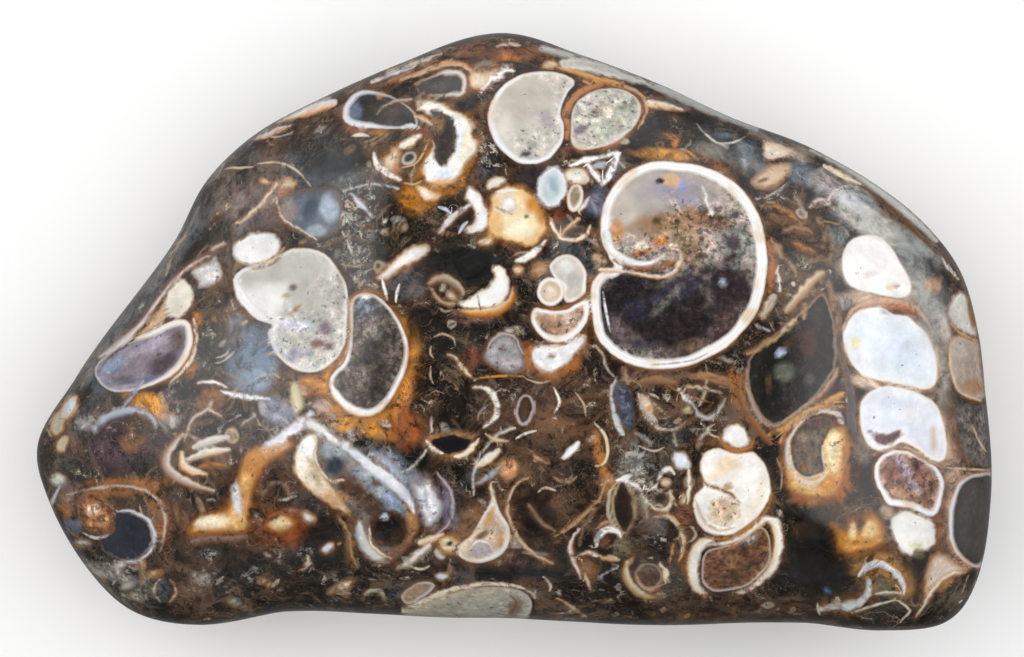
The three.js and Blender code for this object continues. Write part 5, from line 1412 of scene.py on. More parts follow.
ribbon([-7.1, -3.75, -6.35, -4.08, -5.75, -4.48, -5.2, -4.95, -4.7, -5.28, -4.2, -5.7, -3.85, -6.12,
    -3.6, -6.65], [0.16, 0.22, 0.28, 0.38, 0.44, 0.42, 0.34, 0.1], ["#dfe5ec", "#f7f7f7", "#c6cfdb"],
    ragged=0.04)
ribbon([-5.25, -4.4, -4.75, -4.68, -4.3, -5.05, -3.9, -5.5], [0.1, 0.32, 0.3, 0.1],
    ["#8694a4", "#c9d2dc"], ragged=0.07)
ribbon([-7.22, -4.14, -7.26, -4.6, -7.04, -5.1, -6.66, -5.48, -6.2, -5.42], [0.06, 0.12, 0.14, 0.1],
    ["#f6ecdc", "#a9895f"])
flake([-7.59, -3.77, -7.15, -3.77, -7.24, -4.28, -7.12, -4.87, -6.84, -5.39, -6.56, -5.75, -6.27, -6.19,
    -5.97, -6.64, -6.49, -6.45, -7.08, -6.08, -7.59, -5.68, -7.96, -5.24, -8.03, -4.65, -7.85, -4.14],
    "#eadbc4", rim="#d3b48a", fade=0.2, grain=0.3, ragged=0.05, stained=("#5c3a24", 0.12, 0.85),
    washes=[(-7.5, -4.2, 0.4, 0.5, 0, "#f0f2f3", 0.9), (-7.3, -5.1, 0.14, 0.7, 20, "#bda689", 0.85),
    (-7.75, -4.9, 0.2, 0.5, 5, "#f6efe2", 0.9), (-6.6, -6.1, 0.5, 0.3, -40, "#c79c6c", 0.8)],
    layer="linings")
# The dark eye: its small blue-white spot near the upper end is a painted highlight.
flake(oval(-4.56, -7.2, 0.74, 0.68, -20), "#191311", rim="#4a3628", fade=0.35, grain=0.5, ragged=0.08,
    stained=None, washes=[(-4.69, -6.78, 0.16, 0.14, 10, "#cfdadf", 0.95),
    (-4.2, -7.4, 0.3, 0.3, 0, "#33231a", 0.8), (-4.9, -7.5, 0.2, 0.2, 0, "#3a3030", 0.7)])
flake([-7.5, -3.75, -7.08, -3.69, -6.42, -3.99, -5.9, -4.36, -5.39, -4.8, -4.87, -5.09, -4.36, -5.46,
    -3.92, -5.9, -3.62, -6.27, -3.47, -6.71, -3.47, -7.22, -3.84, -7.81, -4.43, -8.4, -5.24, -8.25,
    -5.61, -7.81, -5.75, -7.08, -5.97, -6.64, -6.49, -6.41, -7.08, -6.05, -7.5, -5.6, -7.6, -4.6],
    "#6f6359", rim="#5c4c42", fade=0.25, grain=0.55, ragged=0.06, stained=("#4a2c1c", 0.14, 0.8),
    washes=[(-6.55, -4.35, 0.5, 0.4, -20, "#a3aab0", 0.9), (-6.5, -4.85, 0.4, 0.42, -30, "#3a4048", 1),
    (-5.62, -5.15, 0.28, 0.2, -20, "#4c586c", 0.95), (-5, -5.6, 0.9, 0.32, -42, "#aeb4bc", 0.95),
    (-4.4, -6.3, 0.6, 0.3, -50, "#8c9cb4", 0.9), (-5, -5.55, 0.24, 0.18, 0, "#5c4038", 0.85),
    (-6, -5.7, 0.6, 0.4, -30, "#5a4030", 0.95), (-6.3, -6, 0.3, 0.2, -30, "#b98a58", 0.8),
    (-5.3, -6.3, 0.6, 0.4, -20, "#4e3a2e", 0.9), (-3.7, -7.1, 0.26, 0.7, 0, "#a8784e", 0.95),
    (-5.4, -7.2, 0.2, 0.7, 10, "#7a7068", 0.9), (-4.2, -8.1, 0.5, 0.25, 40, "#7c5c44", 0.9)])
ribbon([-5.62, -6.9, -5.6, -7.35, -5.42, -7.85, -5.05, -8.22, -4.5, -8.42],
    [0.12, 0.36, 0.38, 0.3, 0.08], ["#d9cdb8", "#d3d6d6", "#9ca8b2"], ragged=0.04)
ribbon([-5.26, -7.1, -5.22, -7.7, -4.92, -8.06, -4.45, -8.3], [0.05, 0.12, 0.12, 0.04], ["#ebdcc4"])
ribbon([-4.25, -8.62, -3.8, -8.42, -3.38, -8.08, -3.02, -7.78], [0.08, 0.3, 0.32, 0.2],
    ["#cfc9bb", "#ebe7dc", "#b3a790"], ragged=0.08)
ribbon([-6.45, -6.75, -6.1, -7.2, -5.98, -7.7, -5.9, -8.2, -5.7, -8.65], [0.06, 0.12, 0.1, 0.12, 0.05],
    ["#b9966c", "#7a5434"])
flake([-7.75, -6.6, -7.5, -6.58, -7.25, -6.8, -7.35, -7, -7.65, -6.92], "#efe9e0", rim="#a5886c")
grains("#c6d4e6", (-6.8, -7.9, 0.26, 0.16, 30), fade=0.1)
for line in ([-7.55, -8.2, -7.45, -8.5, -7.3, -8.7], [-7.45, -8.5, -7.65, -8.62, -7.85, -8.75]):
    ribbon(line, [0.1, 0.12, 0.05], ["#e4dccf", "#9a8a78"])
grains("#e6d8ba", (-6.2, -9.3, 0.32, 0.18, 15), (-6.55, -9.45, 0.3, 0.1, 20),
    (-5.95, -9.1, 0.12, 0.1, 0), (-6.15, -9.6, 0.14, 0.08, -30), (-9.2, -9.1, 0.2, 0.12, 0),
    (-8.95, -9.25, 0.12, 0.08, 40), rim="#a58a64", grain=0.7)
grains("#a3aa9c", (-10.2, -9.9, 0.3, 0.16, -20), (-9.9, -10.1, 0.14, 0.1, 0), grain=0.7, rim="#70746a")
ribbon([-5.5, -9.7, -5.25, -9.5, -4.9, -9.5, -4.65, -9.85], [0.06, 0.16, 0.18, 0.06],
    ["#cfcdbf", "#8f8c7c"])
frosted((-11.2, -8.2, 0.4, 0.2, 10, 0.9), (-9.6, -8.9, 0.5, 0.25, 30, 0.9),
    (-7.6, -8.1, 0.3, 0.3, 0, 0.8))
tell("Lower middle left")

# %% [markdown]
# ## The lower middle
#
# A black lens, a teardrop, a pointed chamber and a long lens at the bottom edge. Their corners are
# where two walls meet. A curve through the points rounds those corners a little, as wear does.

# %% Lower middle: facets, black lens, teardrop, pointed chamber, bottom lens
stain_and_sheen((-3.1, -6.2, 0.5, 0.9, 10, "#8f8a94", 0.85), (-2.4, -6.3, 0.3, 1, 10, "#70687c", 0.9),
    (-2.2, -4, 1, 0.35, 5, "#8f6c4c", 0.9), (-0.8, -5.1, 0.8, 0.25, 35, "#5e5236", 0.9),
    (-0.15, -4.95, 0.35, 0.4, 0, "#c08e60", 0.9), (-1.3, -7.4, 1, 1, 0, "#7a5840", 0.9),
    (-0.75, -7.2, 0.35, 0.7, 0, "#b9803c", 0.85), (-2.3, -7.75, 0.45, 0.35, 0, "#c08a48", 0.9),
    (0.9, -6.7, 0.8, 1.2, 15, "#231c19", 0.95), (2.3, -7, 0.6, 0.6, 40, "#4c3a2c", 0.9),
    (0.1, -8.85, 2, 0.2, 0, "#1c2026", 0.95), (-1.3, -9.9, 2, 0.6, 0, "#4a3a2e", 0.8),
    (2.8, -8.7, 0.35, 0.5, 0, "#7a5030", 0.9), (0.9, -9.9, 0.6, 0.35, -20, "#4e3826", 0.9),
    (1.6, -10.2, 0.7, 0.3, -20, "#6a5244", 0.9), (-3.4, -9.6, 0.6, 0.4, 20, "#8a6a50", 0.9),
    (2, -5.2, 0.8, 0.4, 40, "#2b2724", 0.8))
quiet((0.95, -6.7, 0.8, 1.1, 10, 1), (0.1, -8.85, 2, 0.25, 0, 1), (-2.3, -4.3, 0.6, 0.25, 0, 0.8),
    (1.9, -8.4, 0.4, 0.5, 0, 0.8))
veil_and_sheen((-3.1, -6.2, 0.35, 0.7, 10, "#c2bec8", 0.4), (-2.35, -6.4, 0.25, 0.8, 10, "#8a8498", 0.5),
    (0.4, -9.6, 0.8, 0.2, 0, "#8f8a84", 0.3))
frosted((-3.2, -6.2, 0.4, 0.9, 10, 0.9), (-3.3, -8.3, 0.5, 0.3, 0, 0.5))
flake([-3.72, -5.4, -3.4, -5.6, -3.05, -5.4, -2.85, -5.85, -2.63, -6.3, -2.72, -6.75, -3.1, -7.1,
    -3.3, -6.7, -3.5, -6.15], "#f0f2f2", rim="#b9bcc0", grain=0.5, ragged=0.1,
    washes=[(-3.2, -6, 0.08, 0.6, 10, "#a9b0b4", 0.8), (-2.95, -6.7, 0.2, 0.2, 0, "#d6e0e0", 0.8)])
ribbon([-3.45, -7.75, -3, -7.6, -2.5, -7.38], [0.2, 0.28, 0.1], ["#f0e4cc", "#cda87c"])
ribbon([-2.8, -5.15, -2.3, -5.8, -2.2, -6.4, -2.35, -7, -2.8, -7.4], [0.06, 0.1, 0.12, 0.1, 0.05],
    ["#cdc4c8", "#9a8c98"])
flake([-3.1, -4, -2.8, -3.8, -2.3, -3.72, -1.8, -3.8, -1.45, -4, -1.7, -4.3, -2.2, -4.5, -2.7, -4.38],
    "#17161a", rim="#2c2624", stained=("#a57a50", 0.14, 0.9), fade=0.2)
ribbon([-3.15, -3.95, -2.9, -4.28, -2.55, -4.45], [0.06, 0.2, 0.08], ["#f2f0ee"])
ribbon([-2.15, -4.6, -1.8, -4.48, -1.45, -4.2, -1.25, -3.9], [0.08, 0.2, 0.22, 0.08],
    ["#f0e6d6", "#e9d2ae"])
for line, width, colors in (
    ([-1.35, -4.95, -0.9, -4.65, -0.45, -4.3], 0.34, ["#f2ede4", "#e3cba4"]),
    ([-1.4, -5.6, -0.9, -5.3, -0.4, -4.9], 0.26, ["#aeb4bc", "#8a8e94"]),
    ([-0.8, -5.5, -0.75, -5.9, -0.65, -6.25], 0.16, ["#e6d8bc"]),
    ([-1, -3.7, -0.6, -3.95, -0.15, -4], 0.16, ["#cdb592"]),
    ([1.8, -4.65, 2.1, -4.4, 2.45, -4], 0.3, ["#e9ecf2", "#f3f1ee"]),
    ([0.6, -4.3, 1, -4.7, 1.4, -4.8], 0.14, ["#c2a68a", "#7a5c44"]),
    ([1.5, -5.3, 2, -5.5, 2.4, -5.3], 0.14, ["#a59078"]),
    ([2.5, -7.2, 2.2, -7.6, 2.15, -8.05, 2.35, -8.6, 2.55, -9.1], 0.2, ["#b98a5c", "#f2efea"]),
    ([2.4, -8.2, 2.8, -8.1, 3.2, -8.2], 0.16, ["#f0ebe2", "#b9803c"]),
    ([2.65, -8.8, 2.75, -9.15, 2.9, -9.5], 0.12, ["#d9c8a8"]),
    ([1.6, -9.75, 2.1, -10.05, 2.7, -10.45], 0.14, ["#e0cfae", "#9a7a54"]),
):
    ribbon(line, [0.3 * width, width, 0.35 * width], colors)
chamber([-0.7, -6, -0.45, -6.6, -0.15, -7.1, -0.1, -7.6, -0.35, -8.1, -0.9, -8.4, -1.5, -8.45,
    -1.95, -8.2, -1.95, -7.8, -1.5, -7.4, -1.2, -6.9, -0.9, -6.4], "#c2ab94", rim="#dccab0",
    shell="#f1e9dc", wall=0.11, fade=0.3, grain=0.35, lean=(-40, 0.6),
    washes=[(-1.15, -8, 0.5, 0.35, 10, "#a8a0a6", 0.95), (-0.85, -6.8, 0.16, 0.4, -20, "#c9985c", 0.8),
    (-0.4, -7.7, 0.14, 0.4, 0, "#c08a48", 0.8), (-1.15, -7.45, 0.3, 0.14, 30, "#5c3a24", 0.85)])
ribbon([-1.55, -7.95, -1.3, -7.68, -0.95, -7.7, -0.75, -7.95], [0.05, 0.1, 0.1, 0.05], ["#efe9e4"])
flake([-2.8, -7.7, -2.5, -7.45, -2.1, -7.5, -1.9, -7.8, -2.1, -8.1, -2.5, -8.1], "#dcc7a2",
    rim="#a5763c", grain=0.5, washes=[(-2.32, -7.75, 0.16, 0.12, 30, "#3a241a", 1)])
ribbon([0.6, -5.3, 0.1, -5.6, -0.18, -6.2, -0.15, -6.8, 0.2, -7.55, 0.8, -8.15, 1.5, -8.5],
    [0.05, 0.1, 0.12, 0.12, 0.14, 0.12, 0.05], ["#d9c8ac", "#a88c6c"])
ribbon([0.6, -6.3, 0.9, -6.8, 1.3, -7.15, 1.65, -7.3], [0.04, 0.1, 0.1, 0.04], ["#8a7a6c"])
ribbon([1.5, -7.5, 2.1, -7.1, 2.7, -6.6, 3.2, -6.1], [0.06, 0.18, 0.16, 0.06], ["#8a5c3c", "#c2a07c"])
chamber([-3.9, -10.35, -3.2, -9.95, -2.5, -9.65, -1.5, -9.4, -0.5, -9.35, 0.3, -9.5, 0.7, -9.9,
    0.5, -10.5, -0.5, -11, -1.8, -11, -3, -10.8], "#aaa494", rim="#bdb6a4", shell="#efe6d6", wall=0.02,
    fade=0.3, grain=0.35, stained=("#3a2a20", 0.2, 0.9), washes=[(-1, -10, 1, 0.3, 0, "#b2b0a2", 0.8),
    (0.1, -10.1, 0.25, 0.4, -20, "#7c6c58", 0.9)])
ribbon([-4, -10.25, -3.2, -9.85, -2.5, -9.55, -1.5, -9.3, -0.5, -9.25, 0.4, -9.4, 0.85, -9.75],
    [0.26, 0.24, 0.2, 0.18, 0.16, 0.12, 0.05], ["#f1ead9", "#d9c8a4"])
ribbon([-0.1, -9.6, 0.12, -9.95, -0.05, -10.3, -0.35, -10.5], [0.05, 0.12, 0.12, 0.05], ["#7a5434"])
chamber([-4.1, -9.7, -3.7, -9.3, -3.2, -9.15, -2.85, -9.3, -3.2, -9.65, -3.8, -9.98], "#b9a592",
    rim="#9c8570", shell="#e0cdb0", wall=0.06, grain=0.4)
grains("#cfdcec", (-2.6, -8.95, 0.26, 0.15, 10), fade=0.1)
slivers(0.1, "#d9cdb8", [-3.9, -8.5, -3.4, -8.7, -3, -8.55], [0.9, -5.9, 1.2, -5.7, 1.6, -5.8],
    [1.1, -8.95, 1.4, -9.25, 1.35, -9.55])
tell("Lower middle")

# %% [markdown]
# ## The lower right
#
# A cream spiral with lobes, a thick-walled bowl under it, and an eye and shell fragments to their
# left. The bowl's wall is far thicker on one side, so it is made of two bands round a fill that
# has hardly a wall of its own.

# %% Lower right: lobed spiral, thick-walled chamber, eye, arch, bowl and ears
stain_and_sheen((3.4, -5.2, 0.25, 1.5, 15, "#a5662c", 0.9), (6.6, -2.3, 1.2, 0.3, 10, "#4e3a2c", 0.8),
    (5.2, -5.4, 1, 1.3, 0, "#4f4b46", 0.85), (6.3, -8.5, 0.4, 0.5, 0, "#a5662c", 0.85),
    (6.3, -6.8, 0.3, 0.6, -25, "#7a4e38", 0.9), (3.95, -7.85, 0.35, 0.35, -35, "#857a5c", 0.85),
    (3.5, -7.7, 0.3, 0.25, 0, "#4a2a18", 0.95), (8, -3.9, 0.9, 0.3, 10, "#8a5a34", 0.9),
    (5.6, -8.9, 1.1, 0.9, 0, "#30302c", 0.9), (9.9, -5.9, 0.35, 1.4, 0, "#241f1c", 0.9),
    (8, -3.2, 1.2, 0.4, 0, "#4a3a30", 0.8), (5.4, -4.2, 0.8, 0.4, 0, "#2b2a28", 0.8))
veil_and_sheen((4.4, -4.8, 0.6, 0.6, 0, "#a5a4a0", 0.35), (5.2, -7, 0.5, 0.5, 0, "#94938e", 0.3))
frosted((4.4, -4.7, 0.75, 0.65, 0, 0.95), (5, -5.6, 0.8, 1, 0, 0.7), (5.3, -7.6, 0.4, 0.4, 0, 0.7),
    (7, -3.6, 0.5, 0.3, -20, 0.6))
flake([7.75, -6, 8.1, -6.1, 8.35, -6.5, 8.2, -6.95, 7.75, -7.12, 7.35, -6.95, 7.2, -6.5, 7.4, -6.1],
    "#cbb296", rim="#e6d4ba", fade=0.3, grain=0.6, ragged=0.05, stained=None, layer="linings")
flake([6.9, -4.8, 7.05, -4.45, 7.4, -4.25, 7.75, -4.3, 8.1, -4.4, 8.5, -4.4, 8.85, -4.4, 9.2, -4.75,
    9.4, -5.2, 9.5, -5.8, 9.4, -6.2, 9.15, -6.6, 8.8, -6.95, 8.4, -7.25, 8, -7.45, 7.5, -7.45,
    7.1, -7.3, 6.8, -6.95, 6.65, -6.5, 6.65, -6.1, 6.85, -5.8, 7, -5.65, 7, -5.35, 6.9, -5.1],
    "#f2eee8", rim="#efe4d4", grain=0.12, fade=0.15, ragged=0.02, stained=("#4c3626", 0.12, 0.9),
    washes=[(7.9, -4.85, 0.55, 0.3, 0, "#e6cda4", 0.8), (9.1, -5.9, 0.2, 0.7, -10, "#e9dcc8", 0.7),
    (7.5, -5.2, 0.35, 0.2, 30, "#efd9b8", 0.7), (8.6, -6.6, 0.4, 0.25, 50, "#f3e6d4", 0.8)])
ribbon([6.92, -5.35, 7.2, -5.6, 7.6, -5.72, 8, -5.92, 8.35, -6.25], [0.05, 0.12, 0.12, 0.14, 0.05],
    ["#a5703c", "#7a4a28"])
ribbon([6.72, -6.2, 6.9, -6.7, 7.15, -7.05, 7.6, -7.25, 8.1, -7.2], [0.05, 0.08, 0.1, 0.08, 0.04],
    ["#c9a67c"])
grains("#c89a68", (7.95, -5.68, 0.17, 0.14, 0), stained=None)
ribbon([9.55, -5.9, 9.4, -6.45, 8.9, -7, 8.3, -7.42, 7.7, -7.62, 7.1, -7.5],
    [0.04, 0.1, 0.14, 0.16, 0.14, 0.05], ["#8e5a2c", "#b9803c"])
flake([7.7, -3.9, 7.8, -3.6, 8.1, -3.35, 8.5, -3.5, 8.7, -3.9, 8.6, -4.15, 8.3, -4.25, 7.95, -4.1],
    "#f2f1ef", rim="#dcd2c6", grain=0.1, layer="linings")
ribbon([7.55, -3.9, 7.85, -4.22, 8.3, -4.38, 8.75, -4.2, 8.85, -3.9], [0.06, 0.16, 0.18, 0.16, 0.05],
    ["#c07a3c", "#8e5a2c"])
chamber([6.95, -8.9, 7, -8.3, 7.2, -8, 7.8, -7.85, 8.3, -7.65, 8.8, -7.25, 9.15, -7.15, 9.4, -7.4,
    9.5, -8, 9.4, -8.5, 9.1, -8.9, 8.6, -9.3, 8, -9.45, 7.4, -9.5, 7, -9.2], "#6e4c34", rim="#8a6244",
    shell="#ece2d2", wall=0.03, fade=0.3, grain=0.8, stained=None,
    washes=[(8.7, -7.6, 0.4, 0.18, 30, "#a5a098", 0.8), (7.9, -9, 0.6, 0.3, 0, "#54402e", 0.8),
    (8, -8.4, 0.35, 0.3, 0, "#8f6a48", 0.8)])
ribbon([7.4, -7.6, 6.95, -7.75, 6.68, -8.2, 6.62, -8.8, 6.75, -9.35, 7.15, -9.7],
    [0.12, 0.38, 0.4, 0.4, 0.3, 0.08], ["#efe9e0", "#f2ede4", "#e0c79c"], ragged=0.04)
ribbon([7.1, -7.8, 7.85, -7.72, 8.55, -7.42, 9.05, -7, 9.4, -6.85, 9.68, -7.1, 9.75, -7.8, 9.62, -8.5,
    9.25, -8.95, 8.8, -9.35, 8.2, -9.6], [0.06, 0.16, 0.24, 0.26, 0.28, 0.36, 0.34, 0.34, 0.26, 0.16,
    0.06], ["#f3eee6", "#f0e6d6", "#d9b98e"], ragged=0.04)
flake([3.6, -6.4, 3.65, -6, 3.85, -5.6, 4.05, -5.45, 4.3, -5.8, 4.42, -6.3, 4.42, -6.8, 4.3, -7.15,
    4.15, -7.35, 3.9, -7.15, 3.7, -6.9], "#2b211b", rim="#43362c", grain=0.3, stained=None)
for line, widths, colors in (
    ([3.95, -5.4, 3.64, -5.95, 3.6, -6.5, 3.75, -7, 4.1, -7.4], [0.08, 0.28, 0.28, 0.22, 0.08],
        ["#cdb88e", "#3a2c20", "#e6d8bc"]),
    ([4.05, -5.42, 4.4, -5.9, 4.5, -6.45, 4.42, -6.95, 4.15, -7.4], [0.05, 0.14, 0.14, 0.12, 0.05],
        ["#8d8468"]),
    ([4.5, -5.7, 4.82, -6.2, 4.92, -6.8], [0.08, 0.22, 0.1], ["#a5a08a", "#7c765c"]),
    ([3.8, -5.42, 4.1, -5.38, 4.38, -5.22], [0.1, 0.26, 0.1], ["#f1efec"]),
    ([4.2, -5.48, 4.6, -5.68, 4.95, -6.2], [0.16, 0.16, 0.05], ["#e6e2d8"]),
    ([3.05, -7.88, 3.15, -7.48, 3.4, -7.28, 3.75, -7.24, 4, -7.5], [0.06, 0.2, 0.24, 0.2, 0.08],
        ["#f4f2ef"]),
    ([3.1, -7.2, 3.4, -6.98, 3.72, -7], [0.05, 0.12, 0.05], ["#b9966c"]),
    ([2.8, -8.05, 3.1, -8.2], [0.14, 0.12], ["#e6dcc8"]),
    ([3.22, -8.28, 3.55, -8.32, 3.9, -8.3], [0.1, 0.16, 0.1], ["#cda87c"]),
    ([4.2, -8.4, 4.15, -8.85, 4.35, -9.3, 4.7, -9.6, 5.1, -9.7, 5.5, -9.62],
        [0.12, 0.26, 0.3, 0.26, 0.2, 0.08], ["#e6dabf", "#c9b088", "#8a6c44"]),
    ([4.55, -8.9, 4.75, -9.3, 5.1, -9.42, 5.5, -9.25], [0.06, 0.12, 0.12, 0.05], ["#c2a27c"]),
    ([5.4, -8.45, 5.62, -8.8, 5.58, -9.25], [0.06, 0.24, 0.06], ["#efe6d2", "#d9c49c"]),
    ([5.2, -6.78, 5.7, -6.75, 6.1, -7.05, 6.28, -7.5, 6.25, -8, 6.12, -8.4],
        [0.06, 0.18, 0.2, 0.2, 0.16, 0.05], ["#b98a5c", "#efe6d4", "#d6cab0"]),
    ([5.9, -7.75, 5.85, -8.15, 5.75, -8.5], [0.05, 0.12, 0.05], ["#b9966c"]),
    ([5.35, -5.45, 5.5, -5.12, 5.75, -5, 5.98, -5.22], [0.06, 0.18, 0.18, 0.06], ["#ebe6dc"]),
    ([5, -5.85, 5.15, -5.7, 5.35, -5.58], [0.06, 0.14, 0.06], ["#e0d8c8"]),
    ([5.05, -6.28, 5.25, -6.5, 5.5, -6.55, 5.75, -6.4, 5.88, -6.1, 5.8, -5.78],
        [0.06, 0.14, 0.16, 0.16, 0.14, 0.05], ["#e9dfcc", "#a58a64"]),
    ([6.45, -5, 6.5, -5.35, 6.5, -5.8, 6.42, -6.3], [0.1, 0.16, 0.14, 0.05], ["#d9c4a0", "#f0ece4"]),
):
    ribbon(line, widths, colors)
flake(oval(5.42, -6.08, 0.26, 0.22, 10), "#2c2420", rim="#4a3e34", stained=None, layer="linings")
chamber(oval(5, -8.95, 0.5, 0.46), "#4a382e", rim="#5c4a3c", shell="#8f7a60", wall=0.03, grain=0.6,
    ragged=0.03, washes=[(5, -8.7, 0.2, 0.14, 0, "#7c6c5c", 0.7)])
grains("#f1efec", (5.62, -5.5, 0.17, 0.14, 0), (6.28, -6.12, 0.14, 0.18, 0))
flake([5.9, -4.5, 6.2, -4.4, 6.45, -4.6, 6.5, -5, 6.3, -5, 6, -4.95], "#dfe6f0", rim="#cdc8c0",
    fade=0.12)
for line, width, color in (
    ([3, -3.3, 3.38, -3.75, 3.5, -4.35, 3.35, -4.8, 3, -4.92], 0.12, "#dccaa8"),
    ([3.55, -5.1, 3.32, -5.8, 3, -6.5], 0.1, "#a88664"),
    ([4.6, -4.15, 5.2, -4.35, 5.6, -4.2], 0.08, "#b9b0a4"),
    ([5.7, -1.95, 6.4, -2.3, 7.4, -2.6], 0.08, "#8a6446"),
    ([6.9, -3.3, 7.3, -3.75, 7.6, -3.85], 0.08, "#c9b8a4"),
    ([9.7, -4.6, 9.9, -5.2, 9.85, -5.8], 0.08, "#a08a74"),
):
    sliver(line, width, color)
tell("Lower right")

# %% [markdown]
# ## Fossils round the sides and underneath
#
# The same fossils run through the whole stone, so on the flanks and the underside they are solid
# shapes that the skin cuts wherever it meets them. A turret snail is a tube that winds round an
# axis and grows by the same share at each turn, which is a helix on a cone. Loose chambers are
# egg shapes. They keep clear of the upper face, where the fossils are placed one by one.

# %% Solid fossils
rng = np.random.default_rng(20)
weight = np.where(is_upper, 1.0, 4.0)  # the upper mesh has four times as many points
weight /= weight.sum()
hidden = step_between(0.0, 0.45, below)
hidden_weight = weight * hidden / (weight * hidden).sum()
print("points on the flanks and the underside:", np.count_nonzero(hidden > 0.5))
AGATE = ("#b7b0a8", "#7d7670", "#c9c6c0", "#4a423d", "#2a2522", "#8a7d70", "#dcdcdc", "#5a4a3e",
         "#a5886a", "#241e1b", "#d6cdbf", "#66616a", "#3a312c")


def directions(count):
    """Unit vectors spread evenly over all directions, from three normal draws each."""
    drawn = rng.normal(size=(count, 3))
    return drawn / np.linalg.norm(drawn, axis=1)[:, None]


TUBE_FROM_AXIS = 0.15  # of a turn's height above the tip
TUBE_WIDER = 1.25  # a tube's width over its height


def turret(tip, axis, start_angle, length, growth):
    """Depth into a winding tube: at each turn the distance from the axis, the height and the
    tube's radius all grow by `growth`, so in a half plane through the axis the tube is a row of
    ovals, and the nearest oval gives the depth. The second value numbers the turn."""
    side = np.cross(axis, (0.3, -0.5, 0.81))  # any direction across the axis will do
    side /= np.linalg.norm(side)
    other = np.cross(axis, side)
    at = np.flatnonzero(np.abs(points - tip).max(axis=1) < length + 1)
    from_tip = points[at] - tip
    high = from_tip @ axis
    across, up = from_tip @ side, from_tip @ other
    out = np.hypot(across, up)
    turn = np.arctan2(up, across) / (2 * math.pi) + start_angle
    bend = math.log(growth)
    guess = np.round(np.log(np.maximum(high, 0.3)) / bend - turn)
    best, winner = np.full(len(at), FAR), np.zeros(len(at))
    for step in (-1, 0, 1):
        scale = np.exp(bend * (guess + step + turn))
        tube = 0.5 * (growth - 1) / growth * scale
        depth = np.hypot((out - TUBE_FROM_AXIS * scale) / TUBE_WIDER, high - scale) - tube
        depth = np.where(scale > length, FAR, depth)
        best = np.where(depth < best, depth, best)
        winner = np.where(depth <= best, guess + step + np.floor(turn * 2) / 2, winner)
    return at, best, winner


def egg(middle, half_axes, axis):
    """Depth into an ellipsoid, close to the true distance: k (k - 1) / g, where k is the distance
    from the middle in units of the half axes, and g its rate of change."""
    side = np.cross(axis, (0.61, 0.2, -0.77))  # any direction across the axis will do
    side /= np.linalg.norm(side)
    at = np.flatnonzero(np.abs(points - middle).max(axis=1) < max(half_axes) + 1.2)
    turned = (points[at] - middle) @ np.stack([axis, side, np.cross(axis, side)], axis=1)
    k = np.linalg.norm(turned / half_axes, axis=1) + 1e-6
    g = np.linalg.norm(turned / np.square(half_axes), axis=1) + 1e-6
    return at, k * (k - 1) / g


# %% Turret snails and loose chambers on the flanks and underside
TURRETS, EGGS = 18, 230
TURRET_LENGTH, TURRET_GROWTH = (8, 16), (1.26, 1.36)  # mm, and per turn
EGG_HALF_LENGTH = (0.35, 1.9)  # mm
GAP = 0.16  # mm of mud between two fossils
STAINS = ["amber", "tan", "rust", "cocoa"]
starts = points[rng.choice(len(points), TURRETS, p=hidden_weight)]
for start, heading, angle in zip(starts, directions(TURRETS), rng.random(TURRETS)):
    length = rng.uniform(*TURRET_LENGTH)
    at, depth, number = turret(start - heading * length * 0.6, heading, angle, length,
                               rng.uniform(*TURRET_GROWTH))
    shade = np.mod(number * 2.37 + angle * 9, len(AGATE)).astype(int)
    colors = np.array([linear(color) for color in AGATE])[shade]
    reaches_up = np.isin(number, number[(depth < 0) & (below[at] <= 0)])
    depth = np.where(reaches_up, FAR, depth)
    depth = np.maximum(depth, GAP - layers["chambers"]["depth"][at])
    put("chambers", at, depth, fill=colors, shell=linear("ivory"), wall=0.13,
        grain=0.4, ragged=0.02)
    halo(at, depth, rng.choice(STAINS), 0.18, 0.8)
middles = points[rng.choice(len(points), EGGS, p=hidden_weight)]
for middle, heading in zip(middles, directions(EGGS)):
    size = rng.uniform(*EGG_HALF_LENGTH) * np.array(
        [1, rng.uniform(0.55, 0.9), rng.uniform(0.5, 0.8)])
    at, depth = egg(middle + rng.normal(0, 0.2, 3), size, heading)
    color = AGATE[rng.integers(len(AGATE))]
    if np.any((depth < 0) & (below[at] <= 0)):
        continue
    depth = np.maximum(depth, GAP - layers["chambers"]["depth"][at])
    put("chambers", at, depth, fill=linear(color),
        shell=linear(rng.choice(["snow", "ivory", "cream", "milk"])), wall=rng.uniform(0.06, 0.2),
        grain=rng.uniform(0.1, 0.9), ragged=0.03)
    halo(at, depth, rng.choice(STAINS), 0.15, 0.7)
print("flank fossils:", TURRETS, "turret snails,", EGGS, "chambers")

# %% [markdown]
# ## Shell hash
#
# Between the whole fossils the mud is packed with broken shell. Each crumb is a piece of a thin
# sphere: near enough to its radius, and within a cone about one direction.

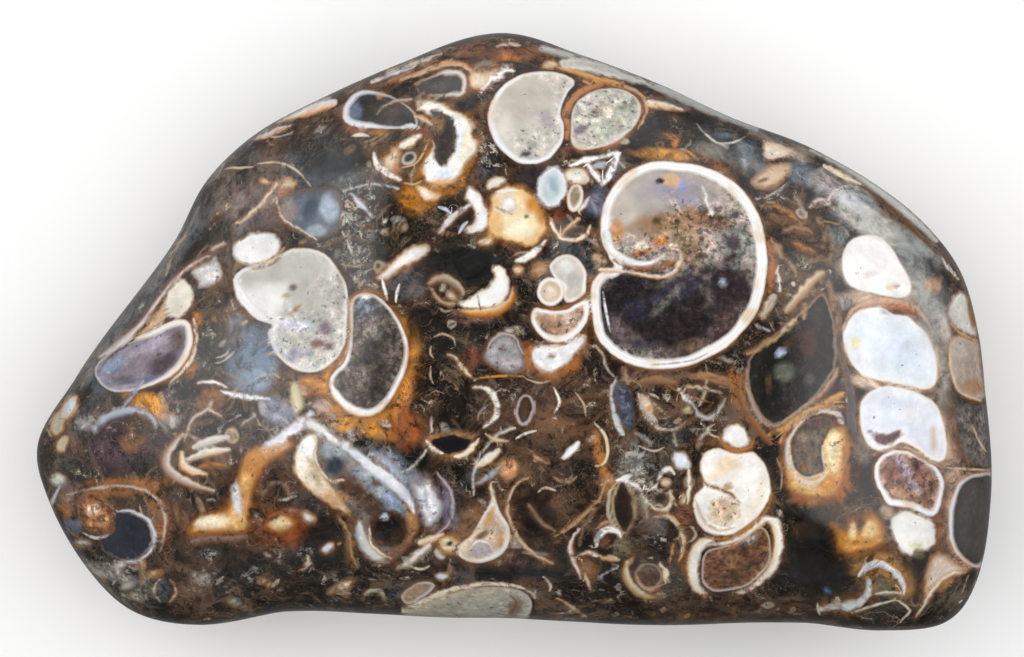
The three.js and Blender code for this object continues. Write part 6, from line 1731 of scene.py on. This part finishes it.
# %% Splinters and the smallest shells
SMALL = 600
picked = rng.choice(len(points), SMALL, p=weight)
crowd = step_between(0.4, 0.62, cloud(points, 2.3, seed=7))  # where the hash lies thick and pale
for number, middle, heading in zip(picked, points[picked], directions(SMALL)):
    if quiet_share[number] > 0.5:
        continue
    ring = rng.random() < 0.2
    size = rng.uniform(0.1, 0.34) if ring else rng.uniform(0.15, 0.5)
    flat = rng.uniform(0.6, 0.95) if ring else rng.uniform(0.15, 0.35)
    at, depth = egg(middle, size * np.array([1.0, flat, 0.9 if ring else 0.5]), heading)
    color = rng.choice(["#3a2c22", "#8c6c4c", "#a39a90", "#5a4434", "#b59a78", "#d8cdb8"])
    wall_color = rng.choice(["#b59a78", "#d8c6a4", "#8c6c4c", "#e6e0d6"])
    put("chambers", at, np.maximum(depth, 0.09 - layers["chambers"]["depth"][at]),
        fill=linear(color), shell=linear(wall_color), wall=0.05 if ring else 0.0, grain=0.6,
        ragged=0.03, solid=0.4 + 0.4 * crowd[number])
print("small shells and splinters:", SMALL)

# %% Broken shell through all the mud
CRUMBS = 950
SMALLEST_CRUMB = 0.35  # mm: the smallest radius that a crumb is bent to
picked = rng.choice(len(points), CRUMBS, p=weight)
headings = directions(CRUMBS)
leaning = np.sum(headings * normals[picked], axis=1)[:, None]
headings -= 0.85 * leaning * normals[picked]  # mostly along the skin, which then cuts them thin
headings /= np.linalg.norm(headings, axis=1)[:, None]
room = 1 - step_between(0.02, 0.15, layers["chambers"]["depth"]) + 0.3 * quiet_share
PALE = ("#b59a78", "#cdbfa8", "#a39a90", "#d8c6a4", "#e6e0d6", "#c8ccd0")
DARK = ("#6e5038", "#7c5c40", "#5a4636", "#8a7460", "#6c5a50")
for number, middle, heading, size in zip(picked, points[picked], headings, rng.random(CRUMBS) ** 2.5):
    if quiet_share[number] > 0.5:
        continue
    radius = SMALLEST_CRUMB + 2.3 * size
    thick = rng.uniform(0.018, 0.035) + 0.03 * rng.random() * math.sqrt(size)
    spread = rng.uniform(0.5, 0.93)  # cosine of the cone's half angle
    gap = rng.uniform(0.12, 0.2)  # mm between the leaves of a shell
    leaves = rng.choice([1, 1, 1, 1, 1, 1, 2])  # one shell in seven has split in two
    pale = rng.random() < 0.08 + 0.4 * crowd[number]
    color = linear(rng.choice(PALE if pale else DARK))
    middle = middle - heading * radius
    at = np.flatnonzero(np.abs(points - middle).max(axis=1) < radius + 0.5)
    from_middle = points[at] - middle
    away = np.linalg.norm(from_middle, axis=1) + 1e-6
    past_cone = np.maximum(0, spread - from_middle @ heading / away) * radius
    # A zigzag that crosses zero at each leaf, so that parallel leaves are one line
    side = away - radius
    if leaves > 1:
        phase = np.mod(np.clip(side, -0.5 * gap, (leaves - 0.5) * gap) + 0.5 * gap, 2 * gap)
        overshoot = np.maximum(0, np.maximum(-0.5 * gap - side, side - (leaves - 0.5) * gap))
        side = np.where(overshoot > 0, FAR, 0.5 * gap - np.abs(phase - gap))
    put_line("crumbs", at, side, thick - past_cone - room[at], color, color,
             rng.uniform(0.25, 0.6) + 0.3 * crowd[number], ragged=0.03)
print("crumbs of shell:", CRUMBS)

# %% [markdown]
# ## What the points carry
#
# Each layer's depths and colours go with the mesh as point attributes, which the material reads by
# name and which turn and travel with the stone.

# %% Attributes
def carry(name, kind, values):
    """Stores one value per mesh point under a name."""
    attribute = stone_mesh.attributes.new(name, kind, "POINT")
    key = {"FLOAT": "value", "FLOAT_VECTOR": "vector", "FLOAT_COLOR": "color"}[kind]
    attribute.data.foreach_set(key, np.ascontiguousarray(values, dtype=np.float32).ravel())


def with_last(rgb, last):
    """Colours with one more number after each."""
    return np.concatenate([rgb, np.reshape(last, (-1, 1))], axis=1)


busy = step_between(0.03, 0.16, layers["chambers"]["depth"]) * (1 - quiet_share)
# A shape that is placed from above would run straight down a steep side: its edge is torn there
TORN = 0.07  # mm
steep = step_between(0.55, 0.95, 1 - normals[:, 2]) * (1 - hidden)
carry("mud", "FLOAT_COLOR", with_last(mud, busy))
# The veils carry painted reflection as well as milky quartz
carry("veil_and_sheen", "FLOAT_COLOR", with_last(veil_and_sheen_colors, veil_and_sheen_share))
carry("frost", "FLOAT", frost)
for name, kept in layers.items():
    carry(name + "_fill", "FLOAT_COLOR", with_last(kept["fill"], kept["grain"]))
    carry(name + "_shell", "FLOAT_COLOR", with_last(kept["shell"], kept["ragged"] + TORN * steep))
    carry(name + "_depth", "FLOAT_VECTOR", np.stack([kept["depth"], kept["wall"], kept["solid"]], axis=1))
stone_mesh.update()
print("attributes on the mesh:", len(stone_mesh.attributes))

# %% [markdown]
# ## Tumbled agate
#
# The stone is chalcedony, a fine-grained quartz, tumbled in ever finer grit until it reflects like
# glass. Quartz has an index of about 1.54. The mud holds tiny pits, so it is a little duller than
# the shell and the agate. The colours lie in the stone, except the painted reflections among the
# veils and stains, and the polish is one smooth coat.

# %% Material and a helper for its nodes
agate = bpy.data.materials.new("tumbled_agate")
agate.use_nodes = True
tree = agate.node_tree
tree.nodes.clear()


def node(kind, inputs=(), **settings):
    """Adds a node. Settings are its properties. Inputs map a socket's name or number to a value,
    or to the output of another node, which is linked."""
    made = tree.nodes.new(kind)
    for key, value in settings.items():
        setattr(made, key, value)
    for key, value in dict(inputs).items():
        if isinstance(value, bpy.types.NodeSocket):
            tree.links.new(value, made.inputs[key])
        else:
            made.inputs[key].default_value = value
    return made


def rgba(color):
    """A palette colour as the four numbers of a socket."""
    return (*linear(color), 1.0)


print("material:", agate.name)


# %% Noises, each at the size of what it draws
place = node("ShaderNodeTexCoord").outputs["Object"]


def noise(size, detail=3.0, roughness=0.5, distortion=0.0, at=place):
    """Settings of a noise whose blotches are `size` mm across."""
    return {"Vector": at, "Scale": 1 / (size * MM), "Detail": detail, "Roughness": roughness,
            "Distortion": distortion}


ragged_edge = node("ShaderNodeTexNoise", noise(0.3, 4))
silt = node("ShaderNodeTexNoise", noise(1.1, 9, 0.7, 0.8))
wisps = node("ShaderNodeTexNoise", noise(1.3, 3, 0.5, 1.5))
hairs = node("ShaderNodeTexNoise", noise(0.6, 3, 0.55, 2.5))
specks = node("ShaderNodeTexNoise", noise(0.22, 3))
mottle = node("ShaderNodeTexNoise", noise(0.3, 7, 0.72))
milkiness = node("ShaderNodeTexNoise", noise(0.9, 4, 0.6))
shreds = node("ShaderNodeTexNoise", noise(1.7, 8, 0.74, 1.2))
flecks = node("ShaderNodeTexNoise", noise(0.7, 7, 0.8, 0.5))
print("nodes with the noises:", len(tree.nodes))


# %% Mud: silt, wisps and grit
def between(low, high, value, start=0.0, end=1.0):
    """Inputs of a Map Range that goes from start at low to end at high."""
    return {"Value": value, "From Min": low, "From Max": high, "To Min": start, "To Max": end}


base = node("ShaderNodeAttribute", attribute_name="mud")
lift = node("ShaderNodeMapRange", between(0.38, 0.64, silt.outputs["Fac"], 0.35, 1.85))
mud_color = node("ShaderNodeVectorMath", {0: base.outputs["Color"], "Scale": lift.outputs[0]},
                 operation="SCALE").outputs[0]
for source, low, high, paint, strength in (
    (shreds, 0.55, 0.6, "#6e5a48", 0.6), (flecks, 0.58, 0.62, "#94836e", 0.6),
    (flecks, 0.645, 0.66, "#d6cfc2", 0.8), (shreds, 0.46, 0.42, "#15120f", 0.7),
    (flecks, 0.455, 0.41, "#0f0d0c", 0.75),
):
    torn = node("ShaderNodeMapRange", between(low, high, source.outputs["Fac"], 0, strength))
    torn = node("ShaderNodeMath", {0: torn.outputs[0], 1: base.outputs["Alpha"]}, operation="MULTIPLY")
    mud_color = node("ShaderNodeMix", {"Factor": torn.outputs[0], 6: mud_color, 7: rgba(paint)},
                     data_type="RGBA").outputs[2]
for source, width, paint, strength in (
    (wisps, 0.012, "#80603f", 0.5), (hairs, 0.016, "#9a8a74", 0.35),
):
    off_line = node("ShaderNodeMath", {0: source.outputs["Fac"], 1: 0.5}, operation="SUBTRACT")
    off_line = node("ShaderNodeMath", {0: off_line.outputs[0]}, operation="ABSOLUTE")
    line = node("ShaderNodeMapRange", between(width, 0.2 * width, off_line.outputs[0], 0, strength))
    patchy = node("ShaderNodeMapRange", between(0.45, 0.6, milkiness.outputs["Fac"]))
    line = node("ShaderNodeMath", {0: line.outputs[0], 1: patchy.outputs[0]}, operation="MULTIPLY")
    line = node("ShaderNodeMath", {0: line.outputs[0], 1: base.outputs["Alpha"]}, operation="MULTIPLY")
    mud_color = node("ShaderNodeMix", {"Factor": line.outputs[0], 6: mud_color, 7: rgba(paint)},
                     data_type="RGBA").outputs[2]
print("nodes with the mud:", len(tree.nodes))

# %% Small shells in the mud: arcs of thin circles, each round its own middle
warped = node("ShaderNodeVectorMath", {0: ragged_edge.outputs["Color"], "Scale": 0.42 * MM},
              operation="SCALE")
warped = node("ShaderNodeVectorMath", {0: place, 1: warped.outputs[0]})
for spacing, radius, width, kept_share in (
    (0.9, 0.34, 0.03, 0.14), (1.5, 0.36, 0.035, 0.28), (2.3, 0.4, 0.035, 0.45),
):
    cells = node("ShaderNodeTexVoronoi", {"Vector": warped.outputs[0], "Scale": 1 / (spacing * MM)})
    off_ring = node("ShaderNodeMath", {0: cells.outputs["Distance"], 1: radius},
                    operation="SUBTRACT")
    off_ring = node("ShaderNodeMath", {0: off_ring.outputs[0]}, operation="ABSOLUTE")
    half_width = width / spacing / 2
    ring = node("ShaderNodeMapRange", between(1.6 * half_width, 0.6 * half_width,
                                              off_ring.outputs[0]))
    broken = node("ShaderNodeTexNoise", noise(0.8 * spacing, 2, 0.5, 0.0))
    broken = node("ShaderNodeMapRange", between(0.5, 0.62, broken.outputs["Fac"]))
    chance = node("ShaderNodeSeparateColor", {0: cells.outputs["Color"]})
    chosen = node("ShaderNodeMath", {0: chance.outputs[0], 1: 1 - kept_share},
                  operation="GREATER_THAN")
    strength = node("ShaderNodeMapRange", between(0, 1, chance.outputs[1], 0.1, 0.55))
    for factor in (broken, chosen, strength, base):
        output = factor.outputs["Alpha"] if factor is base else factor.outputs[0]
        ring = node("ShaderNodeMath", {0: ring.outputs[0], 1: output}, operation="MULTIPLY")
    paint = node("ShaderNodeMix", {"Factor": chance.outputs[2], 6: rgba("#7c5f44"),
                                   7: rgba("#bfb4a2")}, data_type="RGBA")
    mud_color = node("ShaderNodeMix", {"Factor": ring.outputs[0], 6: mud_color,
                                       7: paint.outputs[2]}, data_type="RGBA").outputs[2]
print("nodes with the small shells:", len(tree.nodes))

# %% Frost: pale crystals between black gaps, and only where the mud is frosted
frosty_mud = node("ShaderNodeAttribute", attribute_name="frost").outputs["Fac"]
for source, low, high, paint in (
    (specks, 0.55, 0.45, "#151413"), (mottle, 0.53, 0.61, "#b9b5ad"), (hairs, 0.58, 0.62, "#7c7870"),
    (flecks, 0.45, 0.42, "#0f0e0d"), (flecks, 0.58, 0.6, "#d6cfc0"),
):
    crystals = node("ShaderNodeMapRange", between(low, high, source.outputs["Fac"], 0, 0.8))
    crystals = node("ShaderNodeMath", {0: crystals.outputs[0], 1: frosty_mud},
                    operation="MULTIPLY")
    mud_color = node("ShaderNodeMix", {"Factor": crystals.outputs[0], 6: mud_color,
                                       7: rgba(paint)}, data_type="RGBA").outputs[2]
color = mud_color
print("nodes with the frost:", len(tree.nodes))

# %% Fossils over the mud, layer by layer
EDGE = 0.02  # mm either side of a crisp edge over which it is blended
INNER_EDGE = 0.06  # mm over which a shell passes into its fill
FRAY = 6.0  # how far noise moves an edge, as a multiple of its raggedness
LAMINA = 0.12  # mm from one growth layer of a shell to the next
THINNEST_WALL = 0.02  # mm: a shape with less is a flake, which has no wall of its own
off_centre = node("ShaderNodeMath", {0: ragged_edge.outputs["Fac"], 1: 0.5}, operation="SUBTRACT")
mottled = node("ShaderNodeMath", {0: mottle.outputs["Fac"], 1: 0.5}, operation="SUBTRACT")
frosty = node("ShaderNodeMapRange", between(0.57, 0.66, mottle.outputs["Fac"]))
stain_share = node("ShaderNodeMapRange", between(0.4, 0.6, milkiness.outputs["Fac"], 0.0, 1.0))
cover = None
for name in LAYERS:
    fill = node("ShaderNodeAttribute", attribute_name=name + "_fill")
    shell = node("ShaderNodeAttribute", attribute_name=name + "_shell")
    stored = node("ShaderNodeAttribute", attribute_name=name + "_depth")
    stored = node("ShaderNodeSeparateXYZ", {0: stored.outputs["Vector"]})
    frayed = node("ShaderNodeMath", {0: shell.outputs["Alpha"], 1: FRAY}, operation="MULTIPLY")
    depth = node("ShaderNodeMath", {0: off_centre.outputs[0], 1: frayed.outputs[0],
                                    2: stored.outputs["X"]}, operation="MULTIPLY_ADD")
    if name in LINE_LAYERS:
        thin_out = node("ShaderNodeMath", {0: stored.outputs["Y"], 1: -1.0}, operation="MULTIPLY")
        across = node("ShaderNodeMapRange", between(stored.outputs["Y"], thin_out.outputs[0],
                                                    depth.outputs[0]))
        depth = node("ShaderNodeMath", {0: depth.outputs[0]}, operation="ABSOLUTE")
        depth = node("ShaderNodeMath", {0: depth.outputs[0], 1: stored.outputs["Y"]},
                     operation="SUBTRACT")
    softness = node("ShaderNodeMath", {0: shell.outputs["Alpha"], 1: 1.0, 2: EDGE},
                    operation="MULTIPLY_ADD").outputs[0]
    inward = node("ShaderNodeMath", {0: softness, 1: -1.0}, operation="MULTIPLY").outputs[0]
    inside = node("ShaderNodeMapRange", between(softness, inward, depth.outputs[0]))
    inside = node("ShaderNodeMath", {0: inside.outputs[0], 1: stored.outputs["Z"]},
                  operation="MULTIPLY")
    # Agate: milky clouds and a mottle as strong as the fill is grainy, with specks and sparkles
    milky = node("ShaderNodeMapRange", between(0.3, 0.7, milkiness.outputs["Fac"], 0.82, 1.12))
    rough = node("ShaderNodeMath", {0: fill.outputs["Alpha"], 1: 4.5}, operation="MULTIPLY")
    rough = node("ShaderNodeMath", {0: mottled.outputs[0], 1: rough.outputs[0],
                                    2: milky.outputs[0]}, operation="MULTIPLY_ADD")
    rough = node("ShaderNodeMath", {0: rough.outputs[0], 1: 0.25}, operation="MAXIMUM")
    cloudy = node("ShaderNodeVectorMath", {0: fill.outputs["Color"], "Scale": rough.outputs[0]},
                  operation="SCALE")
    hues = node("ShaderNodeMix", {"Factor": fill.outputs["Alpha"], 6: (0.5, 0.5, 0.5, 1.0),
                                  7: mottle.outputs["Color"]}, data_type="RGBA")
    hues = node("ShaderNodeVectorMath", {0: hues.outputs[2], "Scale": 2.0}, operation="SCALE")
    cloudy = node("ShaderNodeMix", {"Factor": 0.55, 6: cloudy.outputs[0], 7: hues.outputs[0]},
                  data_type="RGBA", blend_type="MULTIPLY")
    limit = node("ShaderNodeMapRange", between(0, 1, fill.outputs["Alpha"], 0.72, 0.5))
    excess = node("ShaderNodeMath", {0: specks.outputs["Fac"], 1: limit.outputs[0]},
                  operation="SUBTRACT")
    speck = node("ShaderNodeMapRange", between(0.0, 0.05, excess.outputs[0], 0.0, 0.65))
    grainy = node("ShaderNodeMix", {"Factor": speck.outputs[0], 6: cloudy.outputs[2],
                                    7: rgba("#33282a")}, data_type="RGBA")
    glint = node("ShaderNodeMath", {0: frosty.outputs[0], 1: fill.outputs["Alpha"]},
                 operation="MULTIPLY")
    sparkle = node("ShaderNodeVectorMath", {0: fill.outputs["Color"], 1: (1.9, 1.9, 1.9),
                                          2: (0.03, 0.03, 0.03)}, operation="MULTIPLY_ADD")
    grainy = node("ShaderNodeMix", {"Factor": glint.outputs[0], 6: grainy.outputs[2],
                                    7: sparkle.outputs[0]}, data_type="RGBA")
    # Shell: iron-stained at its outer face, white within, with faint laminae along the wall
    rusty = node("ShaderNodeMapRange", between(-0.07, 0.02, depth.outputs[0], 0.0, 0.75))
    rusty = node("ShaderNodeMath", {0: rusty.outputs[0], 1: stain_share.outputs[0]},
                 operation="MULTIPLY")
    if name in LINE_LAYERS:
        rusty = node("ShaderNodeMapRange", between(-0.03, 0.02, depth.outputs[0], 0.0, 0.5))
        body = node("ShaderNodeMix", {"Factor": across.outputs[0], 6: grainy.outputs[2],
                                      7: shell.outputs["Color"]}, data_type="RGBA")
        buried = node("ShaderNodeMapRange", between(0.42, 0.5, flecks.outputs["Fac"], 0.3, 1.0))
        inside = node("ShaderNodeMath", {0: inside.outputs[0], 1: buried.outputs[0]},
                      operation="MULTIPLY")
    else:
        past_wall = node("ShaderNodeMath", {0: depth.outputs[0], 1: stored.outputs["Y"]})
        in_wall = node("ShaderNodeMapRange", between(-INNER_EDGE, INNER_EDGE,
                                                     past_wall.outputs[0]))
        has_wall = node("ShaderNodeMath", {0: stored.outputs["Y"], 1: THINNEST_WALL},
                        operation="GREATER_THAN")
        in_wall = node("ShaderNodeMath", {0: in_wall.outputs[0], 1: has_wall.outputs[0]},
                       operation="MULTIPLY")
        waves = node("ShaderNodeMath", {0: depth.outputs[0], 1: 2 * math.pi / LAMINA,
                                        2: milkiness.outputs["Fac"]}, operation="MULTIPLY_ADD")
        waves = node("ShaderNodeMath", {0: waves.outputs[0]}, operation="SINE")
        pearly = node("ShaderNodeMapRange", between(-1, 1, waves.outputs[0], 0.92, 1.0))
        wall = node("ShaderNodeVectorMath", {0: shell.outputs["Color"],
                                             "Scale": pearly.outputs[0]}, operation="SCALE")
        body = node("ShaderNodeMix", {"Factor": in_wall.outputs[0], 6: grainy.outputs[2],
                                      7: wall.outputs[0]}, data_type="RGBA")
    body = node("ShaderNodeMix", {"Factor": rusty.outputs[0], 6: body.outputs[2],
                                  7: rgba("#9c6c42")}, data_type="RGBA")
    color = node("ShaderNodeMix", {"Factor": inside.outputs[0], 6: color, 7: body.outputs[2]},
                 data_type="RGBA").outputs[2]
    if cover is None:
        cover = inside.outputs[0]
    else:
        cover = node("ShaderNodeMath", {0: cover, 1: inside.outputs[0]},
                     operation="MAXIMUM").outputs[0]
print("nodes with the fossils:", len(tree.nodes))

# %% Veils over everything: milky quartz and painted reflection
veil_and_sheen_paint = node("ShaderNodeAttribute", attribute_name="veil_and_sheen")
thin = node("ShaderNodeMapRange", between(0.42, 0.58, flecks.outputs["Fac"], 0.3, 1.0))
thin = node("ShaderNodeMath", {0: thin.outputs[0], 1: veil_and_sheen_paint.outputs["Alpha"]},
            operation="MULTIPLY")
color = node("ShaderNodeMix", {"Factor": thin.outputs[0], 6: color,
                               7: veil_and_sheen_paint.outputs["Color"]}, data_type="RGBA").outputs[2]
print("nodes with the veils:", len(tree.nodes))

# %% Polish
QUARTZ_IOR = 1.54
MUD_ROUGHNESS, SHELL_ROUGHNESS = 0.11, 0.07
PIT_DEPTH = 0.2  # mm
polish = node("ShaderNodeMapRange", between(0, 1, cover, MUD_ROUGHNESS, SHELL_ROUGHNESS))
pits = node("ShaderNodeBump", {"Height": silt.outputs["Fac"], "Strength": 0.05,
                               "Distance": PIT_DEPTH * MM})
surface = node("ShaderNodeBsdfPrincipled", {
    "Base Color": color, "Roughness": polish.outputs[0], "IOR": QUARTZ_IOR,
    "Normal": pits.outputs[0],
})
node("ShaderNodeOutputMaterial", {"Surface": surface.outputs[0]})
stone_mesh.materials.append(agate)
print("agate material:", len(tree.nodes), "nodes")

# %% [markdown]
# ## Floor, light and camera
#
# The stone lies on a white table under a broad, soft light from all round, as gem dealers light
# their stock. Two long lamps at the sides draw the pale reflections along its edges.

# %% Floor
low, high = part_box("stone")
floor_mesh = bpy.data.meshes.new("table_top")
HALF_FLOOR = 0.6  # m
corners = [(-HALF_FLOOR, -HALF_FLOOR), (HALF_FLOOR, -HALF_FLOOR), (HALF_FLOOR, HALF_FLOOR),
           (-HALF_FLOOR, HALF_FLOOR)]
floor_mesh.from_pydata([(cx, cy, low[2]) for cx, cy in corners], [], [(0, 1, 2, 3)])
table_top = bpy.data.objects.new("table_top", floor_mesh)
bpy.context.collection.objects.link(table_top)
paper = bpy.data.materials.new("white_paper")
paper.use_nodes = True
paper_surface = paper.node_tree.nodes["Principled BSDF"]
paper_surface.inputs["Base Color"].default_value = rgba("#fafafa")
paper_surface.inputs["Roughness"].default_value = 0.9
floor_mesh.materials.append(paper)
table_top.visible_glossy = False
print("table top at", round(low[2] / MM, 3), "mm")

# %% Light
world = bpy.data.worlds.new("studio")
bpy.context.scene.world = world
world.use_nodes = True
tree = world.node_tree
tree.nodes.clear()
HORIZON, ZENITH = 1.2, 0.14  # how bright the walls and the ceiling of the studio are
DIM_WALL = 0.22  # the wall behind the viewer, as a share of the far one
toward = node("ShaderNodeTexCoord").outputs["Generated"]
height = node("ShaderNodeSeparateXYZ", {0: toward})
room_light = node("ShaderNodeMapRange", between(0.25, 0.85, height.outputs["Z"], HORIZON, ZENITH))
above = node("ShaderNodeMapRange", between(-0.3, 0.2, height.outputs["Z"], 0.25, 1.0))
room_light = node("ShaderNodeMath", {0: room_light.outputs[0], 1: above.outputs[0]},
                  operation="MULTIPLY")
far_wall = node("ShaderNodeMapRange", between(-0.7, 0.3, height.outputs["Y"], DIM_WALL, 1.0))
room_light = node("ShaderNodeMath", {0: room_light.outputs[0], 1: far_wall.outputs[0]},
                  operation="MULTIPLY")
room = node("ShaderNodeBackground", {"Strength": room_light.outputs[0]})
node("ShaderNodeOutputWorld", {"Surface": room.outputs[0]})


def lamp(name, size, energy, position, turn, mirrored=True):
    """A flat rectangular lamp, turned by angles in degrees about X, Y and Z. One that isn't
    mirrored lights the stone but makes no reflection, as a lamp behind a polarising sheet does."""
    data = bpy.data.lights.new(name, "AREA")
    data.shape = "RECTANGLE"
    data.size, data.size_y = size
    data.energy = energy
    made = bpy.data.objects.new(name, data)
    made.location = position
    made.rotation_euler = [math.radians(angle) for angle in turn]
    made.visible_glossy = mirrored
    bpy.context.collection.objects.link(made)


lamp("left_box", (0.14, 0.3), 0.2, (-0.2, 0.06, 0.22), (0, -42, 0))
lamp("right_box", (0.14, 0.3), 0.2, (0.2, 0.06, 0.22), (0, 42, 0))
lamp("overhead_sheet", (0.4, 0.4), 1.0, (0, 0, 0.35), (0, 0, 0), mirrored=False)
bpy.context.scene.view_settings.view_transform = "Standard"

# %% Camera
lens = bpy.data.cameras.new("overhead")
lens.lens = 200
lens.sensor_width = 36
lens.clip_start = 0.01
camera = bpy.data.objects.new("overhead", lens)
camera.location = (EYE[0] * MM, EYE[1] * MM, EYE[2] * MM)
bpy.context.collection.objects.link(camera)
bpy.context.scene.camera = camera
print("camera:", EYE[2], "mm up, lens", lens.lens, "mm")
